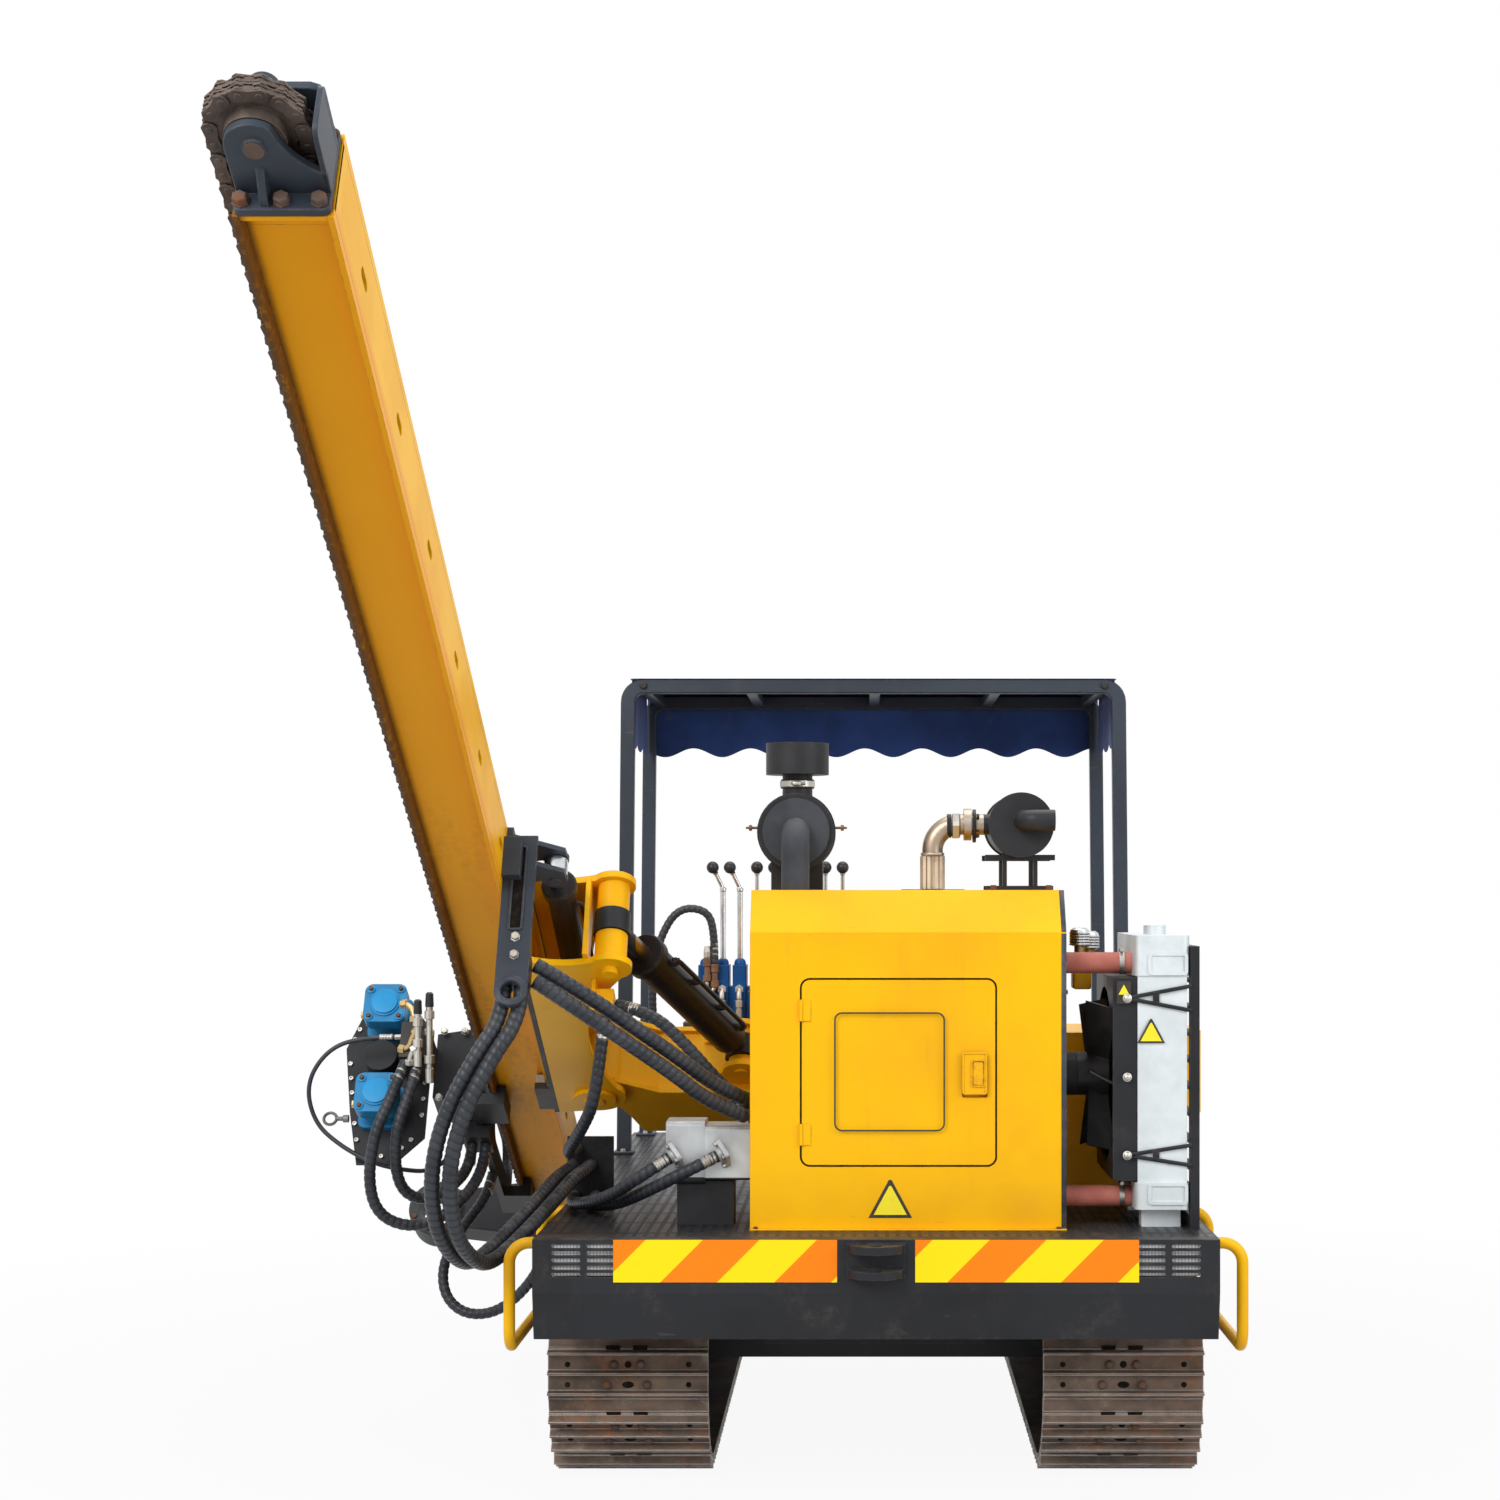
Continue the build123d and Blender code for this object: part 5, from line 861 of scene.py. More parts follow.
# ---- hoses: routes in metres, radius of the bare hose ----
hose_routes = {
    "hose_supply_first": (
        0.021,
        [
            (-0.9121, -1.519, 1.48), (-0.77, -1.49, 1.392), (-0.65, -1.44, 1.305), (-0.535, -1.37, 1.218),
            (-0.45, -1.27, 1.14), (-0.367, -1.17, 1.093)
        ]
    ),
    "hose_supply_second": (
        0.021,
        [
            (-0.9115, -1.542, 1.438), (-0.78, -1.516, 1.348), (-0.658, -1.467, 1.26), (-0.542, -1.398, 1.173),
            (-0.46, -1.309, 1.096), (-0.3663, -1.213, 1.049)
        ]
    ),
    "hose_swing_supply": (
        0.018,
        [
            (-0.7367, -1.085, 1.353), (-0.64, -1.115, 1.335), (-0.54, -1.145, 1.25), (-0.45, -1.135, 1.145),
            (-0.3632, -1.108, 1.06)
        ]
    ),
    "hose_loop_first": (
        0.021,
        [
            (-0.944, -1.5517, 1.4208), (-0.944, -1.5958, 1.3424), (-1.01, -1.64, 1.24),
            (-1.095, -1.65, 1.075), (-1.132, -1.622, 0.905), (-1.122, -1.548, 0.755), (-1.088, -1.42, 0.668),
            (-1.062, -1.29, 0.648), (-1.015, -1.19, 0.688), (-0.96, -1.08, 0.745), (-0.92, -0.95, 0.792),
            (-0.89, -0.82, 0.83), (-0.86, -0.715, 0.848), (-0.86, -0.6203, 0.848)
        ]
    ),
    "hose_loop_second": (
        0.021,
        [
            (-0.991, -1.5517, 1.4208), (-0.991, -1.5958, 1.3424), (-1.06, -1.623, 1.24),
            (-1.145, -1.633, 1.075), (-1.182, -1.605, 0.905), (-1.172, -1.531, 0.755),
            (-1.138, -1.403, 0.668), (-1.112, -1.273, 0.648), (-1.065, -1.173, 0.688), (-1.01, -1.063, 0.745),
            (-0.97, -0.933, 0.792), (-0.94, -0.803, 0.83), (-0.91, -0.698, 0.848), (-0.91, -0.6203, 0.848)
        ]
    ),
    "hose_swing_return": (
        0.018,
        [
            (-0.769, -1.1044, 1.3184), (-0.785, -1.165, 1.095), (-0.845, -1.06, 0.985), (-0.895, -0.93, 0.92),
            (-0.9, -0.78, 0.9), (-0.9, -0.6203, 0.9)
        ]
    ),
    "hose_motor_first": (
        0.018,
        [
            (-1.452, -0.4366, 1.1487), (-1.485, -0.5024, 1.0423), (-1.525, -0.552, 0.944),
            (-1.552, -0.52, 0.8), (-1.535, -0.485, 0.69), (-1.46, -0.45, 0.64), (-1.365, -0.42, 0.648),
            (-1.285, -0.35, 0.712), (-1.243, -0.2066, 0.793), (-1.243, -0.1665, 0.8642)
        ]
    ),
    "hose_motor_second": (
        0.018,
        [
            (-1.41, -0.4359, 1.15), (-1.43, -0.4975, 1.051), (-1.46, -0.5446, 0.9571), (-1.475, -0.495, 0.83),
            (-1.455, -0.455, 0.745), (-1.395, -0.405, 0.715), (-1.328, -0.34, 0.745),
            (-1.287, -0.2032, 0.7991), (-1.287, -0.1665, 0.8642)
        ]
    ),
    "hose_drain": (
        0.007,
        [
            (-1.4703, -0.3949, 1.2228), (-1.57, -0.3949, 1.2228), (-1.69, -0.405, 1.195),
            (-1.765, -0.415, 1.085), (-1.738, -0.425, 0.96), (-1.65, -0.4389, 0.886),
            (-1.545, -0.4624, 0.8361), (-1.462, -0.4509, 0.8159), (-1.392, -0.3679, 0.8001),
            (-1.348, -0.2555, 0.8286), (-1.3186, -0.16, 0.8758)
        ]
    ),
    "hose_pump_first": (
        0.018,
        [
            (-0.56, -1.1826, 0.94), (-0.655, -1.212, 0.882), (-0.75, -1.11, 0.812), (-0.85, -0.945, 0.77),
            (-0.905, -0.79, 0.757), (-0.905, -0.6203, 0.757)
        ]
    ),
    "hose_pump_second": (
        0.018,
        [
            (-0.425, -1.2024, 0.945), (-0.53, -1.238, 0.895), (-0.645, -1.175, 0.832), (-0.75, -1.015, 0.775),
            (-0.842, -0.85, 0.757), (-0.842, -0.6203, 0.757)
        ]
    ),
    "hose_feed_drive": (
        0.017,
        [
            (-1.262, 0.1211, 0.7431), (-1.275, 0.0859, 0.6706), (-1.345, 0.02, 0.58), (-1.4, -0.06, 0.47),
            (-1.385, -0.11, 0.37), (-1.31, -0.14, 0.315), (-1.2, -0.17, 0.33), (-1.09, -0.21, 0.43),
            (-1.03, -0.25, 0.56), (-0.985, -0.28, 0.66), (-0.94, -0.298, 0.687)
        ]
    )
}


def line_of(route):
    """Points close together along the smooth line that a route's control points draw."""
    holder = drawn(route, 3, 30)
    mesh = bpy.data.meshes.new_from_object(holder)
    places = [vertex.co.copy() for vertex in mesh.vertices]
    bpy.data.objects.remove(holder)
    bpy.data.meshes.remove(mesh)
    return places


def spaced(places, step):
    """The same line in even steps, and its length."""
    runs = [0.0]
    for before, after in zip(places, places[1:]):
        runs.append(runs[-1] + (after - before).length)
    count = max(2, round(runs[-1] / step))
    found, at = [], 0
    for number in range(count + 1):
        run = runs[-1] * number / count
        while at < len(runs) - 2 and runs[at + 1] < run:
            at += 1
        part = (run - runs[at]) / max(1e-9, runs[at + 1] - runs[at])
        found.append(places[at].lerp(places[at + 1], part))
    return found, runs[-1]


def wrapped_tube(name, places, radius, ridge, pitch, sides=16):
    """A tube with a spiral ridge round it, as a hose in its plastic wrap, closed at both ends."""
    vertices, faces, grooves = [], [], []
    side = None
    run = 0.0
    for number, place in enumerate(places):
        way = (places[min(number + 1, len(places) - 1)] - places[max(number - 1, 0)]).normalized()
        if side is None:
            side = way.orthogonal().normalized()
        side = (side - way * side.dot(way)).normalized()
        other = way.cross(side)
        if number:
            run += (place - places[number - 1]).length
        for corner in range(sides):
            turn = corner / sides
            phase = (run / pitch + turn) % 1.0 if pitch else 0.0
            # a broad flat band with a narrow groove between its turns
            sunk = max(0.0, 1 - abs(phase - 0.5) / 0.2)
            spread = radius - ridge * sunk
            angle = 2 * pi * turn
            vertices.append(place + side * (spread * cos(angle)) + other * (spread * sin(angle)))
            grooves.append(sunk)
    rings = len(places)
    for ring in range(rings - 1):
        for corner in range(sides):
            after = (corner + 1) % sides
            faces.append(
                (
                    ring * sides + corner, ring * sides + after, (ring + 1) * sides + after,
                    (ring + 1) * sides + corner
                )
            )
    faces.append(tuple(range(sides))[::-1])
    faces.append(tuple((rings - 1) * sides + corner for corner in range(sides)))
    mesh = bpy.data.meshes.new(name)
    mesh.from_pydata(vertices, [], faces)
    mesh.attributes.new("groove", "FLOAT", "POINT").data.foreach_set("value", grooves)
    mesh.polygons.foreach_set("use_smooth", [True] * len(mesh.polygons))
    piece = bpy.data.objects.new(name, mesh)
    bpy.context.scene.collection.objects.link(piece)
    return piece


def hose_end(radius):
    """A crimped ferrule with its nut, along +Z from the face it screws into."""
    nut = painted(
        turned(
            [(radius * 1.05, 0), (radius * 1.12, 0.003), (radius * 1.12, 0.019), (radius * 1.0, 0.022)], 6,
            False
        ),
        "zinc"
    )
    rings = [(radius * 0.72, 0.021), (radius * 0.72, 0.028), (radius * 1.1, 0.029)]
    for number in range(4):
        start = 0.031 + number * 0.009
        rings += [
            (radius * 1.16, start), (radius * 1.16, start + 0.0055), (radius * 1.08, start + 0.0065),
            (radius * 1.08, start + 0.0085)
        ]
    rings += [(radius * 1.14, 0.068), (radius * 1.02, 0.070)]
    return joined(nut, painted(turned(rings, 18), "zinc"))


# the rotary head's hoses travel with it, and the pumps' stay on the deck; the others get the points of their
# two ends, and stay fixed where they are made
hose_bodies = {
    "hose_motor_first": "power_head", "hose_motor_second": "power_head", "hose_drain": "power_head",
    "hose_pump_first": "root", "hose_pump_second": "root",
}
# ends that go into a boot or a clamp have no ferrule: (at the start, at the end)
plain_ends = {
    "hose_supply_first": (True, True), "hose_supply_second": (True, True), "hose_loop_first": (True, True),
    "hose_loop_second": (True, True), "hose_feed_drive": (False, True),
}


class RigHoseSizes(bpy.types.PropertyGroup):
    wrap: bpy.props.FloatProperty(
        name="Wrap pitch", description="Run of one turn of the spiral wrap", default=0.022, unit="LENGTH"
    )
    ridge: bpy.props.FloatProperty(
        name="Wrap depth", description="How far the groove between turns is sunk", default=0.0026,
        unit="LENGTH"
    )
    step: bpy.props.FloatProperty(
        name="Ring spacing", description="Spacing of the rings of vertices", default=0.0037, unit="LENGTH"
    )


class RigHoses(bpy.types.Operator):
    """Hydraulic hoses in their spiral wrap, with their ferrules"""

    bl_idname = "rig.hoses"
    bl_label = "Hoses"

    def execute(self, context):
        sizes = context.scene.rig_hose_sizes
        for name, (radius, route) in hose_routes.items():
            places, length = spaced(line_of(route), sizes.step)
            body = hose_bodies.get(name, (places[-1], places[0]))
            thin = radius < 0.01
            ridge, wrap, sides = (0, 0, 10) if thin else (sizes.ridge, sizes.wrap, 16)
            piece = wrapped_tube(name.replace("hose_", "wrapped_"), places, radius, ridge, wrap, sides)
            show(piece, piece.name, body, "hose_rubber")
            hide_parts(name)
            ends = []
            for number, (place, next_place) in enumerate(((places[0], places[3]), (places[-1], places[-4]))):
                if not plain_ends.get(name, (False, False))[number]:
                    ends.append(onto(hose_end(max(radius * 0.82, 0.008)), place, next_place - place))
            if ends:
                end = show(joined(*ends), name.replace("hose_", "ferrules_"), body, None)
        return {"FINISHED"}


# ---- feed chain ----
# its two shafts, up the mast
chain_top, chain_low = 4.050, -1.460


class RigChainSizes(bpy.types.PropertyGroup):
    pitch: bpy.props.FloatProperty(
        name="Pitch", description="Between two pins", default=0.0381, unit="LENGTH"
    )
    plate: bpy.props.FloatProperty(
        name="Plate", description="Thickness of a link plate", default=0.0036, unit="LENGTH"
    )
    waist: bpy.props.FloatProperty(
        name="Waist", description="Half height of a plate's waist", default=0.0115, unit="LENGTH"
    )
    end: bpy.props.FloatProperty(
        name="End", description="Half height of a plate's round end", default=0.0160, unit="LENGTH"
    )


def link_plate(sizes):
    """One waisted link plate, flat, with its two pins' places along X."""
    half, outline = sizes.pitch / 2, []
    for side in (1, -1):
        for step in range(5):
            angle = radians(-70 + 35 * step) + (0 if side > 0 else pi)
            outline.append((side * half + sizes.end * cos(angle), sizes.end * sin(angle)))
        outline.append((0, side * sizes.waist))
    return plate(outline, sizes.plate)


class RigChain(bpy.types.Operator):
    """Duplex roller chain round the sprockets at the head and foot of the mast"""

    bl_idname = "rig.chain"
    bl_label = "Feed chain"

    def execute(self, context):
        sizes = context.scene.rig_chain_sizes
        low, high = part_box("feed_chain")
        middle = (low.x + high.x) / 2
        # the pitch radius of the two sprockets, from the frame's box of the chain
        radius = (high.x - low.x) / 2 - 0.0165
        straight = chain_top - chain_low
        arc = pi * radius
        total = 2 * (straight + arc)
        count = 2 * round(total / sizes.pitch / 2)
        step = total / count

        def place(run):
            run %= total
            if run < straight:
                return Vector((middle - radius, chain_low + run))
            run -= straight
            if run < arc:
                angle = pi - run / radius
                return Vector((middle + radius * cos(angle), chain_top + radius * sin(angle)))
            run -= arc
            if run < straight:
                return Vector((middle + radius, chain_top - run))
            angle = -(run - straight) / radius
            return Vector((middle + radius * cos(angle), chain_low + radius * sin(angle)))

        inner = [link_plate(sizes) for _ in range(4)]
        for piece, depth in zip(inner, (-0.0172, -0.0064, 0.0028, 0.0136)):
            moved(piece, 0, 0, depth)
        rollers = []
        for end in (-1, 1):
            for row in (-1, 1):
                roller = turned([(0.0085, 0), (0.0118, 0.0006), (0.0118, 0.0074), (0.0085, 0.008)], 10, False)
                rollers.append(moved(roller, end * sizes.pitch / 2, 0, row * 0.0100 - 0.0040))
        inner = joined(*inner, *rollers)
        outer = [link_plate(sizes) for _ in range(3)]
        for piece, depth in zip(outer, (-0.0212, -0.0018, 0.0176)):
            moved(piece, 0, 0, depth)
        pins = []
        for end in (-1, 1):
            pin = turned([(0.0052, -0.0226), (0.0064, -0.0218), (0.0064, 0.0218), (0.0052, 0.0226)], 8, False)
            pins.append(moved(pin, end * sizes.pitch / 2, 0))
        outer = joined(*outer, *pins)
        inner_places, outer_places = [], []
        for number in range(count):
            first, last = place(number * step), place((number + 1) * step)
            way = on_mast(last.x, last.y, 0) - on_mast(first.x, first.y, 0)
            centre = (on_mast(last.x, last.y, 0) + on_mast(first.x, first.y, 0)) / 2
            links_here = inner_places if number % 2 else outer_places
            links_here.append(facing(centre, under_mast, way))
        links = joined(copies(inner, inner_places), copies(outer, outer_places))
        show(links, "feed_chain_links", "mast", "chain_steel")
        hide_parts("feed_chain")
        return {"FINISHED"}


# ---- stage ----
class RigStageSizes(bpy.types.PropertyGroup):
    sky: bpy.props.FloatProperty(name="Sky", description="Strength of the even light all round", default=0.50)
    key: bpy.props.FloatProperty(
        name="Key", description="Power of the large lamp behind the camera", default=620.0
    )
    fill: bpy.props.FloatProperty(
        name="Fill", description="Power of the lamp from the other side", default=260.0
    )
    top: bpy.props.FloatProperty(name="Top", description="Power of the lamp overhead", default=300.0)


camera_place, camera_lens, camera_shift = (-0.03, -8.45, 1.68), 62.16, (-0.0767, 0.0933)
white, floor_grey, near_white, shadow_near, shadow_far = (1, 1, 1), 0.46, 0.93, 1.6, 5.5
lamps = (
    # name, place, what it points at, size
    ("key", (-4.5, -8.0, 6.5), (0, -1, 1.2), 5.0),
    ("fill", (6.5, -6.0, 4.0), (0, -1, 1.0), 5.0),
    ("top", (0.5, 1.0, 8.5), (0, 0, 0), 6.0),
)


def floor_paint():
    """Pale floor that keeps the shadow near the machine and turns white away from it."""
    f = Finish("pale_floor", base_color=(floor_grey,) * 3, roughness=0.9)
    away = f.node("ShaderNodeVectorMath", {"operation": "LENGTH"}, {0: f.point()}, "Value")
    fade = f.node(
        "ShaderNodeMapRange", {},
        {"Value": away, "From Min": shadow_near, "From Max": shadow_far, "To Min": near_white, "To Max": 1.0}
    )
    glow = f.node("ShaderNodeEmission", {}, {"Color": white})
    blend = f.node("ShaderNodeMixShader", {}, {0: fade * f.seen(), 1: Field(f, f.shader.outputs[0]), 2: glow})
    f.feed(f.tree.nodes["Material Output"].inputs["Surface"], blend)
    return f.material


class RigStage(bpy.types.Operator):
    """Camera, lamps, pale floor and white surround"""

    bl_idname = "rig.stage"
    bl_label = "Stage"

    def execute(self, context):
        sizes = context.scene.rig_stage_sizes
        scene = context.scene
        camera = bpy.data.objects.new("camera", bpy.data.cameras.new("camera"))
        scene.collection.objects.link(camera)
        camera.location = camera_place
        camera.rotation_euler = (pi / 2, 0, 0)
        camera.data.sensor_width = 36
        camera.data.lens = camera_lens
        camera.data.shift_x, camera.data.shift_y = camera_shift
        camera.data.clip_end = 200
        scene.camera = camera
        scene.view_settings.view_transform = "Standard"
        for name, place, target, size in lamps:
            lamp = bpy.data.lights.new(name, "AREA")
            lamp.shape = "SQUARE"
            lamp.size = size
            lamp.energy = getattr(sizes, name)
            holder = bpy.data.objects.new(name, lamp)
            scene.collection.objects.link(holder)
            holder.location = place
            holder.rotation_mode = "QUATERNION"
            holder.rotation_quaternion = (Vector(target) - Vector(place)).to_track_quat("-Z", "Y")
        world = bpy.data.worlds.new("surround")
        scene.world = world
        world.use_nodes = True
        tree, background = Nodes(world.node_tree), world.node_tree.nodes["Background"]
        tree.feed(background.inputs["Strength"], tree.seen() * (1 - sizes.sky) + sizes.sky)
        tree.feed(background.inputs["Color"], white)
        bpy.ops.object.select_all(action="DESELECT")
        bpy.ops.mesh.primitive_circle_add(vertices=64, radius=30, fill_type="NGON", location=(0, 0, -0.0005))
        floor = settle(bpy.context.active_object)
        floor.name = "floor"
        floor.data.materials.append(floor_paint())
        return {"FINISHED"}


# ---- forms that stand for simpler ones of the frame ----
def across_mast(height):
    """A frame for shapes that run up the mast: +X across, +Y out of its upper side."""
    return facing(on_mast(0, height, 0), up_mast)


def along_mast(depth):
    """A frame for flat shapes on the mast: +X across, +Y up it, +Z out of its underside."""
    return facing(on_mast(0, 0, depth), under_mast)


def beside_mast(x):
    """A frame for shapes seen from the side: +X up the mast, +Y out of its underside, +Z across."""
    return facing(on_mast(x, 0, 0), right, up_mast)


def cut(piece, cutter):
    """Takes one shape out of another."""
    hollow = piece.modifiers.new("cut", "BOOLEAN")
    hollow.object, hollow.solver = cutter, "EXACT"
    pick(piece)
    bpy.ops.object.modifier_apply(modifier="cut")
    bpy.data.objects.remove(cutter)
    return piece


def sweep_through(first, middle, last, steps):
    """Points on a curve that passes through a middle place."""
    bend = [2 * m - (f + t) / 2 for f, m, t in zip(first, middle, last)]
    points = []
    for step in range(steps + 1):
        t = step / steps
        points.append(
            tuple((1 - t) ** 2 * f + 2 * t * (1 - t) * b + t * t * l for f, b, l in zip(first, bend, last))
        )
    return points


mast_outer, mast_inner, mast_middle = -1.200, -1.012, -1.106
head_shaft = (-1.1364, chain_top)
base_low, base_high = 3.920, 3.938
inner_run = -1.0508
ear_in, ear_out = 0.0455, 0.0635
spindle_x = -1.550
wall_thick, box_wide, box_deep = 0.012, 0.188, 0.210


class RigMastHead(bpy.types.Operator):
    """End of the mast: its last stretch, the base plate, the ears and the chain shaft"""

    bl_idname = "rig.mast_head"
    bl_label = "Mast head"

    def execute(self, context):
        beam_top, slot = 3.8638, rounded(0.048, 0.064, 0.008)
        span = base_low - beam_top
        parts = []
        for x in (mast_outer + wall_thick / 2, mast_inner - wall_thick / 2):
            parts.append(moved(block((wall_thick, box_deep, span)), x, 0, beam_top + span / 2))
        for y in (-0.065, 0.065):
            parts.append(moved(block((0.166, 0.010, span)), mast_middle, y, beam_top + span / 2))
        lid = moved(
            plate(rounded(box_wide, box_deep, 0.020), wall_thick, bevel=0.0015), mast_middle, 0,
            base_low - wall_thick
        )
        parts.append(cut(lid, moved(plate(slot, 0.04), inner_run, 0, base_low - 0.03)))
        end = settle(joined(*parts), across_mast(0))
        show(end, "mast_end", "mast", "mast_yellow")
        boss = 0.056
        x, height = head_shaft
        head_right = mast_inner - 0.004
        base = moved(
            plate(rounded(0.180, box_deep, 0.014), base_high - base_low, bevel=0.002), mast_middle, 0,
            base_low
        )
        base = cut(base, moved(plate(slot, 0.04), inner_run, 0, base_low - 0.01))
        parts = [settle(base, across_mast(0))]
        turn = radians(50)
        outline = [
            (x - boss, height), (x - boss, base_high), (head_right, base_high),
            (head_right, base_high + 0.046)
        ]
        outline += sweep_through(
            (head_right - 0.016, base_high + 0.054), (x + 0.062, height - 0.016),
            (x + boss * cos(turn), height + boss * sin(turn)), 9,
        )
        for step in range(1, 12):
            angle = turn + (pi - turn) * step / 12
            outline.append((x + boss * cos(angle), height + boss * sin(angle)))
        # the near ear sweeps down to the back plate, the far one runs straight across to it
        top = base_high + 0.153
        far = outline[:3] + [
            (head_right, top - 0.024), (head_right - 0.007, top - 0.007), (head_right - 0.024, top)
        ]
        far += [(x + 0.030, top)] + outline[-11:]
        for depth, shape in ((ear_in, outline), (-ear_out, far)):
            parts.append(settle(plate(shape[::-1], ear_out - ear_in, bevel=0.0015), along_mast(depth)))
        for side in (-1, 1):
            rib = [
                (base_high, side * ear_out), (base_high, side * 0.097), (base_high + 0.014, side * 0.097),
                (base_high + 0.066, side * ear_out),
            ]
            parts.append(settle(plate(rib, 0.016, bevel=0.001), beside_mast(x - 0.008)))
        back, corner = [(base_high, -ear_out)], 0.022
        for centre, start in ((corner - ear_out, -90), (ear_out - corner, 0)):
            for step in range(6):
                angle = radians(start + 18 * step)
                back.append((top - corner + corner * cos(angle), centre + corner * sin(angle)))
        back.append((base_high, ear_out))
        parts.append(settle(plate(back, 0.010, bevel=0.001), beside_mast(head_right - 0.010)))
        cap = turned(
            [(0.022, 0), (0.028, 0.002), (0.028, 0.038), (0.025, 0.0415), (0.012, 0.0415), (0.010, 0.037)], 28
        )
        parts.append(onto(cap, on_mast(x, height, -ear_out), -under_mast))
        shaft = turned(
            [(0.020, 0), (0.022, 0.002), (0.022, 2 * ear_out + 0.004), (0.019, 2 * ear_out + 0.006)], 24
        )
        parts.append(onto(shaft, on_mast(x, height, -ear_out), under_mast))
        head = joined(*parts)
        smooth()
        show(head, "mast_head_frame", "mast", "slate_paint")
        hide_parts("mast_head")
        bolts = [
            facing(on_mast(place, base_high, depth), up_mast)
            for place in (-1.182, -1.106, -1.036) for depth in (-0.084, 0.084)
        ]
        pin = onto(
            turned([(0.019, 0), (0.019, 0.003), (0.012, 0.004)], 20), on_mast(x, height, ear_out + 0.0055),
            under_mast
        )
        bolts = joined(copies(hexagon(0.028, 0.017), bolts), pin)
        show(bolts, "mast_head_bolts", "mast", "rusty_bolt")
        return {"FINISHED"}


class RigGearbox(bpy.types.Operator):
    """Gearbox of the rotary head with its cover bolts"""

    bl_idname = "rig.gearbox"
    bl_label = "Gearbox"

    def execute(self, context):
        # outline round the spindle: across, and out of the upper side
        outline = [
            (-0.066, 0.240), (-0.088, 0.180), (-0.134, 0.060), (-0.100, -0.170), (-0.060, -0.360),
            (0.066, -0.360),
            (0.161, -0.265), (0.161, 0.120), (0.066, 0.240),
        ]
        low, face = -0.110, 0.070
        body = moved(plate(outline, face - low, bevel=0.007), spindle_x, 0, low)
        rim = [(x * 0.93, y * 0.95) for x, y in outline]
        lid = moved(plate(rim, 0.005, bevel=0.0015), spindle_x, 0, face - 0.0005)
        collar = moved(turned([(0.094, 0), (0.100, 0.006), (0.100, 0.061)], 40), spindle_x, 0, low - 0.060)
        body = joined(body, lid, collar)
        bore = moved(turned([(0.052, 0), (0.052, 0.4)], 40), spindle_x, 0, -0.25)
        body = settle(cut(body, bore), across_mast(0))
        smooth()
        show(body, "gearbox_body", "power_head", "black_paint")
        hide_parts("gearbox")
        places = []
        for number, first in enumerate(rim):
            last = rim[(number + 1) % len(rim)]
            run = hypot(last[0] - first[0], last[1] - first[1])
            for step in range(1, max(2, round(run / 0.075)) + 1):
                part = step / (max(2, round(run / 0.075)) + 1)
                x, y = first[0] + (last[0] - first[0]) * part, first[1] + (last[1] - first[1]) * part
                places.append(facing(on_mast(spindle_x + x * 0.90, face + 0.0045, -y * 0.92), up_mast))
        screw = turned(
            [(0.0075, 0), (0.0075, 0.007), (0.0065, 0.008), (0.004, 0.008), (0.004, 0.004)], 12, False
        )
        show(copies(screw, places), "gearbox_screws", "power_head", "zinc")
        return {"FINISHED"}


class RigLevers(bpy.types.Operator):
    """Seven control levers, each in its sleeve"""

    bl_idname = "rig.levers"
    bl_label = "Control levers"

    def execute(self, context):
        foot, knob_height, knob, y = 1.4263, 1.756, 0.021, 0.340
        levers, clevises = [], []
        for x, sleeve, shift in (
            (-0.512, 0.26, -0.034), (-0.454, 0.26, -0.034), (-0.396, 0.20, 0), (-0.338, 0.20, 0),
            (-0.222, 0.20, 0),
            (-0.164, 0.20, 0), (-0.106, 0.20, 0),
        ):
            tube = turned(
                [
                    (0.0095, 0.018), (0.0095, sleeve - 0.012), (0.0115, sleeve - 0.010), (0.0115, sleeve),
                    (0.008, sleeve + 0.002)
                ],
                16
            )
            elbow = Vector((x, y, foot + sleeve - 0.002))
            way = Vector((x + shift, y - 0.016, knob_height)) - elbow
            reach = way.length
            rod = turned(
                [(0.007, 0), (0.007, reach - 0.026), (0.0095, reach - 0.024), (0.0095, reach - 0.018)], 14
            )
            turns = [radians(step) for step in (26, 40, 55, 72, 90, 108, 126, 144, 162, 176)]
            ball = turned([(knob * sin(turn), reach - knob * cos(turn)) for turn in turns], 20)
            lean_out = facing(elbow, way)
            levers += [moved(tube, x, y, foot), settle(rod, lean_out), settle(ball, lean_out)]
            clevis = turned([(0.013, 0), (0.013, 0.012), (0.0105, 0.016), (0.0105, 0.022)], 6, False)
            clevises.append(moved(clevis, x, y, foot))
        show(joined(*levers), "lever_rods", "root", "lever")
        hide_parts("control_levers")
        show(joined(*clevises), "lever_feet", "root", "brown_fitting")
        return {"FINISHED"}


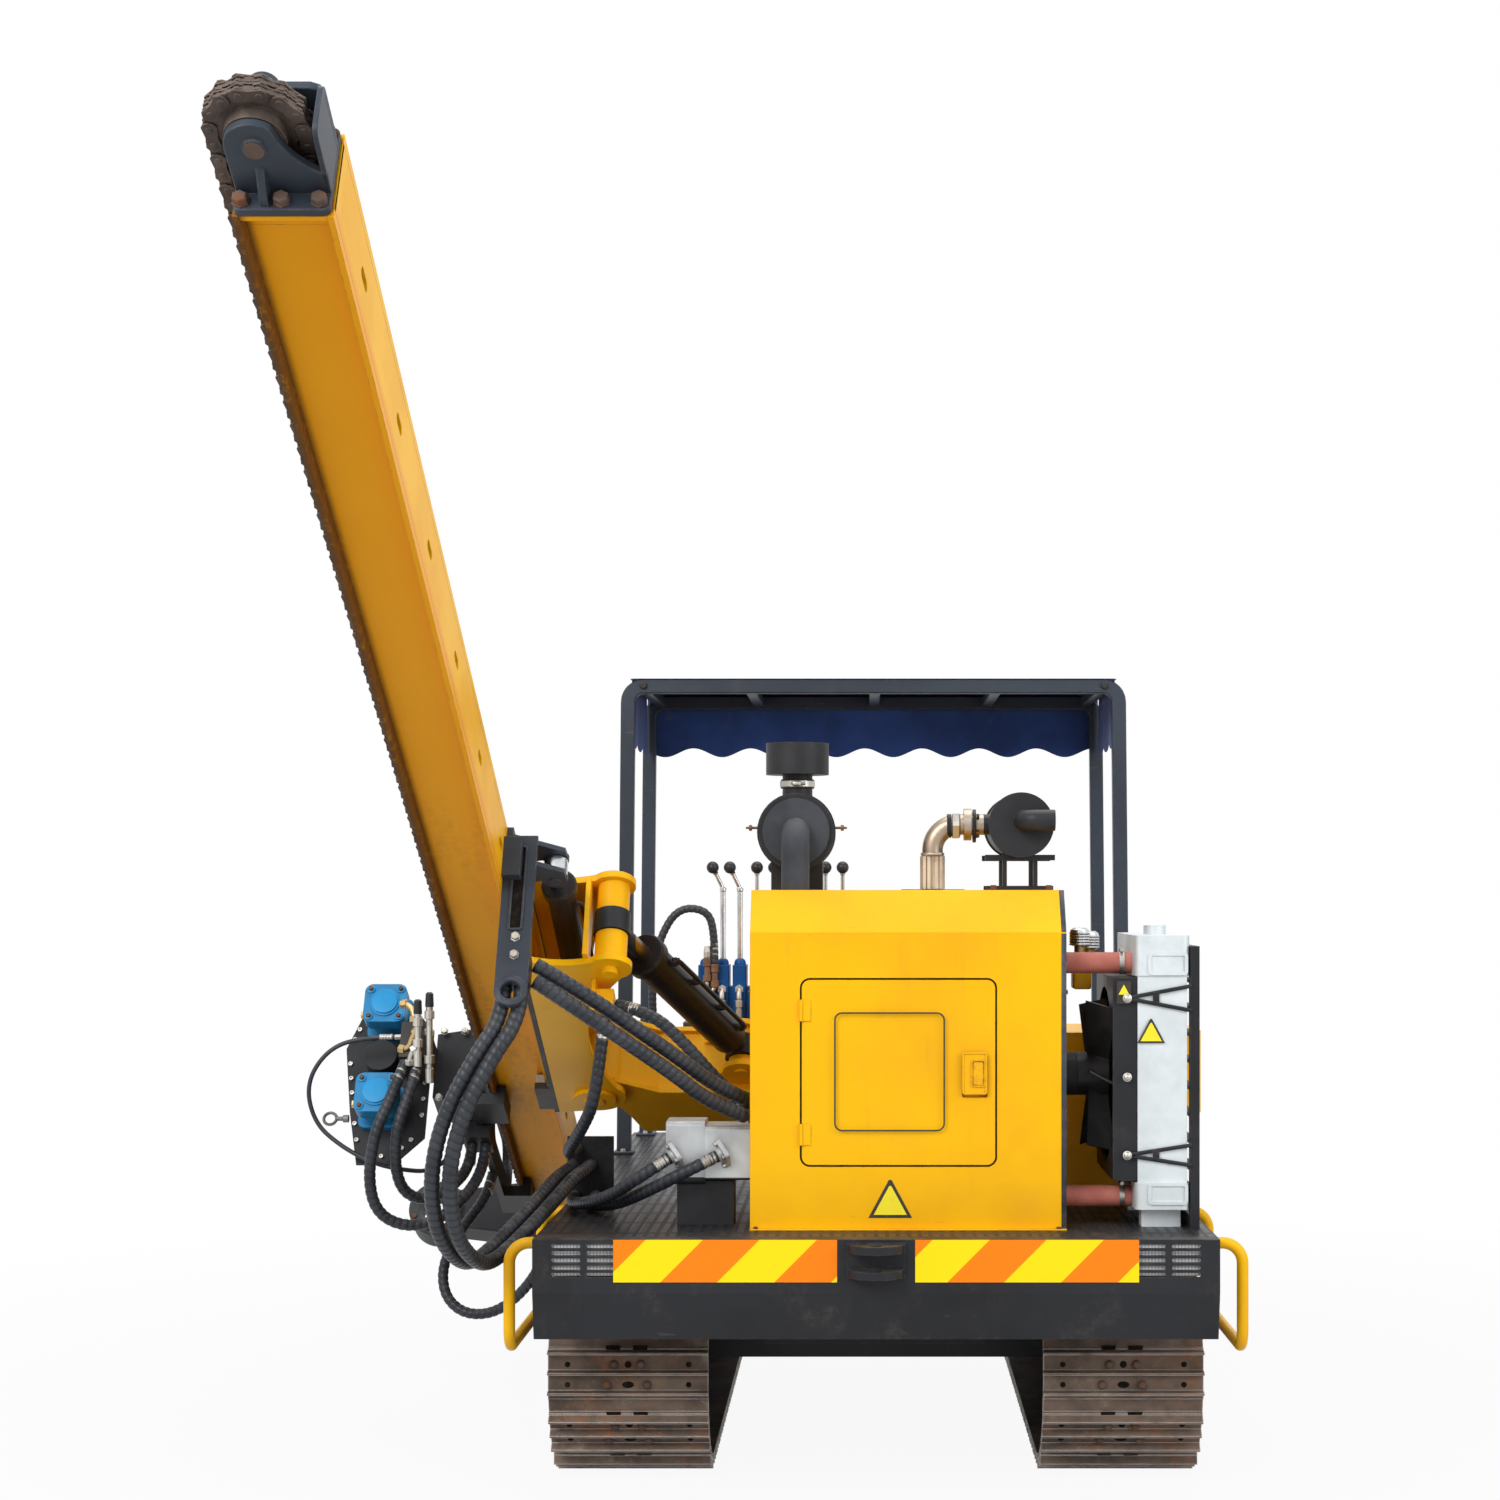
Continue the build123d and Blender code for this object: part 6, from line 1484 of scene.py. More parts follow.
class RigCanopyFrame(bpy.types.Operator):
    """Canopy frame: two bent hoops, five rails and the feet"""

    bl_idname = "rig.canopy_frame"
    bl_label = "Canopy frame"

    def execute(self, context):
        bar, foot_out, bend, deck_top = 0.050, 0.015, 0.056, 0.735
        hoops = ((0.850, 0.880, 2.435), (1.550, 0.860, 2.425))
        parts = []
        for y, half, top in hoops:
            outline = []
            for grow in (0.5, -0.5):
                # the outer line up, over and down, then the inner line back
                line = []
                wide, high, curve = half + grow * bar, top - bar / 2 + grow * bar, bend + grow * bar
                for step in range(7):
                    angle = pi - step * pi / 12
                    line.append((-wide + curve + curve * cos(angle), high - curve + curve * sin(angle)))
                line = [(-wide - foot_out, deck_top + 0.008)] + line
                line += [(-x, z) for x, z in reversed(line)]
                outline += line if grow > 0 else line[::-1]
            hoop = plate([(x, -z) for x, z in outline], bar, bevel=0.004)
            parts.append(onto(hoop, (0, y - bar / 2, 0), front))
            for side in (-1, 1):
                parts.append(
                    moved(
                        block((0.070, 0.110, 0.010), 0.002, 1), side * (half + foot_out), y, deck_top + 0.005
                    )
                )
        for x in (-0.820, -0.440, 0.005, 0.440, 0.820):
            parts.append(moved(block((0.040, 0.660, 0.036), 0.004, 2), x, 1.200, 2.405))
        frame_piece = joined(*parts)
        show(frame_piece, "canopy_hoops", "root", "slate_paint")
        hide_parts("canopy_frame")
        bolts = [
            facing((side * (half + foot_out), y + far, deck_top + 0.010), up)
            for y, half, _ in hoops for side in (-1, 1) for far in (-0.043, 0.043)
        ]
        bolted("canopy_foot_bolts", "root", 0.017, 0.010, bolts)
        return {"FINISHED"}


class RigRodGuide(bpy.types.Operator):
    """Guide ring for the drill rods with its arm on the mast"""

    bl_idname = "rig.rod_guide"
    bl_label = "Rod guide"

    def execute(self, context):
        low, high = -1.220, -1.100
        near, far = mast_outer - 0.0002, spindle_x + 0.070
        outline = [
            (near, 0.105), (far, 0.070), (far, -0.070), (near, -0.105), (near, -0.034),
            (near - 0.060, -0.034),
            (near - 0.060, 0.034), (near, 0.034),
        ]
        arm = moved(plate(outline, high - low, bevel=0.004), 0, 0, low)
        ring = moved(
            turned([(0.098, 0), (0.102, 0.004), (0.102, high - low - 0.004), (0.098, high - low)], 48),
            spindle_x, 0, low
        )
        bore = moved(turned([(0.065, 0), (0.065, 0.3)], 48), spindle_x, 0, low - 0.09)
        ring = settle(
            joined(painted(cut(ring, bore), "engine_iron"), painted(arm, "black_paint")), across_mast(0)
        )
        smooth()
        show(ring, "rod_guide_ring", "mast", None)
        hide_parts("rod_clamp")
        places = []
        for step in range(8):
            angle = radians(22.5 + 45 * step)
            places.append(facing(on_mast(spindle_x + 0.084 * cos(angle), high, 0.084 * sin(angle)), up_mast))
        bolted("rod_guide_bolts", "mast", 0.016, 0.010, places, "rusty_bolt")
        return {"FINISHED"}


# ---- tracks ----
track_middle = 0.695
axle_height, wheel_radius, half_base = 0.3224, 0.2451, 0.8855
shoe_pitch, shoe_face = 0.154, 0.050


def shoe_places(side):
    """A frame on each shoe's face: +X across the track, +Y along its travel, +Z outwards."""
    arc = pi * wheel_radius
    places = []
    for number in range(33):
        run = (number + 0.5) * shoe_pitch
        if run < 2 * half_base:
            centre, out = Vector((0, run - half_base, axle_height - wheel_radius)), -up
        elif run < 2 * half_base + arc:
            angle = (run - 2 * half_base) / wheel_radius
            out = Vector((0, sin(angle), -cos(angle)))
            centre = Vector((0, half_base, axle_height)) + out * wheel_radius
        elif run < 4 * half_base + arc:
            centre, out = Vector((0, 3 * half_base + arc - run, axle_height + wheel_radius)), up
        else:
            angle = (run - 4 * half_base - arc) / wheel_radius
            out = Vector((0, -sin(angle), cos(angle)))
            centre = Vector((0, -half_base, axle_height)) + out * wheel_radius
        centre.x = side * track_middle
        places.append(facing(centre + out * shoe_face, out))
    return places


class RigShoes(bpy.types.Operator):
    """Bolts of the track shoes, and dark plates of painted shade in their bolt holes and mud windows"""

    bl_idname = "rig.shoes"
    bl_label = "Track shoes"

    def execute(self, context):
        bolts, holes = [], []
        # bolts, and dark plates of painted shade for the holes, by (across, along) on one shoe's face
        for x, y in ((-0.040, 0.026), (0.036, 0.026), (-0.060, -0.031), (0.053, -0.031)):
            head = turned(
                [(0.0135, -0.002), (0.0135, 0.002), (0.0115, 0.003), (0.0115, 0.011), (0.007, 0.014)], 8,
                False
            )
            bolts.append(moved(head, x, y))
        rims = ((0, 0.026, 0.010, 0.010), (0, -0.031, 0.017, 0.0095))
        rims += tuple((side * 0.170, y, 0.008, 0.008) for side in (-1, 1) for y in (0.026, -0.031))
        for x, y, wide, high in rims:
            outline = [(wide * cos(pi * step / 6), high * sin(pi * step / 6)) for step in range(12)]
            holes.append(moved(plate(outline, 0.0012), x, y, -0.0006))
        for x in (-0.042, 0.034):
            arch = [
                (0.021, -0.012), (0.019, 0.004), (0.010, 0.011), (-0.010, 0.011), (-0.019, 0.004),
                (-0.021, -0.012)
            ]
            holes.append(moved(plate([(-a, -b) for a, b in arch], 0.0012), x, 0.067, -0.0006))
        places = shoe_places(-1) + shoe_places(1)
        show(copies(joined(*bolts), places), "shoe_bolts", "root", "rusty_bolt")
        show(copies(joined(*holes), places), "shoe_holes", "root", "hole_dark")
        return {"FINISHED"}


# ---- engine cover and door ----
def sign(size, way, place):
    """A blank warning triangle with a black rim, point up."""
    rim = [
        (size * 0.5 * x, size * 0.44 * y)
        for x, y in ((1, -1), (0.93, -0.86), (0.06, 0.97), (-0.06, 0.97), (-0.93, -0.86), (-1, -1))
    ]
    face = [(x * 0.76, y * 0.76 - size * 0.035) for x, y in rim]
    black = painted(plate(rim, 0.0008), "line_black")
    yellow = painted(moved(plate(face, 0.0006), 0, 0, 0.0006), "sign_yellow")
    return onto(joined(black, yellow), place, way)


def frame_plate(width, height, corner, line, thick):
    """The raised outline of a rounded rectangle."""
    return plate(rounded(width, height, corner), thick, hole=line)


class RigCover(bpy.types.Operator):
    """Panel lines as painted shade round the door, latch, blank sign, edge strip and screws of the engine
    cover
    """

    bl_idname = "rig.cover"
    bl_label = "Cover trims"

    def execute(self, context):
        low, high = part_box("engine_cover")
        face, door_face, back = low.y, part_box("engine_door")[0].y, -front
        latch_x, latch_z, panel_x = 0.2745, 1.171, 0.038
        slope_run, slope_drop = 0.095, 0.118
        # painted shade: the dark outline round the door stands for the shade in its seam
        panel = painted(frame_plate(0.308, 0.331, 0.022, 0.0046, 0.0008), "line_black")
        onto(panel, (panel_x, door_face, latch_z + 0.004), back)
        latch = []
        for width, tall, line, deep, shift in (
            (0.070, 0.118, 0.006, 0.003, 0.0), (0.040, 0.076, 0.004, 0.005, 0.010)
        ):
            rim = painted(frame_plate(width, tall, 0.008, line, deep), "yellow_paint")
            latch.append(onto(rim, (latch_x + shift, door_face, latch_z), back))
        paddle = painted(plate(rounded(0.030, 0.066, 0.004), 0.0035, 0.001), "yellow_paint")
        latch.append(onto(paddle, (latch_x + 0.010, door_face, latch_z), back))
        # painted shade: a dark plate round the latch's pull, where the recess lies
        recess_shade = painted(plate(rounded(0.060, 0.108, 0.005), 0.0008), "hole_dark")
        latch.append(onto(recess_shade, (latch_x, door_face, latch_z), back))
        pull = painted(plate(rounded(0.058, 0.106, 0.005), 0.0012), "yellow_paint")
        latch.append(onto(pull, (latch_x, door_face, latch_z), back))
        show(joined(panel, *latch), "door_trims", "door", None)
        parts = [sign(0.122, back, Vector((0.040, face - 0.0002, 0.822)))]
        # edge strip down the right of the rear face and over the slope
        strip = painted(block((0.014, 0.002, high.z - slope_drop - low.z - 0.006), 0.0006, 1), "slate_paint")
        parts.append(moved(strip, high.x - 0.007, face - 0.0008, (low.z + high.z - slope_drop) / 2))
        slope = Vector((0, slope_run, slope_drop))
        strip = painted(block((0.014, slope.length - 0.002, 0.002), 0.0006, 1), "slate_paint")
        lie = facing(
            (high.x - 0.007, face + slope_run / 2, high.z - slope_drop / 2),
            Vector((0, -slope_drop, slope_run))
        )
        parts.append(settle(strip, lie))
        lip = painted(block((high.x - low.x, 0.020, 0.004), 0.001, 1), "yellow_paint")
        parts.append(moved(lip, (low.x + high.x) / 2, face - 0.010, low.z + 0.002))
        screws = []
        for x in (low.x + 0.016, high.x - 0.022):
            screws.append(facing((x, face - 0.010, low.z + 0.004), up))
        for z in (low.z + 0.30, low.z + 0.66):
            screws.append(facing((high.x, low.y + 0.03, z), right))
            screws.append(facing((low.x, low.y + 0.03, z), -right))
        parts.append(painted(copies(hexagon(0.013, 0.006), screws), "rusty_bolt"))
        show(joined(*parts), "cover_trims", "root", None)
        return {"FINISHED"}


# ---- radiator ----
def strap(reach, spread, bar=0.011, thick=0.004):
    """An A-shaped strap: two legs that spread from a bolt, tied by a bar."""
    legs = []
    for side in (-1, 1):
        leg = Vector((reach, side * spread, 0))
        piece = block((leg.length + 0.008, bar, thick), 0.0008, 1)
        turn = Matrix.Rotation(side * leg.angle(right), 4, "Z")
        legs.append(settle(piece, Matrix.Translation(leg / 2) @ turn))
    tie = block((0.018, spread * 1.02, thick * 0.9), 0.0008, 1)
    legs.append(moved(tie, reach * 0.46, 0))
    return joined(*legs)


def band(radius, wide, thick=0.0016):
    """A clamp's band along +Z with its screw housing on the -Y side."""
    ring = turned([(radius, 0), (radius + thick, 0), (radius + thick, wide), (radius, wide)], 28)
    screw = block((0.024, 0.010, wide * 0.8), 0.002, 1)
    moved(screw, 0, -radius - 0.006, wide / 2)
    bolt = settle(
        turned([(0.004, 0), (0.004, 0.034), (0.0055, 0.034), (0.0055, 0.042)], 8, False),
        Matrix.Translation((-0.017, -radius - 0.007, wide / 2)) @ Matrix.Rotation(pi / 2, 4, "Y")
    )
    return painted(joined(ring, screw, bolt), "zinc")


class RigRadiator(bpy.types.Operator):
    """Straps, tank rims, bolts, blank signs, hose clamps and filters beside the radiator"""

    bl_idname = "rig.radiator"
    bl_label = "Radiator and belt"

    def execute(self, context):
        low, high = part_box("radiator")
        back, face = -front, low.y
        upper, middle, lower = 1.378, 1.158, 0.940
        card_x, card_face = 0.692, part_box("radiator_shroud")[0].y
        parts = []
        for z, spread in ((upper, 0.034), (lower, 0.028)):
            piece = painted(strap(high.x + 0.004 - low.x - 0.012, spread), "black_paint")
            parts.append(onto(piece, (low.x + 0.010, face - 0.002, z), back))
        for z in (upper, middle, lower):
            bolt = painted(
                turned([(0.013, 0), (0.013, 0.004), (0.010, 0.005), (0.009, 0.009), (0.004, 0.012)], 12),
                "zinc"
            )
            parts.append(onto(bolt, (low.x + 0.012, face - 0.0035, z), back))
        for z, tall in ((1.474, 0.064), (0.832, 0.062)):
            rim = painted(plate(rounded(0.112, tall, 0.012), 0.004, hole=0.010), "radiator_alloy")
            parts.append(onto(rim, (high.x - 0.062, face, z), back))
        parts.append(sign(0.078, back, Vector((0.768, face - 0.0005, 1.287))))
        card = painted(plate(rounded(0.040, 0.062, 0.003), 0.0008), "line_black")
        onto(card, (card_x, card_face, 1.394), back)
        mark = painted(plate([(0.015, -0.012), (0, 0.016), (-0.015, -0.012)], 0.0006), "sign_yellow")
        parts += [card, onto(mark, (card_x, card_face - 0.0006, 1.400), back)]
        show(joined(*parts), "radiator_trims", "root", None)
        hoses_low, hoses_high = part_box("coolant_hoses")
        clamps = []
        for z in (hoses_high.z - 0.030, hoses_low.z + 0.030):
            clamp = band(0.0303, 0.014)
            clamps.append(onto(clamp, (hoses_high.x - 0.034, -1.120, z), right, back))
        show(joined(*clamps), "hose_clamps", "root", None)
        # two filters on a bracket of the engine
        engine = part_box("engine_block")[1]
        bracket = painted(block((0.052, 0.10, 0.100), 0.006), "yellow_paint")
        moved(bracket, engine.x + 0.020, -0.900, engine.z - 0.058)
        cups = [bracket]
        for x, y, z in (
            (engine.x + 0.014, -0.925, engine.z - 0.010), (engine.x + 0.046, -0.868, engine.z - 0.020)
        ):
            neck = painted(moved(turned([(0.016, 0), (0.016, 0.03)], 16), x, y, z), "brass")
            rings = [(0.020, 0.026), (0.030, 0.030)]
            for number in range(5):
                rings += [(0.031, 0.032 + number * 0.008), (0.0285, 0.036 + number * 0.008)]
            cup = painted(turned(rings + [(0.027, 0.074), (0.018, 0.080)], 20), "chrome")
            cups += [neck, moved(cup, x, y, z)]
        show(joined(*cups), "fuel_filters", "root", None)
        return {"FINISHED"}


# ---- air cleaner, silencer and canopy ----
class RigBreathing(bpy.types.Operator):
    """Bands and wing bolts of the air cleaner, nut and flex pipe of the silencer"""

    bl_idname = "rig.breathing"
    bl_label = "Air cleaner and silencer"

    def execute(self, context):
        drum = Vector((-0.228, 0, 1.847))
        parts = [onto(band(0.0495, 0.017), (drum.x, -0.860, 1.9815), up)]
        rim = painted(
            turned([(0.108, 0), (0.1135, 0.002), (0.1135, 0.016), (0.110, 0.018)], 40), "black_paint"
        )
        parts.append(onto(rim, (drum.x, -0.990, drum.z), front))
        hoop = painted(turned([(0.110, 0), (0.1125, 0.001), (0.1125, 0.012), (0.110, 0.013)], 40), "zinc")
        parts.append(onto(hoop, (drum.x, -0.936, drum.z), front))
        for side in (-1, 1):
            bolt = turned(
                [(0.004, 0), (0.004, 0.018), (0.009, 0.018), (0.009, 0.026), (0.004, 0.027), (0.003, 0.036)],
                10, False
            )
            parts.append(
                painted(
                    onto(bolt, (drum.x + side * 0.110, -0.982, drum.z + 0.012), right * side), "brown_fitting"
                )
            )
        show(joined(*parts), "cleaner_trims", "root", None)
        centre = Vector((0.165, -0.960, 1.865))
        parts = []
        flutes = []
        for number in range(28):
            angle, wide = pi * number / 14, 0.0365 if number % 2 else 0.0315
            flutes.append((wide * cos(angle), wide * sin(angle)))
        flex = painted(plate(flutes, 0.095), "flex_steel")
        parts.append(onto(flex, (centre.x, centre.y, 1.6825), up))
        parts.append(onto(band(0.0325, 0.009), (centre.x, centre.y, 1.7785), up))
        for x, rings, sides, finish in (
            (0.206, [(0.031, 0), (0.0345, 0.001), (0.0345, 0.013), (0.031, 0.014)], 24, "black_paint"),
            (0.221, [(0.034, 0), (0.041, 0.002), (0.041, 0.020), (0.036, 0.024)], 6, "zinc"),
            (0.280, [(0.034, 0), (0.048, 0.001), (0.048, 0.010), (0.034, 0.011)], 24, "black_paint"),
        ):
            ring = painted(turned(rings, sides, sides > 6), finish)
            parts.append(onto(ring, (x, *centre.yz), right))
        for angle in range(4):
            turn = pi / 4 + angle * pi / 2
            bolt = painted(hexagon(0.012, 0.008), "rusty_bolt")
            place = Vector((0.2915, centre.y + 0.040 * cos(turn), centre.z + 0.040 * sin(turn)))
            parts.append(onto(bolt, place, right))
        foot = painted(plate(rounded(0.18, 0.13, 0.01), 0.0018), "black_paint")
        parts.append(onto(foot, (centre.x, centre.y, 1.6802), up))
        bolts = [facing((x, -1.066, 1.682), up) for x in (0.336, 0.494)]
        parts.append(painted(copies(hexagon(0.018, 0.012), bolts), "rusty_bolt"))
        show(joined(*parts), "exhaust_trims", "root", None)
        return {"FINISHED"}


class RigClothSizes(bpy.types.PropertyGroup):
    half: bpy.props.FloatProperty(
        name="Half width", description="From the middle to a side fold", default=0.870, unit="LENGTH"
    )
    hem: bpy.props.FloatProperty(
        name="Hem", description="How far the edges hang", default=0.226, unit="LENGTH"
    )
    scallop: bpy.props.FloatProperty(
        name="Scallop", description="Depth of the wavy edge", default=0.034, unit="LENGTH"
    )
    wave: bpy.props.FloatProperty(
        name="Wave", description="Width of one scallop", default=0.221, unit="LENGTH"
    )
    sag: bpy.props.FloatProperty(
        name="Sag", description="Sag of the sheet between the hoops", default=0.007, unit="LENGTH"
    )


class RigCanopy(bpy.types.Operator):
    """Canopy sheet with its hanging scalloped hems, and the beam bolts"""

    bl_idname = "rig.canopy"
    bl_label = "Canopy cloth"

    def execute(self, context):
        sizes = context.scene.rig_cloth_sizes
        low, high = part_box("canopy_cloth")
        half, rear, lip = sizes.half, low.y, high.y - 0.003
        level = high.z - 0.0045
        across, along = 176, 76
        reach, run = half + sizes.hem, (lip - rear) + sizes.hem

        def hem_length(run_along, part):
            wavy = (0.5 - 0.5 * cos(2 * pi * run_along / sizes.wave)) * part
            return sizes.hem + sizes.scallop * wavy - sizes.scallop * 0.5

        bpy.ops.object.select_all(action="DESELECT")
        bpy.ops.mesh.primitive_grid_add(x_subdivisions=across, y_subdivisions=along, size=2)
        sheet = bpy.context.active_object
        gone = []
        for vertex in sheet.data.vertices:
            s, t = vertex.co.x * reach, rear + (vertex.co.y + 1) / 2 * run
            side, drop = abs(s) - half, t - lip
            if (side > 0.004 and drop > 0.004) or (side > 0.004 and not 0.882 < t < 1.518):
                gone.append(vertex.index)
            x, y, z = s, t, level
            inside = sin(pi * (t - 0.85) / 0.70) if 0.85 < t < 1.55 else 0
            z -= sizes.sag * max(0, inside) * (0.75 + 0.25 * sin(s * 9.0))
            if drop > 0:
                # the front edge hangs in a wavy line, swinging a little in and out
                part = drop / sizes.hem
                length = hem_length(s + 0.03, part)
                y = lip + 0.006 * part * sin(2 * pi * s / sizes.wave * 1.03 + 0.8) - 0.004 * part
                z = level - length * part
            elif side > 0:
                part = side / sizes.hem
                length = hem_length(t, part)
                x = (half + 0.004 * part * sin(2 * pi * t / sizes.wave)) * (1 if s > 0 else -1)
                z = level - length * part
            vertex.co = (x, y, z)
        edit(sheet, "VERT")
        bpy.ops.object.mode_set(mode="OBJECT")
        for index in gone:
            sheet.data.vertices[index].select = True
        bpy.ops.object.mode_set(mode="EDIT")
        bpy.ops.mesh.delete(type="VERT")
        bpy.ops.object.mode_set(mode="OBJECT")
        thick = sheet.modifiers.new("thick", "SOLIDIFY")
        thick.thickness = 0.0012
        pick(sheet)
        bpy.ops.object.modifier_apply(modifier="thick")
        smooth(60)
        show(sheet, "canopy_sheet", "root", "blue_cloth")
        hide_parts("canopy_cloth")
        beam_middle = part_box("canopy_frame")[1].z - 0.023
        bolts = []
        for y, way in ((0.825, -front), (1.575, front)):
            bolts += [facing((x, y, beam_middle), way) for x in (-0.823, 0.827)]
        bolted("canopy_bolts", "root", 0.024, 0.012, bolts, "black_plastic")
        return {"FINISHED"}


# ---- small fittings ----
class RigHeadFittings(bpy.types.Operator):
    """Covers and bolts of the two motors, the port fittings and the lifting ring"""

    bl_idname = "rig.head_fittings"
    bl_label = "Power head fittings"

    def execute(self, context):
        face, middle, apart, pad_out = 0.206, -1.540, 0.154, 0.047
        ring_height, ring_depth = 0.045, 0.172
        covers, screws, plugs = [], [], []
        for depth in (-apart, apart):
            cover = turned([(0.047, 0), (0.047, 0.005), (0.041, 0.007), (0.041, 0.012), (0.030, 0.0135)], 32)
            covers.append(onto(cover, on_mast(middle, face - 0.0005, depth), up_mast))
            for x, y in ((-pad_out, -pad_out), (-pad_out, pad_out), (pad_out, -pad_out), (pad_out, pad_out)):
                pad = turned([(0.0135, 0), (0.0135, 0.004), (0.012, 0.005)], 16)
                covers.append(onto(pad, on_mast(middle + x, face - 0.0005, depth + y), up_mast))
                screws.append(facing(on_mast(middle + x, face + 0.0045, depth + y), up_mast))
            plugs.append(facing(on_mast(middle - 0.0655, face - 0.026, depth + 0.030), -right))
        show(joined(*covers), "motor_covers", "power_head", "motor_blue")
        bolted("motor_screws", "power_head", 0.014, 0.009, screws, "rusty_bolt")
        plugs = copies(hexagon(0.024, 0.010), plugs)
        show(plugs, "motor_plugs", "power_head", "brass")
        parts = []
        # two upright stacks of unions beside the port block, with dark caps, and their cross elbows
        for x, low, high in ((-1.408, 1.135, 1.330), (-1.372, 1.085, 1.352)):
            y = -0.470
            rings = [(0.011, 0), (0.013, 0.002), (0.013, 0.045), (0.010, 0.047), (0.010, 0.060)]
            stem = high - low
            rings += [
                (0.016, 0.061), (0.016, 0.085), (0.010, 0.087), (0.010, stem - 0.070), (0.0155, stem - 0.069),
                (0.0155, stem - 0.045), (0.011, stem - 0.043), (0.011, stem - 0.03)
            ]
            parts.append(painted(moved(turned(rings, 12, False), x, y, low), "zinc"))
            cap = turned([(0.0125, 0), (0.0135, 0.002), (0.0120, 0.040), (0.007, 0.045)], 16)
            parts.append(painted(moved(cap, x, y, high - 0.032), "black_plastic"))
        for finish, points in (
            ("brass", ((-1.470, -0.410, 1.325), (-1.425, -0.425, 1.330), (-1.425, -0.440, 1.270))),
            (
                "brass",
                (
                    (-1.470, -0.440, 1.190), (-1.440, -0.452, 1.185), (-1.425, -0.455, 1.235),
                    (-1.408, -0.462, 1.250)
                )
            ),
            ("zinc", ((-1.435, -0.455, 1.140), (-1.435, -0.468, 1.180), (-1.410, -0.470, 1.195))),
            ("zinc", ((-1.389, -0.430, 1.240), (-1.372, -0.440, 1.240), (-1.372, -0.470, 1.240))),
        ):
            parts.append(painted(pipe(points, 0.0085, 12), finish))
            for place, other in ((points[0], points[1]), (points[-1], points[-2])):
                nut = turned([(0.013, 0), (0.0145, 0.002), (0.0145, 0.018), (0.013, 0.020)], 6, False)
                parts.append(painted(onto(nut, Vector(place), Vector(other) - Vector(place)), finish))
        show(joined(*parts), "port_fittings", "power_head", None)
        bpy.ops.object.select_all(action="DESELECT")
        bpy.ops.mesh.primitive_torus_add(
            major_segments=28, minor_segments=10, major_radius=0.020, minor_radius=0.0048
        )
        ring = bpy.context.active_object
        onto(ring, on_mast(-1.708, ring_height, ring_depth), up_mast)
        shank = onto(
            turned([(0.012, 0), (0.012, 0.016), (0.007, 0.020), (0.007, 0.040)], 14),
            on_mast(-1.650, ring_height, ring_depth), -right
        )
        show(joined(ring, shank), "lifting_ring", "power_head", "grey_iron")
        return {"FINISHED"}


class RigMastFittings(bpy.types.Operator):
    """Bolts, slot frame and eye rim of the hose hanger, and the bolts of the carriage and guides"""

    bl_idname = "rig.mast_fittings"
    bl_label = "Mast fittings"

    def execute(self, context):
        middle, face, slot_depth, eye_depth = -0.968, 1.380, -0.0945, -0.406
        rim = moved(frame_plate(0.040, 0.262, 0.010, 0.006, 0.006), middle, slot_depth, face - 0.0005)
        # painted shade: a dark plate inside the hanger's slot
        recess_shade = painted(
            moved(plate(rounded(0.030, 0.250, 0.008), 0.0015), middle, slot_depth, face - 0.0005), "hole_dark"
        )
        eye = moved(
            turned([(0.044, 0), (0.044, 0.004), (0.041, 0.006)], 36), middle, eye_depth, face - 0.0005
        )
        hole = moved(turned([(0.0265, 0), (0.0265, 0.05)], 36), middle, eye_depth, face - 0.02)
        frame_parts = joined(painted(rim, "slate_paint"), recess_shade, painted(cut(eye, hole), "slate_paint"))
        settle(frame_parts, across_mast(0))
        show(frame_parts, "hanger_trims", "mast", None)
        places = [facing(on_mast(middle + 0.003, face, depth), up_mast) for depth in (0.246, 0.300)]
        for height in (0.115, 0.185, 0.865, 0.935):
            places += [
                facing(on_mast(mast_inner + 0.0055, height, side * 0.1145), under_mast * side)
                for side in (-1, 1)
            ]
        bolted("hanger_bolts", "mast", 0.022, 0.014, places[:2])
        carriage = [
            facing(on_mast(x, 0.090, depth), up_mast) for x in (-1.365, -1.300) for depth in (-0.110, 0.120)
        ]
        bolted("carriage_bolts", "power_head", 0.020, 0.012, carriage)
        bolted("guide_bolts", "swing_frame", 0.018, 0.010, places[2:])
        return {"FINISHED"}


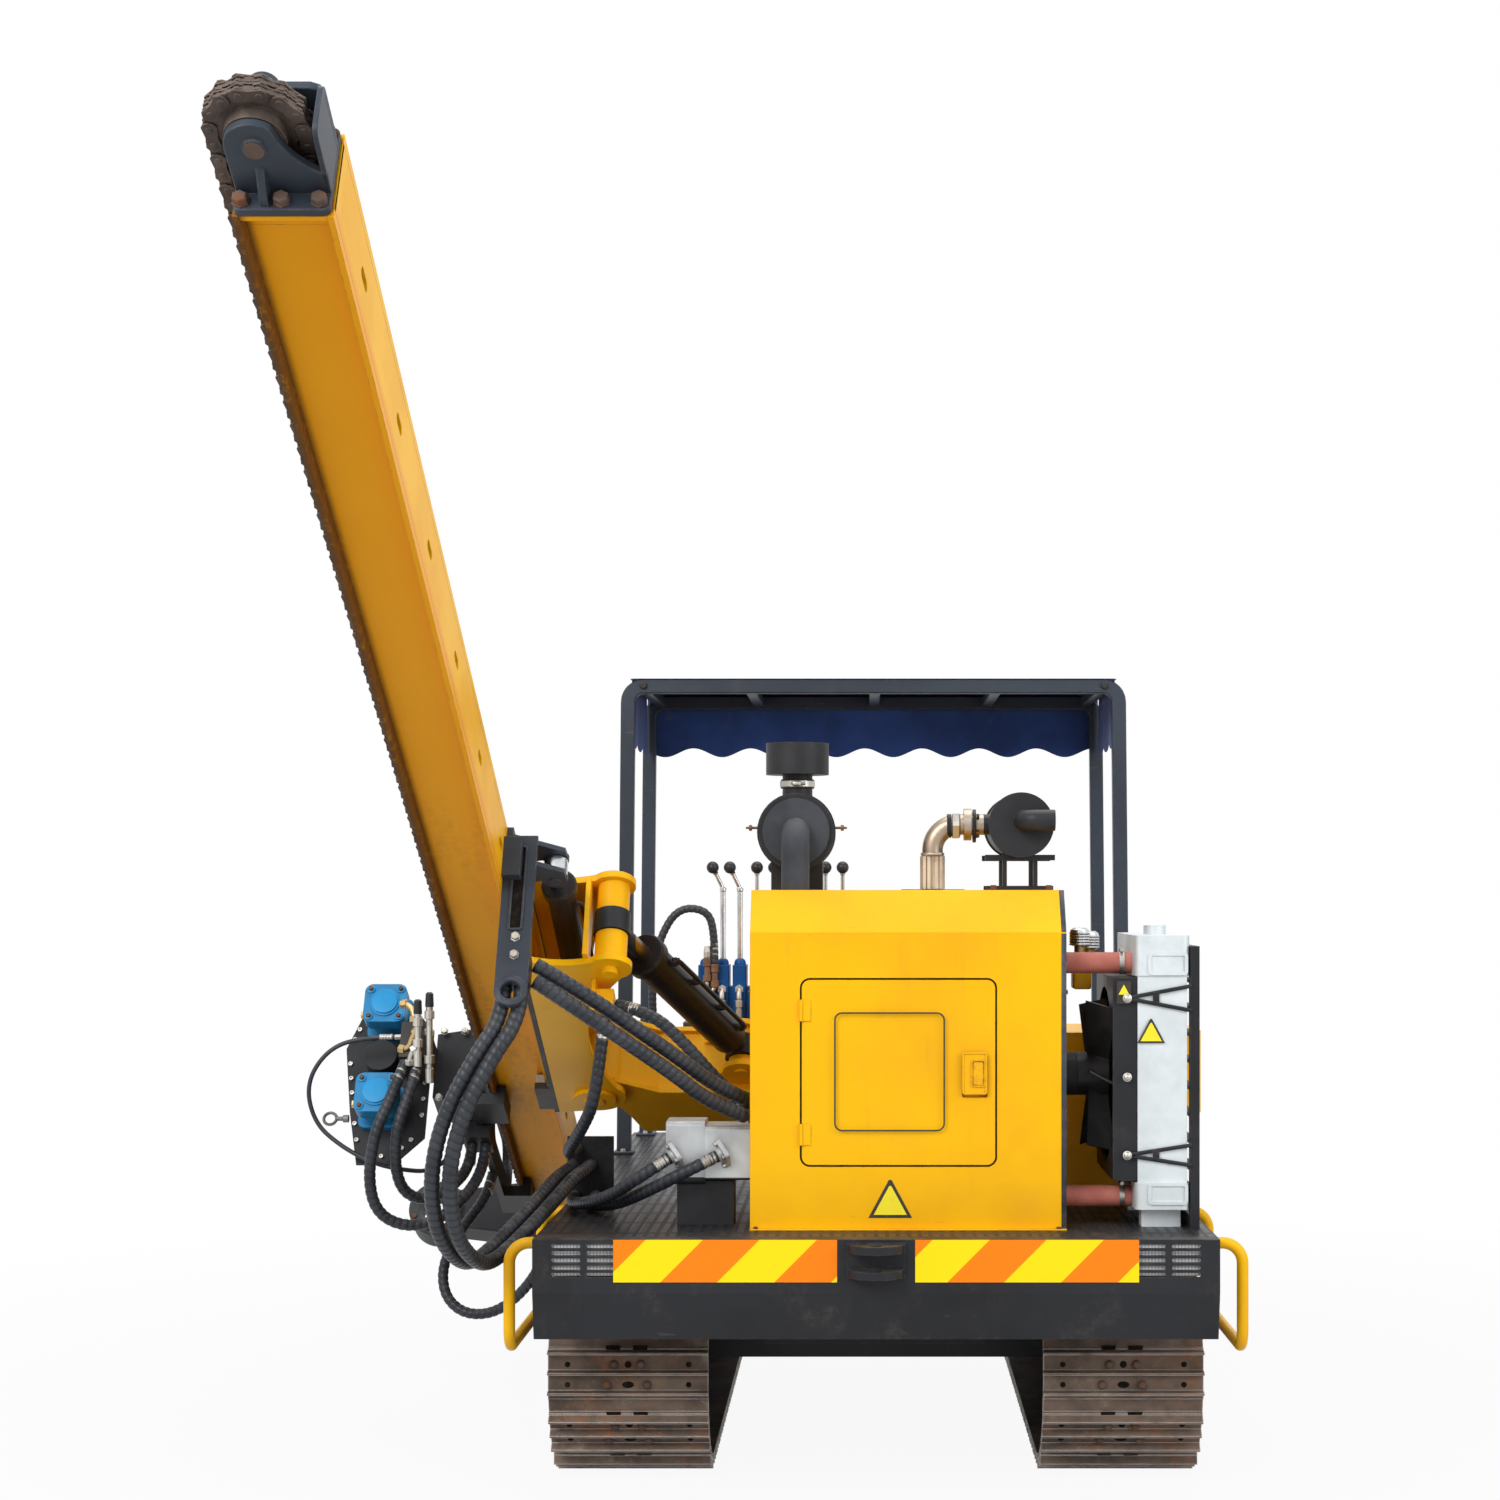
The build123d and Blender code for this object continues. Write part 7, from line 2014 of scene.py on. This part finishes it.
class RigCylinderFittings(bpy.types.Operator):
    """Gland rings and side pipes of the swing and slide cylinders"""

    bl_idname = "rig.cylinder_fittings"
    bl_label = "Cylinder fittings"

    def execute(self, context):
        way = Vector((-0.3832, -0.8047, 0.4534)).normalized()
        centre = Vector((-0.559, -0.670, 1.355))
        beside = (right - way * right.dot(way)).normalized()
        gland = turned([(0.0625, 0), (0.0655, 0.003), (0.0655, 0.034), (0.0625, 0.037), (0.050, 0.040)], 40)
        parts = [onto(gland, centre + way * 0.268, way)]
        line = [centre + way * run + beside * gap for run, gap in (
            (-0.235, 0.060), (-0.235, 0.076), (-0.225, 0.078), (0.215, 0.078), (0.225, 0.076), (0.225, 0.060),
        )]
        parts.append(pipe(line, 0.0075, 10, 2))
        for run in (-0.235, 0.225):
            boss = turned([(0.016, 0), (0.016, 0.008), (0.012, 0.012), (0.012, 0.018)], 6, False)
            parts.append(onto(boss, centre + way * run + beside * 0.060, beside))
        for run in (-0.09, 0.09):
            clip = block((0.024, 0.020, 0.014), 0.002, 1)
            parts.append(onto(clip, centre + way * run + beside * 0.068, way, beside))
        show(joined(*parts), "swing_barrel_fittings", "swing_tube", "cylinder_black")
        x, depth = -0.890, -0.050
        gland = turned([(0.0465, 0), (0.050, 0.003), (0.050, 0.034), (0.046, 0.038), (0.034, 0.040)], 36)
        parts = [onto(gland, on_mast(x, 1.108, depth), up_mast)]
        line = [on_mast(x + gap, height, depth + 0.020) for height, gap in (
            (0.36, 0.040), (0.36, 0.056), (0.37, 0.058), (1.06, 0.058), (1.07, 0.056), (1.07, 0.040),
        )]
        parts.append(pipe(line, 0.006, 10, 2))
        show(joined(*parts), "slide_barrel_fittings", "swing_frame", "cylinder_black")
        return {"FINISHED"}


arched_hose = (
    (-0.536, 0.262, 1.432), (-0.536, 0.262, 1.530), (-0.558, 0.260, 1.612), (-0.655, 0.256, 1.622),
    (-0.716, 0.254, 1.530), (-0.744, 0.252, 1.400), (-0.744, 0.250, 1.250), (-0.722, 0.250, 1.150),
    (-0.680, 0.250, 1.120), (-0.641, 0.250, 1.120),
)


class RigValveFittings(bpy.types.Operator):
    """Elbows and ferrules under the valve bank, its domed caps and the side block"""

    bl_idname = "rig.valve_fittings"
    bl_label = "Valve fittings"

    def execute(self, context):
        domes, metal_parts, brown = [], [], []
        first_valve, valve_pitch, valve_y, dome_y = -0.570, 0.058, 0.256, 0.340
        side_x, port_height = -0.586, 1.345
        for number in range(9):
            x = first_valve + valve_pitch * number
            elbow = pipe(((x, 0.284, port_height), (x, valve_y, port_height), (x, valve_y, 1.310)), 0.010, 12)
            nut = turned([(0.014, 0), (0.016, 0.002), (0.016, 0.014), (0.014, 0.016)], 6, False)
            onto(nut, (x, 0.282, port_height), -front)
            union = moved(turned([
                (0.0125, 0), (0.0125, 0.030), (0.010, 0.031), (0.010, 0.036),
                (0.0145, 0.037), (0.0145, 0.058), (0.010, 0.060),
            ], 8, False), x, valve_y, 1.250)
            metal_parts += [elbow, nut, union]
            dome = turned([(0.020, 0), (0.020, 0.010), (0.017, 0.018), (0.010, 0.023)], 20)
            domes.append(moved(dome, x, dome_y, 1.4245))
        show(joined(*domes), "valve_domes", "root", "valve_blue")
        side = moved(block((0.040, 0.046, 0.074), 0.003, 2), side_x, valve_y, 1.298)
        for z in (1.283, 1.313):
            boss = turned([(0.011, 0), (0.011, 0.010), (0.007, 0.012)], 8, False)
            metal_parts.append(onto(boss, (side_x, 0.233, z), -front))
        show(side, "valve_side_block", "root", "wear_plastic")
        y, far_top = 0.262, 1.432
        for x, low, high in ((-0.560, 1.372, 1.452), (-0.536, 1.352, far_top)):
            brown.append(moved(turned([
                (0.012, 0), (0.015, 0.002), (0.015, 0.022), (0.011, 0.024), (0.011, high - low - 0.030),
                (0.015, high - low - 0.028), (0.015, high - low - 0.004), (0.012, high - low),
            ], 8, False), x, y, low))
            metal_parts.append(pipe(((x, y, low + 0.01), (x, y, 1.330), (side_x, valve_y, 1.322)), 0.008, 10))
        cap = turned([(0.010, 0), (0.013, 0.002), (0.013, 0.020), (0.010, 0.040)], 8, False)
        metal_parts.append(moved(cap, -0.560, y, far_top + 0.019))
        show(joined(*brown), "valve_side_unions", "root", "brown_fitting")
        show(joined(*metal_parts), "valve_unions", "root", "zinc")
        # the short hose that arches over from the side unions to the stand
        places, length = spaced(line_of(arched_hose), context.scene.rig_hose_sizes.step)
        hose = wrapped_tube("wrapped_arch", places, 0.0135, 0.002, 0.018)
        show(hose, "wrapped_arch", "root", "hose_rubber")
        ends = show(
            onto(hose_end(0.011), places[0], places[3] - places[0]), "ferrule_arch", "root", None
        )
        return {"FINISHED"}


class RigPumpFittings(bpy.types.Operator):
    """Square flanges with their bolts where the hoses meet the pumps, and the tank's sight glass"""

    bl_idname = "rig.pump_fittings"
    bl_label = "Pump fittings"

    def execute(self, context):
        plates, screws, bolt_out = [], [], 0.024
        for name in ("hose_pump_first", "hose_pump_second"):
            route = [Vector(place) for place in hose_routes[name][1]]
            end, way = route[0], (route[1] - route[0]).normalized()
            lie = facing(end - way * 0.004, way)
            plates.append(settle(plate(rounded(0.066, 0.066, 0.008), 0.014, 0.0015), lie))
            plates.append(settle(turned([(0.024, 0), (0.024, 0.020), (0.019, 0.026)], 24), lie))
            for x in (-bolt_out, bolt_out):
                for y in (-bolt_out, bolt_out):
                    screws.append(lie @ Matrix.Translation((x, y, 0.0135)))
        show(joined(*plates), "pump_flanges", "root", "pump_alloy")
        bolted("pump_screws", "root", 0.013, 0.009, screws)
        low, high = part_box("hydraulic_tank")
        gauge_x, gauge_z = high.x - 0.110, (low.z + high.z) / 2
        parts = []
        glass = painted(plate(rounded(0.022, 0.120, 0.010), 0.006, 0.002), "lamp")
        parts.append(onto(glass, (gauge_x, low.y, gauge_z), -front))
        for z in (-0.075, 0.075):
            nut = painted(hexagon(0.018, 0.009), "zinc")
            parts.append(onto(nut, (gauge_x, low.y, gauge_z + z), -front))
        show(joined(*parts), "tank_fittings", "root", None)
        return {"FINISHED"}


class RIG_PT_pieces(bpy.types.Panel):
    """Lists the steps that dress the rig"""

    bl_label = "Drilling rig"
    bl_space_type = "VIEW_3D"
    bl_region_type = "UI"
    bl_category = "Rig"

    def draw(self, context):
        for step in steps:
            self.layout.operator(step.bl_idname)
        for group in groups:
            for name in group.__annotations__:
                self.layout.prop(getattr(context.scene, groups[group]), name)


groups = {
    RigColours: "rig_colours",
    RigHoseSizes: "rig_hose_sizes",
    RigChainSizes: "rig_chain_sizes",
    RigStageSizes: "rig_stage_sizes",
    RigClothSizes: "rig_cloth_sizes",
}
steps = (
    RigFinishes,
    RigHoses,
    RigChain,
    RigStage,
    RigMastHead,
    RigGearbox,
    RigLevers,
    RigCanopyFrame,
    RigRodGuide,
    RigShoes,
    RigCover,
    RigRadiator,
    RigBreathing,
    RigCanopy,
    RigHeadFittings,
    RigMastFittings,
    RigCylinderFittings,
    RigValveFittings,
    RigPumpFittings,
)


def register():
    for group, name in groups.items():
        bpy.utils.register_class(group)
        setattr(bpy.types.Scene, name, bpy.props.PointerProperty(type=group))
    for step in steps:
        bpy.utils.register_class(step)
    bpy.utils.register_class(RIG_PT_pieces)


def unregister():
    bpy.utils.unregister_class(RIG_PT_pieces)
    for step in reversed(steps):
        bpy.utils.unregister_class(step)
    for group, name in groups.items():
        delattr(bpy.types.Scene, name)
        bpy.utils.unregister_class(group)


def main():
    register()
    for step in steps:
        family, name = step.bl_idname.split(".")
        getattr(getattr(bpy.ops, family), name)()


if __name__ == "__main__":
    main()
